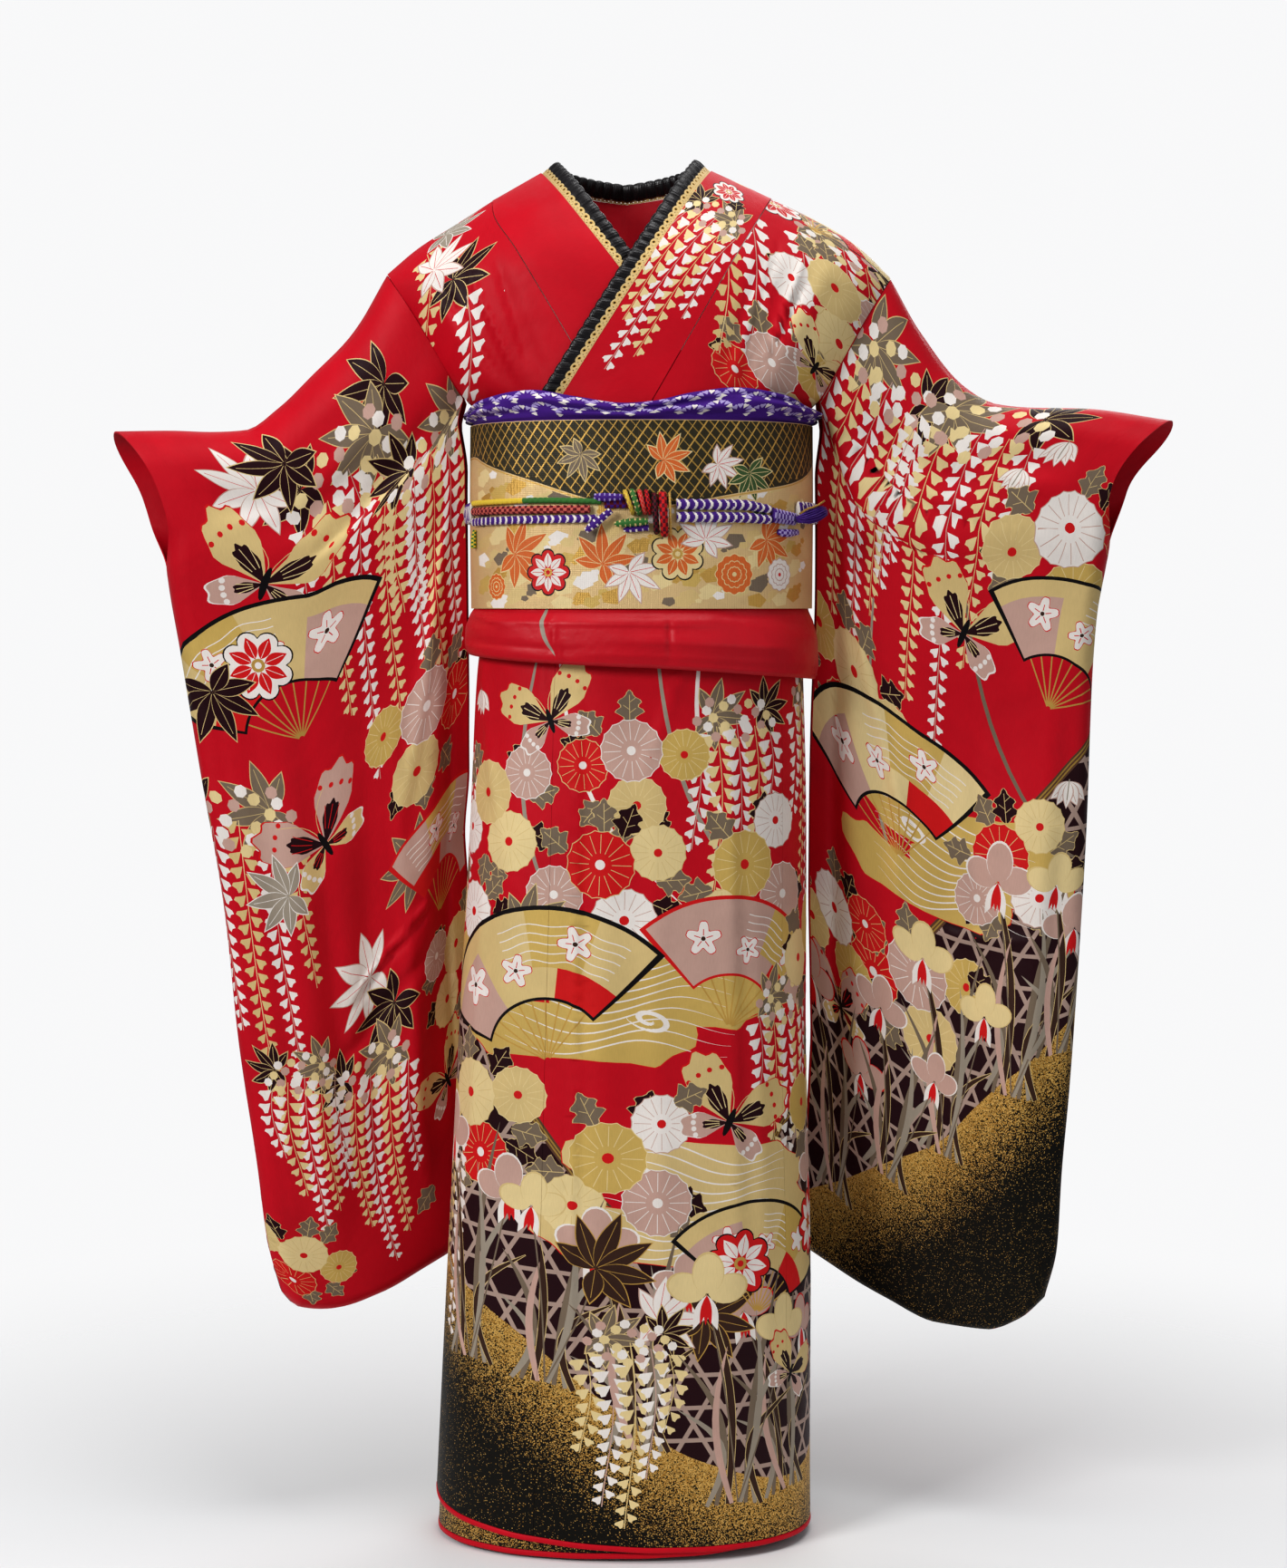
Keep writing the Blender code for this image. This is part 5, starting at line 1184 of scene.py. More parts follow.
LATTICE_PITCH, LATTICE_WIDTH = 33.0, 4.4
HILL_FADE = 150.0
# Past the shown part, motifs leave out lines finer than this, and the covered wrap has no motif.
HIDDEN_LINE = 2.4
SHOWN_TO, COVERED_FROM = 350, 1120.0
# How far a motif may reach, the step along a cloth's edge, and how much lower the back's print lies.
MOTIF_REACH = 150
EDGE_STEP = 7.0
SLEEVE_BACK_LOWER, BODY_BACK_LOWER = 12, 30


def motif_shapes(rows, upright=1, finest=0.0):
    """Every shape of a cloth's print in painting order. Upright -1 stands for a front half cloth.

    Shapes that are narrower than the finest width, from their area and edge, are left out.
    """
    shapes = []
    for kind, across, down, size, turn, tone in rows:
        for points, dye in turned(MOTIFS[kind](size, tone), turn, across, down):
            edge = np.linalg.norm(points - np.roll(points, 1, 0), axis=1).sum()
            if 2 * abs(signed_area(points)) > finest * edge:
                shapes.append((points * (1, upright), dye))
    return shapes


def lattice(low, high):
    """Open basket weave: three families of parallel strips."""
    low, high = np.array(low, float), np.array(high, float)
    middle, reach = (low + high) / 2, np.linalg.norm(high - low) / 2
    shapes = []
    for turn, shift in ((0.0, 0.5), (math.pi / 3, 0.0), (-math.pi / 3, 0.0)):
        along = np.array([math.cos(turn), math.sin(turn)])
        side = np.array([-along[1], along[0]])
        base = side @ middle
        first = math.floor((base - reach) / LATTICE_PITCH)
        steps = np.arange(first, math.ceil((base + reach) / LATTICE_PITCH) + 1)
        for place in (steps + shift) * LATTICE_PITCH:
            ways = along @ middle + np.linspace(-reach, reach, 5)
            line = np.array([along * way + side * place for way in ways])
            shapes.append((stroke(line, LATTICE_WIDTH), "lattice"))
    inside = [(clip_to(points, low, high), dye) for points, dye in shapes]
    return [(points, dye) for points, dye in inside if len(points) > 2]


def ground_shapes(shore, hill, low, high, upright=1):
    """Dark ground with its lattice, the crimson above the shore, the cane rail on it and the hill."""
    first, last = low[0] - 20, high[0] + 20
    across = np.linspace(first, last, 60)
    edge = read(shore, GROUND_COLUMNS, "down", across)
    top = read(hill, GROUND_COLUMNS, "down", across)
    floor = high[1] + 30
    here = (across >= low[0] - 8) & (across <= high[0] + 8)
    shore_top = edge[here].min() - 5
    dark = np.array([(first, shore_top), (last, shore_top), (last, floor), (first, floor)])
    shapes = [(dark, "night")]
    box_low, box_high = (low[0], shore_top), (high[0], min(top[here].max() + 5, high[1]))
    if box_high[1] > box_low[1]:
        shapes += lattice(box_low, box_high)
    above = np.stack([across, edge], -1)
    shapes.append((np.concatenate([above, [(last, low[1] - 30), (first, low[1] - 30)]]), "crimson"))
    for shift, wide, dye in ((0, 9.0, "cane"), (-2.4, 1.6, "old_gold"), (2.4, 1.6, "old_gold")):
        shapes.append((stroke(above + (0, shift), wide), dye))
    shapes.append((np.concatenate([np.stack([across, top], -1), [(last, floor), (first, floor)]]), "hill"))
    return [(points * (1, upright), dye) for points, dye in shapes]


def clip_to(points, low, high):
    """The part of an outline inside an upright rectangle, cut side by side.

    Along each side, points inside stay and every step across the side adds its crossing point.
    """
    for axis, bound, sign in ((0, low[0], 1), (0, high[0], -1), (1, low[1], 1), (1, high[1], -1)):
        if len(points) < 3:
            return points[:0]
        away = sign * (points[:, axis] - bound)
        if (away >= 0).all():
            continue
        after, beyond = np.roll(points, -1, 0), np.roll(away, -1)
        span = np.where(away == beyond, 1, away - beyond)
        crossing = points + (after - points) * (away / span)[:, None]
        keep = np.stack([away >= 0, (away >= 0) != (beyond >= 0)], 1).ravel()
        points = np.stack([points, crossing], 1).reshape(-1, 2)[keep]
    return points


def inside_outline(points, outline):
    """Even and odd crossings of a line to the right, for many points at once."""
    x, y = points[:, 0:1], points[:, 1:2]
    a, b = outline, np.roll(outline, -1, 0)
    spans = (a[:, 1] > y) != (b[:, 1] > y)
    rise = np.where(b[:, 1] == a[:, 1], 1, b[:, 1] - a[:, 1])
    reach = a[:, 0] + (y - a[:, 1]) / rise * (b[:, 0] - a[:, 0])
    return (spans & (x < reach)).sum(1) % 2 == 1


def signed_area(points):
    x, y = points[:, 0], points[:, 1]
    return (x * np.roll(y, -1) - np.roll(x, -1) * y).sum() / 2


def plain_grid(outline, pitch):
    """Evenly spaced points inside an outline, clear of its edge."""
    low, high = outline.min(0), outline.max(0)
    axes = [np.arange(low[k] + pitch, high[k] - pitch / 3, pitch) for k in (0, 1)]
    grid = np.stack(np.meshgrid(*axes, indexing="ij"), -1).reshape(-1, 2)
    grid = grid[inside_outline(grid, outline)]
    near = np.concatenate([np.linalg.norm(part[:, None] - outline[None], axis=-1).min(1)
                           for part in np.array_split(grid, 8)])
    return grid[near > 0.45 * pitch]


def split_long(points, longest):
    """The same outline with its long sides cut into equal steps, so that they bend with the cloth."""
    way = np.roll(points, -1, 0) - points
    counts = np.maximum(np.ceil(np.linalg.norm(way, axis=1) / longest), 1).astype(int)
    start = np.repeat(np.arange(len(points)), counts)
    step = (np.arange(counts.sum()) - np.repeat(np.cumsum(counts) - counts, counts)) / counts[start]
    return points[start] + way[start] * step[:, None]


LONGEST_SIDE = 18.0
LEAST_AREA = 0.05


def cut_cloth(outline, shapes, pitch, margin=0.0):
    """Cuts a flat cloth into triangles along its outline and the outline of every shape.

    Returns the flat points, the triangles and the number of the shape on top of each triangle,
    -1 where the bare ground shows. Shapes stay a margin inside the cloth's own rectangle.
    """
    low, high = outline.min(0), outline.max(0)
    pieces, owners = [outline], [-1]
    for number, (points, _) in enumerate(shapes):
        points = clip_to(points, low + margin, high - margin)
        if len(points) > 2 and abs(signed_area(points)) > LEAST_AREA:
            points = split_long(points, LONGEST_SIDE)
            pieces.append(points if signed_area(points) > 0 else points[::-1])
            owners.append(number)
    if signed_area(outline) < 0:
        pieces[0] = outline[::-1]
    everything = np.concatenate(pieces + [plain_grid(outline, pitch)])
    starts = np.concatenate([[0], np.cumsum([len(points) for points in pieces])])
    faces = [list(range(a, b)) for a, b in zip(starts[:-1], starts[1:])]
    found = delaunay_2d_cdt([Vector(point) for point in everything.tolist()], [], faces, 1, 1e-3, True)
    kept = [(face, max(owner)) for face, owner in zip(found[2], found[5]) if 0 in owner]
    triangles = np.array([face for face, _ in kept])
    tops = np.array(owners)[[top for _, top in kept]]
    return np.array([tuple(point) for point in found[0]]), triangles, tops


def arc_drop(down, arc, run):
    """Height lost down a cloth that turns over a ridge: a quarter ellipse, then straight down."""
    turn = np.clip(down / arc, 0, 1) * math.pi / 2
    return run * (1 - np.cos(turn)) + np.maximum(down - arc, 0)


def arc_length(drop, arc, run):
    """The way down the cloth for a height lost, which undoes arc_drop."""
    turn = np.arccos(np.clip(1 - drop / run, -1, 1))
    return np.where(drop < run, arc * turn / (math.pi / 2), arc + drop - run)


# Folds that come from handling, added to the solids' own: line ends, half width and rise in mm.
SKIRT_TUCKS = (
    (171, 4, 176, 940, 4, 2.0), (179, 4, 185, 940, 6, -1.3), (66, 90, 60, 900, 10, 1.8),
    (244, 60, 262, 900, 13, 2.4), (322, 24, 330, 700, 9, 2.2), (24, 10, 92, 260, 8, 2.2),
    (300, 4, 232, 190, 7, 2.0), (120, 4, 140, 130, 6, 1.6), (352, 200, 366, 900, 12, 2.4),
    (462, 20, 470, 900, 11, 2.0), (560, 8, 610, 300, 9, 2.0), (650, 20, 640, 900, 10, 2.2),
    (770, 40, 756, 880, 12, 2.0),
)
SLEEVE_TUCKS = {
    "right": ((44, 584, 214, 628, 5, 3.4), (44, 594, 214, 638, 6, -2.6), (12, 190, 120, 520, 10, 4.0),
              (30, 250, 60, 960, 11, -3.6), (112, 300, 118, 980, 13, 3.8), (226, 260, 214, 940, 14, -3.8),
              (296, 210, 300, 900, 12, 3.6), (10, 120, 236, 150, 11, -4.0), (60, 80, 300, 108, 12, 3.4)),
    "left": ((20, 200, 150, 500, 11, 4.2), (34, 240, 44, 940, 11, -3.6), (128, 280, 118, 960, 13, 4.0),
             (214, 250, 228, 900, 14, -3.8), (300, 220, 292, 800, 12, 3.6), (8, 110, 226, 146, 10, -4.0),
             (80, 70, 310, 104, 12, 3.6), (150, 560, 300, 540, 6, 2.6)),
}
BODY_TUCKS = {
    "left": ((30, 30, 70, 200, 5, -2.4), (64, 30, 96, 210, 4, 3.0), (84, 60, 92, 215, 4, -2.2)),
    "right": ((24, 60, 60, 215, 5, -2.4), (58, 40, 76, 215, 4, 3.0), (96, 40, 92, 205, 5, -2.4)),
}
# How far a sleeve's free inner edge leans towards the body, by the height below its fold.
SLEEVE_LEAN_COLUMNS = ("drop", "lean")
SLEEVE_LEAN = {
    "right": ((0, 0), (150, 0), (220, 11), (420, 11), (520, 9), (600, 0), (1100, 0)),
    "left": ((0, 0), (150, 0), (220, 10), (460, 11), (620, 9), (740, 3), (800, 0), (1100, 0)),
}


def skirt_place(along, down):
    points = skirt_point(along, np.clip(down / SKIRT_DOWN, 0, 1))
    points[:, :2] += unit(points[:, :2] * (1, 1.9)) * creases(SKIRT_TUCKS, along, down)[:, None]
    return points


def sleeve_place(side):
    """Places on a sleeve's flat cut: negative down is the front half, and the fold on top is 0."""
    def place(across, down):
        rim = np.clip((across - EDGE_ROUND * SLEEVE_WIDTH) / EDGE_ARC, 0, 1) * math.pi / 2
        u = np.minimum(across / SLEEVE_WIDTH, EDGE_ROUND) + (1 - EDGE_ROUND) * np.sin(rim)
        straight = SLEEVE_DOWN - BOTTOM_ARC
        drop = arc_drop(np.minimum(np.abs(down), straight), ARM_ARC, ARM_ARCH * SLEEVE_LENGTH)
        low = np.clip((np.abs(down) - straight) / BOTTOM_ARC, 0, 1) * math.pi / 2
        v = np.clip(drop / SLEEVE_LENGTH + (1 - BOTTOM_ROUND) * np.sin(low), 0, 1)
        points = np.empty((len(u), 3))
        for face, part in (("front", down < 0), ("back", down >= 0)):
            points[part] = sleeve_point(side, face, np.clip(u[part], 0, 1), v[part])
        edges = smooth_step(0, 30, across) * smooth_step(SLEEVE_ACROSS, SLEEVE_ACROSS - 40, across)
        points[:, 1] -= creases(SLEEVE_TUCKS[side], across, drop) * edges
        lean = read(SLEEVE_LEAN[side], SLEEVE_LEAN_COLUMNS, "lean", drop) * np.clip(1 - across / 110, 0, 1)
        points[:, 0] += lean if side == "right" else -lean
        return points
    return place


def body_place(side):
    """Places on a body cloth: across is X itself, negative down is the front half."""
    def place(across, down):
        points = np.empty((len(across), 3))
        for face, part, arc, run in (("front", down < 0, CHEST_ARC, CHEST_DROP),
                                     ("back", down >= 0, BLADE_ARC, BLADE_DROP)):
            x, drop = across[part], arc_drop(np.abs(down[part]), arc, run)
            z = shoulder(x) - drop
            out = layer_out(side, face, drop)
            if face == "front":
                seam = read(COLLAR_SEAM[side], COLLAR_SEAM_COLUMNS, "across", z)
                out = out + creases(BODY_CREASES[side] + BODY_TUCKS[side], np.abs(x - seam), drop)
            points[part] = trunk_point(x, z, out, face)
        return points
    return place


def body_outline(side):
    """The body cloth's own edge: collar seam, neck, back seam, waist, armhole and waist again."""
    share = np.linspace(0, 1, 70)
    sign = -1 if side == "right" else 1
    top = shoulder(sign * ARMHOLE_TOP)
    edges = {}
    for face, arc, run, way in (("front", CHEST_ARC, CHEST_DROP, -1), ("back", BLADE_ARC, BLADE_DROP, 1)):
        x, z = inner_line(side, face, share)
        edges[face, "inner"] = np.stack([x, way * arc_length(shoulder(x) - z, arc, run)], -1)
        z = top - trunk_drops(share) * (top - TRUNK_END)
        x = sign * read(ARMHOLE, ARMHOLE_COLUMNS, side, top - z)
        edges[face, "outer"] = np.stack([x, way * arc_length(shoulder(x) - z, arc, run)], -1)
        ends = np.linspace(edges[face, "inner"][-1], edges[face, "outer"][-1], 26)[1:-1, 0]
        edges[face, "waist"] = np.stack([ends, way * arc_length(shoulder(ends) - TRUNK_END, arc, run)], -1)
    return np.concatenate([
        edges["front", "inner"][::-1], edges["back", "inner"][1:], edges["back", "waist"],
        edges["back", "outer"][::-1], edges["front", "outer"][1:], edges["front", "waist"][::-1],
    ])


def rectangle(low, high, pitch):
    """A rectangle's edge as evenly spaced points."""
    counts = [max(2, round((high[k] - low[k]) / pitch)) for k in (0, 1)]
    x = np.linspace(low[0], high[0], counts[0] + 1)
    y = np.linspace(low[1], high[1], counts[1] + 1)
    return np.concatenate([
        np.stack([x[:-1], 0 * x[:-1] + low[1]], -1), np.stack([0 * y[:-1] + high[0], y[:-1]], -1),
        np.stack([x[:0:-1], 0 * x[:0:-1] + high[1]], -1), np.stack([0 * y[:0:-1] + low[0], y[:0:-1]], -1),
    ])


def grid_place(grid, across_size, down_size):
    """Places between the points of a grid of rows and columns, by their shares of the way."""
    rows, columns = grid.shape[:2]

    def place(across, down):
        r = np.clip(across / across_size, 0, 1) * (rows - 1)
        c = np.clip(down / down_size, 0, 1) * (columns - 1)
        r0, c0 = np.minimum(r.astype(int), rows - 2), np.minimum(c.astype(int), columns - 2)
        fr, fc = (r - r0)[:, None], (c - c0)[:, None]
        near = grid[r0, c0] * (1 - fc) + grid[r0, c0 + 1] * fc
        far = grid[r0 + 1, c0] * (1 - fc) + grid[r0 + 1, c0 + 1] * fc
        return near * (1 - fr) + far * fr
    return place


def surface(place, flat, step, facing):
    """Points and unit normals at flat places, from the slopes to close neighbours on both sides."""
    s, t = flat[:, 0], flat[:, 1]
    run = place(s + step, t) - place(s - step, t)
    fall = place(s, t + step) - place(s, t - step)
    return place(s, t), unit(np.cross(run, fall) * facing, 1e-12)


def joined_pairs(flat, triangles, pairs):
    """Triangles whose corners on a sewn edge use the same point as their partner's edge."""
    if pairs is None:
        return triangles
    sewn, partners = pairs(flat)
    keys = {tuple(key): k for k, key in enumerate(np.round(flat, 2).tolist())}
    same = np.arange(len(flat))
    for k in np.flatnonzero(sewn):
        same[k] = keys.get(tuple(np.round(partners[k], 2).tolist()), k)
    return same[triangles]


def free_edges(triangles):
    """Edges that only one triangle has, in that triangle's turning order, and the triangles."""
    edges = np.concatenate([triangles[:, [0, 1]], triangles[:, [1, 2]], triangles[:, [2, 0]]])
    _, where, counts = np.unique(np.sort(edges, 1), axis=0, return_inverse=True, return_counts=True)
    free = counts[where.ravel()] == 1
    return edges[free], np.tile(np.arange(len(triangles)), 3)[free]


def plain_skin(flat, triangles, outline, pitch):
    """The same cloth without its print, cut into larger triangles on the same edge points.

    Returns its flat points, its triangles and the place in it of each edge point of the print.
    """
    rim = free_edges(triangles)[0]
    used = np.unique(rim)
    points = np.concatenate([flat[used], plain_grid(outline, pitch)])
    edges = np.searchsorted(used, rim).tolist()
    found = delaunay_2d_cdt([Vector(point) for point in points.tolist()], edges, [], 1, 1e-4, True)
    first = np.array([ids[0] for ids in found[3]])
    back = np.zeros(len(points), int)
    back[first] = np.arange(len(first))
    twin = np.zeros(len(flat), int)
    twin[used] = back[:len(used)]
    triangles = np.array(found[2])
    return points[first], triangles[inside_outline(points[first][triangles].mean(1), outline)], twin


def add_object(name, data):
    """An object of some data, linked to the scene."""
    made = bpy.data.objects.new(name, data)
    bpy.context.scene.collection.objects.link(made)
    return made


def make_shell(name, outer, inner, twin, wall):
    """A closed cloth: its outer and inner skins lie half a wall out and in, and a rim joins them.

    A skin is its points, normals, triangles with sewn edges joined, and triangles before that.
    Returns the object, the outer triangle beside each face of the rim and that face's corners.
    """
    rim, owner = free_edges(outer[2])
    count = len(outer[0])
    verts = np.concatenate([outer[0] + outer[1] * wall / 2, inner[0] - inner[1] * wall / 2]) * MM
    quads = np.stack([rim[:, 1], rim[:, 0], twin[rim[:, 0]] + count, twin[rim[:, 1]] + count], -1)
    corners = np.concatenate([outer[2].ravel(), inner[2][:, ::-1].ravel() + count, quads.ravel()])
    small = np.unique(corners, return_inverse=True)
    verts, corners = verts[small[0]], small[1].ravel()
    triangles = len(outer[2]) + len(inner[2])
    starts = np.concatenate([np.arange(triangles) * 3, 3 * triangles + np.arange(len(quads)) * 4])
    mesh = bpy.data.meshes.new(name)
    mesh.vertices.add(len(verts))
    mesh.vertices.foreach_set("co", verts.astype(np.float32).ravel())
    mesh.loops.add(len(corners))
    mesh.loops.foreach_set("vertex_index", corners.astype(np.int32))
    mesh.polygons.add(len(starts))
    mesh.polygons.foreach_set("loop_start", starts.astype(np.int32))
    mesh.update(calc_edges=True)
    side = unit(np.cross(outer[0][rim[:, 1]] - outer[0][rim[:, 0]], outer[1][rim[:, 0]]), 1e-12)
    normals = np.concatenate([outer[1][outer[3].ravel()], -inner[1][inner[3][:, ::-1].ravel()],
                              np.repeat(side, 4, 0)])
    mesh.shade_smooth()
    mesh.normals_split_custom_set(normals.tolist())
    return add_object(name, mesh), owner, rim


def turning(place, flat, triangles, away):
    """How many of a cloth's triangles turn towards a direction, from -1 for none to 1 for all."""
    some = triangles[:: max(1, len(triangles) // 400)]
    corners = [place(flat[some[:, k], 0], flat[some[:, k], 1]) for k in range(3)]
    normal = np.cross(corners[1] - corners[0], corners[2] - corners[0])
    return float(np.sign((normal * away(corners[0], flat[some].mean(1))).sum(-1)).mean())


def signed_facing(place, flat, triangles):
    """Positive where triangles turn away from the garment's upright middle line."""
    return turning(place, flat, triangles, lambda points, _: points * (1, 1, 0))


def back_facing(place, flat, triangles):
    return turning(place, flat, triangles, lambda points, _: points * 0 + (0, 1, 0))


def half_facing(place, flat, triangles):
    """Positive where a cloth with its front half at negative down turns outwards on both halves."""
    return turning(place, flat, triangles, lambda _, places: np.sign(places[:, 1:2]) * (0, 1, 0))


def paint(piece, face_dyes, sizes, places, dust):
    """Stores each face's dye, its share of gold, its dust and the flat place of its corners."""
    mesh = piece.data
    corner = np.repeat(np.array(list(DYES.values()))[face_dyes], sizes, 0)
    dye = mesh.color_attributes.new("dye", "FLOAT_COLOR", "CORNER")
    opaque = np.concatenate([corner[:, :3], np.ones((len(corner), 1))], 1)
    dye.data.foreach_set("color", opaque.ravel())
    for name, values in (("gold", corner[:, 3]), ("dust", dust)):
        field = mesh.attributes.new(name, "FLOAT", "CORNER")
        field.data.foreach_set("value", values.astype(np.float32))
    flat = mesh.uv_layers.new(name="cloth")
    flat.data.foreach_set("uv", (places * MM).astype(np.float32).ravel())


def print_cloth(name, outline, place, shapes, wall, finish, lining=None, ground="crimson",
                inside="crimson", pitch=7.0, margin=0.0, pairs=None, hill=None, step=1.0, holes=(),
                facing=signed_facing):
    """One cloth from its flat cut: cut along its print, laid on its surface, walled and dyed."""
    flat, triangles, tops = cut_cloth(outline, shapes, pitch, margin)
    names = [ground] + [dye for _, dye in shapes]
    kept = np.array([names[top + 1] not in holes for top in tops])
    triangles, tops = triangles[kept], tops[kept]
    if holes:
        plain, plain_triangles, twin = flat, triangles, np.arange(len(flat))
    else:
        plain, plain_triangles, twin = plain_skin(flat, triangles, outline, pitch * 1.4)
    way = 1 if facing(place, flat, triangles) > 0 else -1
    skins = []
    for part, faces in ((flat, triangles[:, ::way]), (plain, plain_triangles[:, ::way])):
        skins.append((*surface(place, part, step, way), joined_pairs(part, faces, pairs), faces))
    piece, owner, rim = make_shell(name, *skins, twin, wall)
    dyes = np.array([DYE_NAMES.index(dye) for dye in names])[tops + 1]
    face_dyes = np.concatenate([dyes, np.full(len(plain_triangles), DYE_NAMES.index(inside)), dyes[owner]])
    sizes = np.repeat([3, 4], [len(triangles) + len(plain_triangles), len(rim)])
    depth = 0.0
    if hill:
        depth = np.abs(flat[:, 1]) - read(hill, GROUND_COLUMNS, "down", flat[:, 0])
    density = np.clip(1 - depth / HILL_FADE, 0.1, 1) + 0 * flat[:, 0]
    outer, inner = skins[0][3], skins[1][3][:, ::-1]
    dusty = np.repeat(dyes == DYE_NAMES.index("hill"), 3) * density[outer.ravel()]
    dust = np.concatenate([dusty, np.zeros(inner.size + 4 * len(rim))])
    around = flat[np.stack([rim[:, 1], rim[:, 0], rim[:, 0], rim[:, 1]], -1).ravel()]
    places = np.concatenate([flat[outer.ravel()], plain[inner.ravel()], around])
    paint(piece, face_dyes, sizes, places, dust)
    for cloth in (finish, lining or finish):
        piece.data.materials.append(cloth_material(cloth))
    inside_faces = np.zeros(len(sizes), np.int32)
    inside_faces[len(triangles):] = 1
    piece.data.polygons.foreach_set("material_index", inside_faces)
    return piece


def evened(grid, count):
    """The same sheet with its rows moved to equal steps along its middle column."""
    middle = grid[:, grid.shape[1] // 2]
    length = way_along(middle)
    at = np.linspace(0, length[-1], count)
    even = columns_at(at, length, grid.reshape(len(grid), -1), np.interp)
    return even.reshape(count, *grid.shape[1:]), length[-1]


def collar_rows(last):
    """Side, face and shares of the collar's four lengths, from the left front to the right front."""
    front, neck = np.linspace(0, last, 110), np.linspace(0, NECK_SHARE, 50)
    return (("left", "front", front[::-1]), ("left", "back", neck[1:]),
            ("right", "back", neck[-2::-1]), ("right", "front", front[1:]))


def front_share(drop):
    shares = np.linspace(0, 1, 4001)
    return float(np.interp(drop, trunk_drops(shares), shares))


def collar_grid():
    """The collar band as a sheet from its seam to its folded edge."""
    part = np.linspace(0, 1, 9)
    rows = []
    for side, face, share in collar_rows(front_share(COLLAR_END / -TRUNK_END)):
        share, across = np.meshgrid(share, part, indexing="ij")
        width = collar_width(side, face, share)
        rows.append(collar_point(side, face, share, COLLAR_GAP + across * (width - COLLAR_GAP)))
    return evened(np.concatenate(rows), 420)


def edge_frame():
    """Along the collar's folded edge: length, points, directions to the neck and outward sides."""
    edges, leans = [], []
    ridge_way = np.array(TRIM_LEAN["ridge"])
    for side, face, share in collar_rows(front_share(COLLAR_END / -TRUNK_END)):
        edge = collar_point(side, face, share, collar_width(side, face, share))
        ridge = ridge_way * (-1 if side == "left" else 1, 1, 1)
        if face == "front":
            x0, z0 = inner_line(side, face, share)
            flat = unit(np.stack([edge[:, 0] - x0, 0 * x0, edge[:, 2] - z0], -1))
            lean = flat + (ridge - flat) * smooth_step(-90, 0, edge[:, 2:3])
        else:
            lean = ridge + (np.array(TRIM_LEAN["nape"]) - ridge) * (share / NECK_SHARE)[:, None]
        edges.append(edge)
        leans.append(unit(lean))
    edges, leans = np.concatenate(edges), np.concatenate(leans)
    length = way_along(edges)
    normal = unit(np.cross(leans, np.gradient(edges, axis=0)))
    normal *= np.sign(-normal[0, 1])
    half = len(edges) // 2
    start = float(np.interp(TRIM_END["left"], edges[:half, 2], length[:half]))
    end = float(np.interp(-TRIM_END["right"], -edges[half:, 2], length[half:]))
    return length, edges, leans, normal, start, end


def trim_place(under):
    """Places beside the collar's edge: along it, and in mm from it towards the neck."""
    length, edges, leans, normal, _, _ = edge_frame()

    def place(along, gap):
        base, lean, out = (columns_at(along, length, field, np.interp)
                           for field in (edges, leans, normal))
        return base + lean * gap[:, None] + out * -under
    return place


def new_nodes(tree):
    """Small helpers to add nodes, sums and links to one node tree."""
    def put(kind, inputs=(), **settings):
        node = tree.nodes.new(kind)
        for key, value in settings.items():
            setattr(node, key, value)
        for key, value in dict(inputs).items():
            socket = node.inputs[key]
            if isinstance(value, bpy.types.NodeSocket):
                tree.links.new(value, socket)
            else:
                socket.default_value = value
        return node

    def count(operation, first, second=0.0, third=0.0, clamp=False):
        node = put("ShaderNodeMath", {0: first, 1: second, 2: third}, operation=operation, use_clamp=clamp)
        return node.outputs[0]
    return put, count


def shader_group(name, inputs, outputs):
    """An empty node group that takes places and some numbers, and gives other numbers."""
    tree = bpy.data.node_groups.new(name, "ShaderNodeTree")
    tree.interface.new_socket("Places", in_out="INPUT", socket_type="NodeSocketVector")
    for label in inputs:
        tree.interface.new_socket(label, in_out="INPUT", socket_type="NodeSocketFloat")
    for label in outputs:
        tree.interface.new_socket(label, in_out="OUTPUT", socket_type="NodeSocketFloat")
    return tree, tree.nodes.new("NodeGroupInput").outputs, tree.nodes.new("NodeGroupOutput").inputs


def woven_threads_group():
    """Height of crossing threads: a sine along each way, stronger along one, and uneven by noise."""
    tree, given, made = shader_group("woven_threads", ("Threads", "Slub"), ("Height", "Tone"))
    put, count = new_nodes(tree)
    split = put("ShaderNodeSeparateXYZ", {0: given["Places"]})
    turns = [count("MULTIPLY", split.outputs[k], given["Threads"]) for k in (0, 1)]
    waves = [count("SINE", count("MULTIPLY", turn, 2 * math.pi)) for turn in turns]
    stretched = put("ShaderNodeMapping", {"Vector": given["Places"], "Scale": (1.0, 0.12, 1.0)})
    slub = put("ShaderNodeTexNoise", {"Vector": stretched.outputs[0], "Scale": 900.0, "Detail": 3.0})
    uneven = count("MULTIPLY", slub.outputs[0], given["Slub"])
    weave = count("MULTIPLY_ADD", waves[0], 0.3, count("MULTIPLY", waves[1], 0.16))
    tree.links.new(count("ADD", weave, uneven), made["Height"])
    tree.links.new(count("MULTIPLY_ADD", slub.outputs[0], 0.16, 0.92), made["Tone"])
    return tree


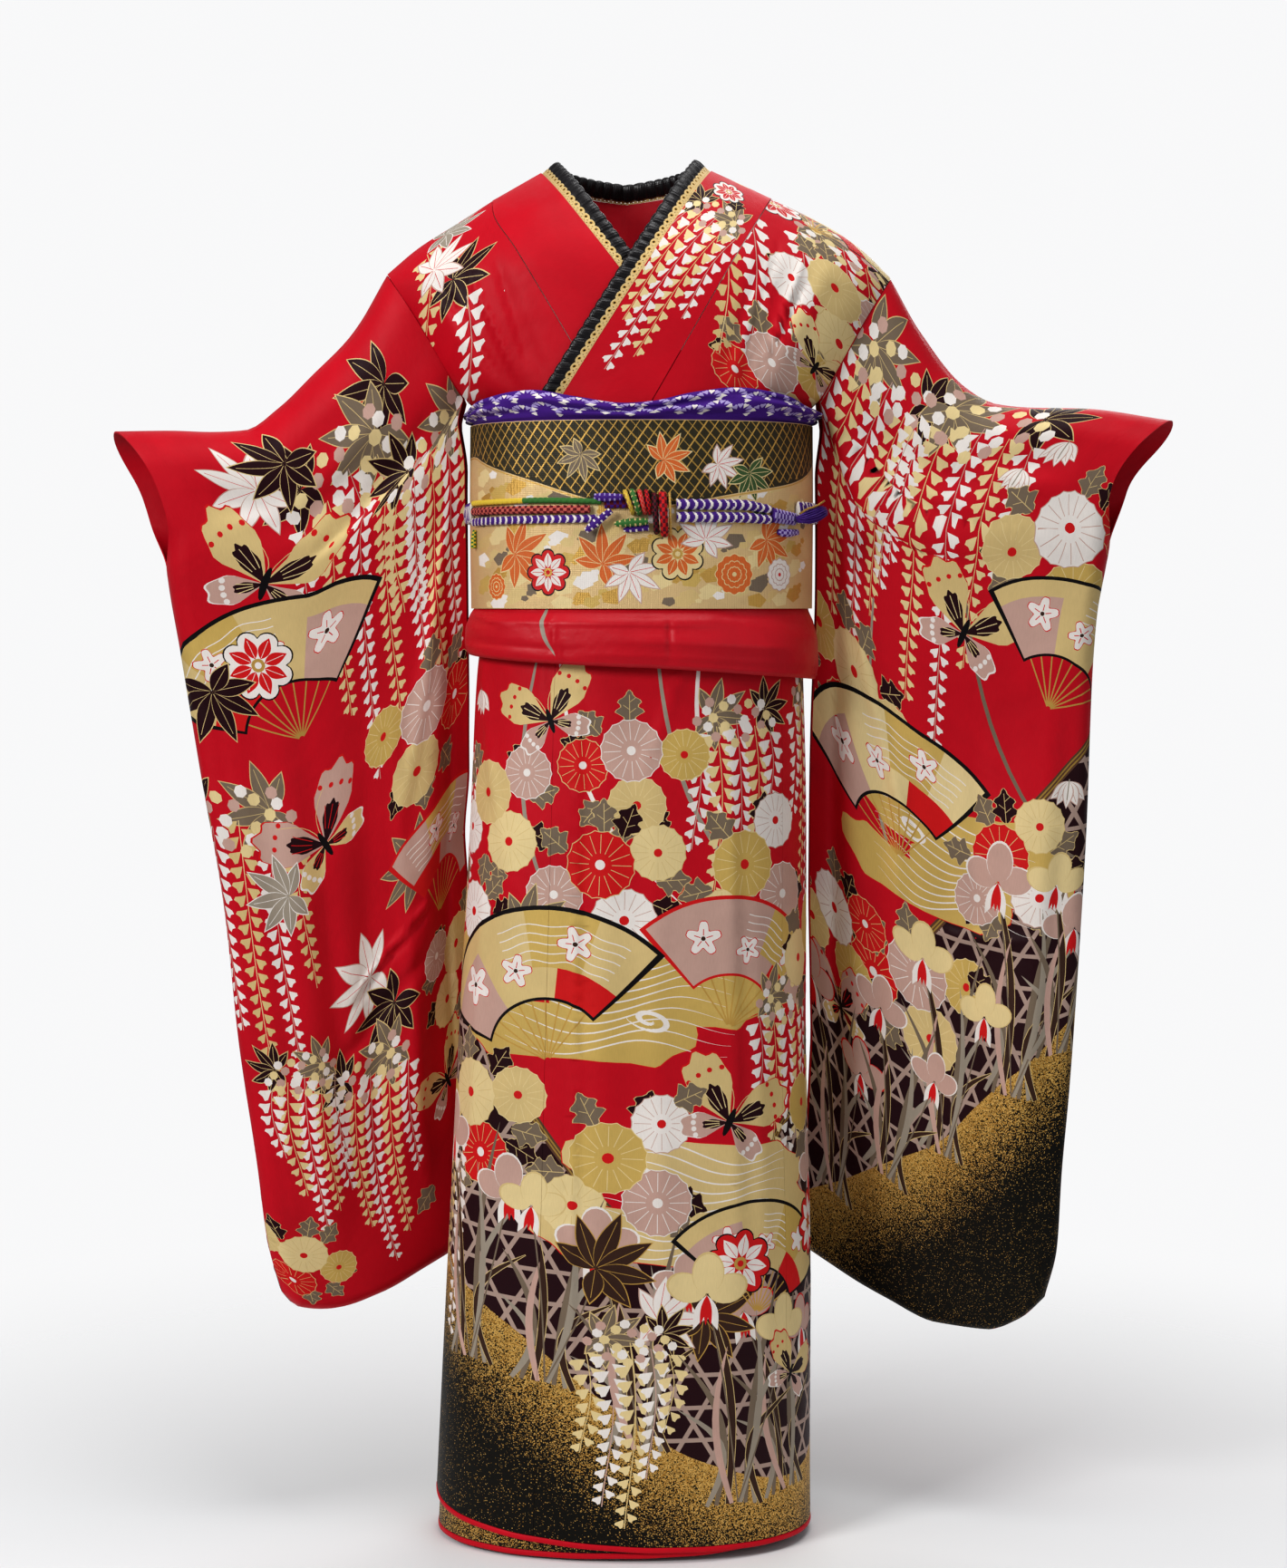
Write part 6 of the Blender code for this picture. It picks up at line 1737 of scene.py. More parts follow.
def dents_and_painted_shade_group():
    """Slow unevenness of worn cloth: faint dents, and tone and roughness that drift with them."""
    tree, given, made = shader_group("dents_and_painted_shade", ("Roughness",), ("Height", "Tone", "Roughness"))
    put, count = new_nodes(tree)
    broad = put("ShaderNodeTexNoise", {"Vector": given["Places"], "Scale": 14.0, "Detail": 3.0,
                                       "Distortion": 0.6})
    fine = put("ShaderNodeTexNoise", {"Vector": given["Places"], "Scale": 75.0, "Detail": 2.0})
    tree.links.new(count("MULTIPLY_ADD", fine.outputs[0], 0.25, broad.outputs[0]), made["Height"])
    # The tone follows the broad noise of the dents: painted shade where the cloth sinks, painted light where
    # it rises.
    tree.links.new(count("MULTIPLY_ADD", broad.outputs[0], 0.3, 0.85), made["Tone"])
    drift = count("MULTIPLY_ADD", count("SUBTRACT", fine.outputs[0], 0.5), 0.18, given["Roughness"])
    tree.links.new(drift, made["Roughness"])
    return tree


def gold_dust_group():
    """Grains of gold: a round grain in each small cell whose random number is below the density."""
    tree, given, made = shader_group("gold_dust", ("Density",), ("Mask", "Tone"))
    put, count = new_nodes(tree)
    masks = []
    for scale in (620.0, 1050.0):
        cells = put("ShaderNodeTexVoronoi", {"Vector": given["Places"], "Scale": scale})
        chance = put("ShaderNodeSeparateColor", {0: cells.outputs["Color"]})
        reach = count("MULTIPLY_ADD", given["Density"], 0.3, 0.3)
        grain = count("LESS_THAN", cells.outputs["Distance"], reach)
        masks.append(count("MULTIPLY", grain, count("LESS_THAN", chance.outputs[0], given["Density"])))
    some = count("GREATER_THAN", given["Density"], 0.01)
    tree.links.new(count("MULTIPLY", count("MAXIMUM", *masks), some), made["Mask"])
    tree.links.new(chance.outputs[1], made["Tone"])
    return tree


def group(name):
    makers = {"woven_threads": woven_threads_group, "dents_and_painted_shade": dents_and_painted_shade_group,
              "gold_dust": gold_dust_group}
    return bpy.data.node_groups.get(name) or makers[name]()


# Threads to the metre, slub, roughness, sheen, specular level, thread relief and dent relief in mm.
CLOTH_COLUMNS = ("threads", "slub", "roughness", "sheen", "gloss", "relief", "dents")
CLOTHS = {
    "printed_silk": (1500.0, 0.7, 0.5, 0.03, 0.16, 0.05, 1.1),
    "crimson_silk": (1500.0, 0.7, 0.4, 0.05, 0.3, 0.05, 2.0),
    "red_lining": (1200.0, 0.5, 0.5, 0.03, 0.16, 0.06, 1.0),
    "white_lining": (1200.0, 0.5, 0.6, 0.05, 0.2, 0.06, 0.8),
    "gold_brocade": (620.0, 1.2, 0.42, 0.03, 0.3, 0.22, 0.6),
    "tie_dyed_silk": (900.0, 1.0, 0.7, 0.06, 0.12, 0.2, 2.2),
    "gold_lace": (900.0, 1.4, 0.5, 0.05, 0.3, 0.25, 0.3),
    "black_ribbon": (700.0, 0.6, 0.34, 0.1, 0.5, 0.12, 1.4),
    "braided_silk": (1100.0, 0.9, 0.5, 0.06, 0.2, 0.2, 0.2),
    "fringe_silk": (1400.0, 0.6, 0.45, 0.1, 0.3, 0.08, 0.1),
}


def cloth_material(name):
    """Dyed cloth: its stored dye and gold, thread and dent relief, and gold grains where dusted."""
    found = bpy.data.materials.get(name)
    if found:
        return found
    sizes = dict(zip(CLOTH_COLUMNS, CLOTHS[name]))
    made = bpy.data.materials.new(name)
    made.use_nodes = True
    tree = made.node_tree
    put, count = new_nodes(tree)
    shader = tree.nodes["Principled BSDF"]
    places = put("ShaderNodeUVMap", uv_map="cloth").outputs[0]
    dye = put("ShaderNodeAttribute", attribute_name="dye").outputs["Color"]
    gold = put("ShaderNodeAttribute", attribute_name="gold").outputs["Fac"]
    dust = put("ShaderNodeAttribute", attribute_name="dust").outputs["Fac"]
    weave = put("ShaderNodeGroup", node_tree=group("woven_threads"))
    dents_and_shade = put("ShaderNodeGroup", node_tree=group("dents_and_painted_shade"))
    grains = put("ShaderNodeGroup", node_tree=group("gold_dust"))
    for node in (weave, dents_and_shade, grains):
        tree.links.new(places, node.inputs["Places"])
    weave.inputs["Threads"].default_value = sizes["threads"]
    weave.inputs["Slub"].default_value = sizes["slub"]
    dents_and_shade.inputs["Roughness"].default_value = sizes["roughness"]
    tree.links.new(dust, grains.inputs["Density"])
    # The dent tone is painted shade in the dents and painted light on their rises, multiplied into the dye.
    tone = count("MULTIPLY", weave.outputs["Tone"], dents_and_shade.outputs["Tone"])
    toned = put("ShaderNodeMix", {"Factor": 1.0, "A": dye, "B": tone}, data_type="RGBA",
                blend_type="MULTIPLY")
    grain = put("ShaderNodeMix", {"Factor": grains.outputs["Tone"]}, data_type="RGBA")
    grain.inputs["A"].default_value = (0.4, 0.19, 0.025, 1)
    grain.inputs["B"].default_value = (0.78, 0.52, 0.17, 1)
    dusted = put("ShaderNodeMix", {"Factor": grains.outputs["Mask"], "A": toned.outputs["Result"],
                                   "B": grain.outputs["Result"]}, data_type="RGBA")
    tree.links.new(dusted.outputs["Result"], shader.inputs["Base Color"])
    metal = count("MULTIPLY_ADD", grains.outputs["Mask"], 0.5, gold, clamp=True)
    tree.links.new(metal, shader.inputs["Metallic"])
    tree.links.new(dents_and_shade.outputs["Roughness"], shader.inputs["Roughness"])
    dents = put("ShaderNodeBump", {"Strength": 1.0, "Distance": sizes["dents"] * MM,
                                   "Height": dents_and_shade.outputs["Height"]})
    threads = put("ShaderNodeBump", {"Strength": 1.0, "Distance": sizes["relief"] * MM,
                                     "Height": weave.outputs["Height"], "Normal": dents.outputs[0]})
    tree.links.new(threads.outputs[0], shader.inputs["Normal"])
    shader.inputs["Sheen Weight"].default_value = sizes["sheen"]
    shader.inputs["Sheen Roughness"].default_value = 0.35
    shader.inputs["Specular IOR Level"].default_value = sizes["gloss"]
    return made


def finish_piece(piece, slot, *nodes):
    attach(piece, "root")
    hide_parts(*nodes)
    return piece


def user_sizes():
    return bpy.context.scene.furisode_sizes


def mirrored(rows, width, lower=0):
    """The rows of a print mirrored across a cloth of some width, and lower down it."""
    return tuple((kind, width - across, down + lower, size, -turn, tone)
                 for kind, across, down, size, turn, tone in rows)


def make_skirt():
    """Six printed panels: the wrap runs from the free edge on top round the back to the one below."""
    rows = SKIRT_FRONT + SKIRT_BACK
    rows += mirrored(rows, WRAP_LENGTH)
    for name, start, end in PANELS:
        low, high = (start + SEAM / 2, 0.0), (end - SEAM / 2, SKIRT_DOWN)
        last = min(end + MOTIF_REACH, COVERED_FROM)
        near = [row for row in rows if start - MOTIF_REACH < row[1] < last]
        shapes = ground_shapes(SKIRT_SHORE, SKIRT_HILL, low, high)
        shapes += motif_shapes(near, 1, HIDDEN_LINE if start > SHOWN_TO else 0)
        piece = print_cloth(name + "_cloth", rectangle(low, high, EDGE_STEP), skirt_place, shapes, WALL,
                            "printed_silk", "red_lining", pitch=user_sizes().print_pitch / MM,
                            hill=SKIRT_HILL)
        finish_piece(piece, "silk", name)


def make_sleeves():
    """Two sleeves: one cloth each, folded over the arm and sewn down its outer edge below the cuff."""
    low, high = (ARMHOLE_GAP, -SLEEVE_DOWN), (SLEEVE_ACROSS, SLEEVE_DOWN)
    other = {"left": "right", "right": "left"}

    def sewn(flat):
        edge = (flat[:, 0] > high[0] - 0.01) & (flat[:, 1] > CUFF_DOWN)
        bottom = flat[:, 1] > high[1] - 0.01
        return edge | bottom, flat * (1, -1)

    for side in ("left", "right"):
        plain = tuple(row for row in SLEEVE_PRINT[other[side]] if row[0] not in ("iris", "butterfly"))
        behind = mirrored(plain, SLEEVE_ACROSS, SLEEVE_BACK_LOWER)
        shapes = []
        for rows, upright, holder in ((SLEEVE_PRINT[side], -1, side), (behind, 1, other[side])):
            if holder == "left":
                shapes += ground_shapes(SLEEVE_SHORE, SLEEVE_HILL, (low[0], 10.0), high, upright)
            shapes += motif_shapes(rows, upright, 0 if upright < 0 else HIDDEN_LINE)
        outline = rectangle(low, high, EDGE_STEP)
        piece = print_cloth(f"sleeve_{side}_cloth", outline, sleeve_place(side), shapes, WALL,
                            "printed_silk", "red_lining", pitch=user_sizes().print_pitch / MM, margin=1.0,
                            pairs=sewn, hill=SLEEVE_HILL, step=1.5, facing=half_facing)
        finish_piece(piece, "silk", f"sleeve_{side}")


def make_upper_body():
    """Two lengths of printed cloth from the front waist over a shoulder to the back waist."""
    for side in ("left", "right"):
        rows = BODY_PRINT[side]
        shapes = motif_shapes(rows, -1)
        behind = tuple((kind, across, down + BODY_BACK_LOWER, size, -turn, tone)
                       for kind, across, down, size, turn, tone in rows)
        shapes += motif_shapes(behind, 1, HIDDEN_LINE)
        outline = body_outline(side)
        piece = print_cloth(f"body_{side}_cloth", outline, body_place(side), shapes, WALL,
                            "printed_silk", "white_lining", inside="white",
                            pitch=0.6 * user_sizes().print_pitch / MM, step=1.5, facing=half_facing)
        finish_piece(piece, "silk", f"body_{side}")
        round(abs(signed_area(outline)) * MM * MM, 4)


def make_collar():
    """The collar band, printed like the rest, that crosses left over right."""
    grid, length = collar_grid()
    place = grid_place(grid, length, COLLAR_FLAT)
    outline = rectangle((0, 0), (length, COLLAR_FLAT), 6.0)
    shapes = motif_shapes(COLLAR_PRINT)
    piece = print_cloth("collar_cloth", outline, place, shapes, COLLAR_WALL, "printed_silk", pitch=6.0,
                        step=4.0)
    finish_piece(piece, "collar_silk", "collar")


def make_lace():
    """Scalloped gold lace along the collar's edge: half waves on its free side, round eyelets inside."""
    start, end = edge_frame()[4:]
    count = int((end - start) / LACE_PITCH)
    along = np.linspace(start, start + count * LACE_PITCH, count * 8 + 1)
    free = LACE_TO - LACE_DEPTH * (1 - np.abs(np.sin(math.pi * (along - start) / LACE_PITCH)) ** 0.7)
    sewn = np.linspace(start + count * LACE_PITCH, start, count * 2)
    outline = np.concatenate([np.stack([along, free], -1), np.stack([sewn, 0 * sewn + LACE_FROM], -1)])
    shapes = []
    for k in range(count):
        middle = start + (k + 0.5) * LACE_PITCH
        shapes.append((disc(1.9, (middle, LACE_TO - 3.3), 12), "gold"))
        shapes.append((disc(1.25, (middle, LACE_TO - 3.3), 10), "hole"))
        for shift in (-0.25, 0.25):
            shapes.append((disc(0.55, (middle + shift * LACE_PITCH, LACE_FROM + 1.7), 6), "hole"))
        shapes.append((disc(0.6, (middle + 0.5 * LACE_PITCH, LACE_TO - 4.6), 6), "hole"))
    piece = print_cloth("collar_lace_band", outline, trim_place(LACE_UNDER), shapes, LACE_WALL, "gold_lace",
                        ground="pale_gold", inside="pale_gold", pitch=4.0, step=2.0, holes=("hole",))
    finish_piece(piece, "lace", "collar_lace")


def make_ruffle():
    """Puffy gathered ribbon: an oval ring that swells between its gathers, crimped along its free edge."""
    length, edges, leans, normal, start, end = edge_frame()
    along = np.linspace(start, end, int((end - start) / 0.8))
    phase = along / RUFFLE_PITCH + 0.18 * np.sin(along / 37) + 0.12 * np.sin(along / 13.7)
    puff = np.abs(np.sin(math.pi * phase)) ** 0.6
    angle = full_turn(16)
    middle, half = (RUFFLE_FROM + RUFFLE_TO) / 2, (RUFFLE_TO - RUFFLE_FROM) / 2
    crimp = 0.3 * np.sin(along[:, None] * 2.3 + 2.5 * np.cos(angle))
    across = middle + np.cos(angle) * (half - 1.4 + 1.4 * puff)[:, None]
    height = np.sin(angle) * (0.9 + 2.3 * puff)[:, None] * (1 + 0.2 * np.cos(angle)) + crimp
    ends = smooth_step(0, 5, along - start) * smooth_step(0, 5, end - along)
    height = height * np.maximum(ends, 0.1)[:, None]
    base, lean, out = (columns_at(along, length, field, np.interp) for field in (edges, leans, normal))
    rings = base[:, None] + lean[:, None] * across[..., None]
    rings = rings + out[:, None] * (height - RUFFLE_UNDER)[..., None]
    dyes = np.full((len(along) - 1, len(angle)), DYE_NAMES.index("black"))
    piece = make_tube("collar_ruffle_band", rings, dyes, along, "black_ribbon")
    finish_piece(piece, "ribbon", "collar_ruffle")


def make_tube(name, rings, dyes, along, finish):
    """A closed tube from rings of points, with a fan of triangles over each end."""
    count, sides = rings.shape[:2]
    ends = rings[[0, -1]].mean(1)
    verts = np.concatenate([rings.reshape(-1, 3), ends]) * MM
    r, c = np.meshgrid(np.arange(count - 1), np.arange(sides), indexing="ij")
    r, c = r.ravel(), c.ravel()
    c1 = (c + 1) % sides
    quads = np.stack([r * sides + c, r * sides + c1, (r + 1) * sides + c1, (r + 1) * sides + c], -1)
    k = np.arange(sides)
    k1 = (k + 1) % sides
    first = np.stack([0 * k + count * sides, k1, k], -1)
    last = np.stack([0 * k + count * sides + 1, (count - 1) * sides + k, (count - 1) * sides + k1], -1)
    forward = rings[1].mean(0) - rings[0].mean(0)
    side = np.cross(rings[0, 0] - ends[0], rings[0, 1] - ends[0])
    if forward @ side < 0:
        quads, first, last = quads[:, ::-1], first[:, ::-1], last[:, ::-1]
    mesh = bpy.data.meshes.new(name)
    mesh.from_pydata(verts.tolist(), [], quads.tolist() + first.tolist() + last.tolist())
    mesh.shade_smooth()
    piece = add_object(name, mesh)
    all_dyes = np.concatenate([dyes.ravel(), np.full(sides, dyes[0, 0]), np.full(sides, dyes[-1, 0])])
    sizes = np.array([4] * len(quads) + [3] * (2 * sides))
    vertex = np.zeros(len(mesh.loops), np.int32)
    mesh.loops.foreach_get("vertex_index", vertex)
    girth = np.linalg.norm(rings[0] - np.roll(rings[0], 1, 0), axis=-1).sum()
    u = np.concatenate([np.repeat(along, sides), along[[0, -1]]])[vertex]
    v = np.concatenate([np.tile(np.arange(sides) * girth / sides, count), [0, 0]])[vertex]
    paint(piece, all_dyes, sizes, np.stack([u, v], -1), np.zeros(len(vertex)))
    mesh.materials.append(cloth_material(finish))
    return piece


FOLD_CREASES = (
    (60, 26, 330, 22, 5, 2.6), (20, 48, 210, 58, 6, -2.4), (180, 40, 420, 44, 6, 2.8),
    (300, 14, 470, 24, 5, -2.2), (10, 10, 120, 30, 5, 2.4), (240, 62, 440, 60, 5, -2.0),
    (520, 20, 760, 26, 7, 2.6), (560, 44, 880, 40, 6, -2.2), (700, 54, 960, 50, 6, 2.0),
    (150, 12, 164, 74, 3, 2.2), (262, 10, 268, 76, 3, -2.0),
)


def ring_angles(ring):
    """Angles round a ring against the length of cloth, from the back middle."""
    angles = np.linspace(math.pi / 2, math.pi / 2 + 2 * math.pi, 1441)
    x, y = ring_point(angles, *ring, 0)
    return flat_way(x, y), angles


def ring_sewn(length):
    def sewn(flat):
        return flat[:, 0] > length - 0.01, flat - (length, 0)
    return sewn


def make_waist_fold():
    """The fold of cloth below the obi: it bulges out, turns under and has soft creases along it."""
    length, angles = ring_angles(FOLD_RING)
    profile = np.array(FOLD_PROFILE)
    way = np.concatenate([[0], np.cumsum(np.hypot(np.diff(profile[:, 0]) * 65, np.diff(profile[:, 1])))])

    def place(along, down):
        angle = np.interp(along, length, angles)
        drop, out = (np.interp(down, way, profile[:, k]) for k in (0, 1))
        front = (along - length[-1] / 2) + 240
        fade = smooth_step(0, 12, down) * smooth_step(way[5] + 2, way[4] - 8, down)
        lift = creases(FOLD_CREASES, front % length[-1], down) * fade
        return fold_point(angle, drop, out + lift)

    low, high = (0.0, 0.0), (float(length[-1]), float(way[-1]))
    shapes = motif_shapes((("reed", length[-1] / 2 - 96, 6, 52, 0.1, "mist"),))
    piece = print_cloth("waist_fold_cloth", rectangle(low, high, 4.0), place, shapes, WALL, "crimson_silk",
                        "red_lining", pitch=4.5, margin=1.0, pairs=ring_sewn(length[-1]))
    finish_piece(piece, "silk", "waist_fold")


OBI_PRINT = (
    ("spray", -134, 132, 42, 0.5, "rust"), ("big", -96, 150, 22, 0.0, "white"),
    ("spray", -40, 142, 40, -0.6, "rust"), ("spray", -14, 150, 34, 1.5, "white"),
    ("big", 34, 132, 26, 0.4, "rust"), ("spray", 62, 118, 34, -0.9, "white"),
    ("layered", 92, 152, 20, 0.0, "rust"), ("spray", 128, 118, 36, 0.8, "rust"),
    ("layered", 146, 152, 16, 0.0, "white"), ("leaf", 112, 96, 22, -0.6, "moss"),
    ("layered", -160, 164, 13, 0.0, "rust"),
)
OBI_SPRIGS = ((20, 40, "rust"), (74, 44, "white"), (108, 52, "moss"), (-62, 34, "ash"))
FLECK_STEPS = (0.618034, 0.7548777)
OBI_FLECKS = ("pale_gold", "gold", "butter", "yellow", "white", "gold", "cream", "pale_gold", "ash", "butter")


def obi_shapes(length):
    """The obi's weave: cream ground full of gold flecks, flowers, and a dark arc of lattice above."""
    middle = length / 2
    shapes = []
    for k in range(330):
        shift, drop = (k * step % 1 for step in FLECK_STEPS)
        across, down = middle - 188 + 376 * shift, 48 + 134 * drop
        wide, turn = 6.5 + 3.5 * math.sin(k * 1.7), k * 2.4
        fleck = polar(np.arange(5) * 2 * math.pi / 5 + turn, wide) * (1.25, 0.8) + (across, down)
        shapes.append((fleck, OBI_FLECKS[k % len(OBI_FLECKS)]))
    for k in range(14):
        across = 24 + k * (length - 48) / 13
        if abs(across - middle) > 200:
            patch = cloud_patch(across, 128 + 26 * math.sin(k * 2.4), 23, 15)
            shapes.append((patch, ("pale_gold", "gold")[k % 2]))
    for kind, across, down, size, turn, tone in OBI_PRINT:
        shapes += turned(MOTIFS[kind](size, tone), turn, middle + across, down)
    across = np.linspace(-10, length + 10, 90)
    arc = 84 - 34 * ((across - middle - 18) / 175) ** 2 + 4 * np.sin(across / 34)
    arc = np.maximum(arc, 40 + 6 * np.sin(across / 60))
    rim = np.stack([across, arc], -1)
    shapes.append((np.concatenate([rim, [(length + 10, -10), (-10, -10)]]), "olive"))
    share = np.linspace(0, 1, 24)[:, None]
    for k, place in enumerate(np.arange(-40, length + 30, 5.6)):
        lean = (88.0, -64.0)[k % 2]
        path = np.array([[place, -4.0]]) + np.array([[lean, 92.0]]) * share
        path = path[path[:, 1] < np.interp(path[:, 0], across, arc) - 2]
        if len(path) > 2:
            shapes.append((stroke(path, 1.2 + 0.4 * math.sin(k * 1.9)), ("old_gold", "gold")[k % 2]))
    for k, (place, down, tone) in enumerate(OBI_SPRIGS):
        shapes += turned(leaf_spray(30 - 3 * (k % 2), tone), 0.8 * k, middle + place, down)
    shapes.append((stroke(rim, 3.4), "ivory"))
    shapes.append((stroke(rim, 1.2), "gold"))
    return shapes


def brocade_piece(node, size, place, shapes, pitch, **settings):
    """A rectangle of the obi's brocade, from its flat size."""
    piece = print_cloth(node + "_cloth", rectangle((0.0, 0.0), size, pitch), place, shapes, OBI_WALL,
                        "gold_brocade", ground="ivory", inside="ivory", pitch=pitch, **settings)
    return finish_piece(piece, "brocade", node)


def make_obi():
    """The obi round the waist: one band of brocade, its pattern facing the front."""
    length, angles = ring_angles(OBI_RINGS[1][1:])

    def place(along, down):
        return obi_point(np.interp(along, length, angles), OBI_TOP - down, 0)

    piece = brocade_piece("obi_band", (float(length[-1]), OBI_HIGH), place, obi_shapes(length[-1]), 6.0,
                          margin=0.6, pairs=ring_sewn(length[-1]), step=2.0)


def make_drum():
    """The obi's flat drum: its inner layer lies on the obi and its outer one stands off it."""
    profile = np.array(DRUM_PROFILE, float)
    way = flat_way(*profile.T)
    at = np.linspace(0, way[-1], 110)
    y, z = smooth_or_line(at, way, profile[:, 0]), smooth_or_line(at, way, profile[:, 1])
    x = np.linspace(-DRUM_HALF, DRUM_HALF, 41)
    row, x = np.meshgrid(np.arange(len(at)), x, indexing="ij")
    depth, height = y[row], z[row]
    middle = obi_surface_depth(0 * x, 0, True)
    snug = obi_surface_depth(x, depth - middle, True)
    wrap = read(DRUM_WRAP, DRUM_WRAP_COLUMNS, "share", depth)
    loose = depth + (obi_surface_depth(x, 0, True) - middle) * wrap
    blend = smooth_step(way[1], way[2], at)[row]
    grid = np.stack([x, snug + (loose - snug) * blend, height], -1)
    shapes = []
    for k in range(16):
        across, down = 22 + 86 * (k % 4) + 20 * math.sin(k), 60 + 112 * (k // 4)
        tone = ("red", "white", "cream", "pink")[k % 4]
        patch = cloud_patch(down, across, 34, 20)
        shapes.append((patch, ("gold", "pale_gold", "orange", "moss")[(k * 3) % 4]))
        shapes += turned(layered_flower(17, tone), k * 0.7, down, across)
    size = (float(way[-1]), 2 * DRUM_HALF)
    piece = brocade_piece("obi_drum", size, grid_place(grid, *size), shapes, 7.0, step=3.0,
                          facing=back_facing)


def make_tail():
    """The obi's tail, which hangs below the drum."""
    tail = np.array(TAIL_PROFILE)
    rows = np.linspace(0, 1, 24) * (len(tail) - 1)
    y, z = (np.interp(rows, np.arange(len(tail)), tail[:, k]) for k in (0, 1))
    row, x = np.meshgrid(np.arange(24), np.linspace(-DRUM_HALF, DRUM_HALF, 41), indexing="ij")
    curve = obi_surface_depth(x, 0, True) - obi_surface_depth(0 * x, 0, True)
    grid = np.stack([x, y[row] + curve * TAIL_WRAP, z[row]], -1)
    shapes = []
    looks = (("gold", "white"), ("orange", "pink"), ("pale_gold", "red"), ("moss", "cream"))
    for k, (dye, tone) in enumerate(looks):
        shapes.append((cloud_patch(96, 40 + 76 * k, 26, 22), dye))
        shapes += turned(layered_flower(15, tone), 0.3, 98, 42 + 76 * k)
    size = (TAIL_LONG, 2 * DRUM_HALF)
    piece = brocade_piece("obi_tail", size, grid_place(grid, *size), shapes, 7.0, step=3.0,
                          facing=back_facing)


def make_hand():
    """The obi's hand end, a flat roll that goes through the drum and shows at both sides."""
    long, deep, high = HAND_SIZE
    across = np.linspace(-long / 2, long / 2, 60)
    curve = obi_surface_depth(across, 0, True) - obi_surface_depth(0 * across, 0, True)
    line = np.stack([across, HAND_PLACE[0] + curve * HAND_WRAP, HAND_PLACE[1] + 0 * across], -1)
    turn = full_turn(28)
    ring = np.stack([0 * turn, np.sign(np.cos(turn)) * np.abs(np.cos(turn)) ** 0.35 * deep / 2,
                     np.sign(np.sin(turn)) * np.abs(np.sin(turn)) ** 0.12 * high / 2], -1)
    dyes = np.full((59, 28), DYE_NAMES.index("ivory"))
    dyes[6:14], dyes[46:54] = DYE_NAMES.index("gold"), DYE_NAMES.index("gold")
    piece = make_tube("obi_hand_cloth", line[:, None] + ring, dyes, across + long / 2, "gold_brocade")
    finish_piece(piece, "brocade", "obi_hand")


def make_back_bow():
    """The obi's drum, tail and hand end at the back."""
    make_drum()
    make_tail()
    make_hand()


def smooth_or_line(at, knots, values):
    """A path through a profile that may turn back on itself: short running means of straight steps."""
    line = np.interp(at, knots, values)
    padded = np.concatenate([np.full(4, line[0]), line, np.full(4, line[-1])])
    soft = np.convolve(padded, np.ones(5) / 5, "same")[4:-4]
    soft[:3], soft[-3:] = line[:3], line[-3:]
    return soft


def make_scarf():
    """The obi scarf: a soft roll of tie-dyed silk with long folds and small tied knots in leaf shapes."""
    length, angles = ring_angles(SCARF_RINGS[0][1:])
    size = (float(length[-1]), SCARF_FLAT)

    def place(along, down):
        angle = np.interp(along, length, angles)
        share = np.interp(down, (0, 46, SCARF_FLAT), (1, 0, -1))
        front = along - length[-1] / 2
        soft = smooth_step(0, 9, down) * smooth_step(47, 36, down)
        lift = soft * (2.2 * np.sin(down / 4.2 + front / 44) + 1.2 * np.sin(down / 2.9 - front / 27))
        return scarf_point(angle, share, lift)

    shapes = []
    for k, middle in enumerate(np.arange(10, size[0] - 8, 11.5)):
        for step in range(7):
            turn = -1.57 + (step - 3) * 0.5 + 0.3 * math.sin(k * 2.1)
            at = polar(turn, 9.5, (middle, (14, 34)[k % 2] + 3 * math.sin(k * 1.3)))
            if 2 < at[1] < 44:
                knot = (WISTERIA_DROP * 7.0 - (3.5, 0), "lavender" if step % 3 else "white")
                shapes += turned([knot], turn, *at)
    piece = print_cloth("obi_scarf_cloth", rectangle((0.0, 0.0), size, 4.0), place, shapes, SCARF_WALL,
                        "tie_dyed_silk", ground="violet", inside="violet", pitch=4.0, margin=0.6,
                        pairs=ring_sewn(size[0]), step=1.5)
    finish_piece(piece, "tie_dye", "obi_scarf")


# The cord's strands: pattern, repeat along it in mm, and its two dyes.
CORD_LOOKS = {
    "cord_yellow": ("halves", 6.0, "lemon", "leaf_green"), "cord_red": ("plait", 7.0, "maroon", "salmon"),
    "cord_purple_left": ("zigzag", 7.5, "violet", "white"),
    "cord_braid_upper": ("zigzag", 8.0, "violet", "white"),
    "cord_braid_lower": ("zigzag", 8.0, "violet", "white"),
    "cord_gather": ("plait", 5.0, "violet", "lavender"), "cord_knot": ("plait", 6.0, "violet", "maroon"),
    "cord_bow_upper": ("ticks", 5.0, "violet", "lavender"),
    "cord_bow_lower": ("ticks", 6.0, "violet", "white"),
    "cord_bow_green": ("ticks", 5.0, "leaf_green", "cream"),
    "cord_bow_right": ("ticks", 6.0, "violet", "white"),
    "cord_end_loop": ("plait", 6.0, "violet", "lavender"),
    "cord_loop_yellow": ("plait", 5.0, "lemon", "gold"),
    "cord_loop_green": ("ticks", 5.0, "leaf_green", "cream"),
    "cord_loop_red": ("plait", 4.5, "scarlet", "salmon"),
    "cord_loop_red_second": ("plait", 5.0, "maroon", "scarlet"),
    "cord_loop_dark": ("plait", 6.0, "maroon", "black"),
    "cord_loop_wide": ("plait", 7.0, "scarlet", "maroon"),
    "cord_loop_edge": ("ticks", 3.2, "gold", "cream"),
    "cord_yellow_end": ("plait", 4.0, "lemon", "leaf_green"),
    "cord_behind": ("zigzag", 8.0, "violet", "white"),
}
BRAID_RELIEF = 0.07


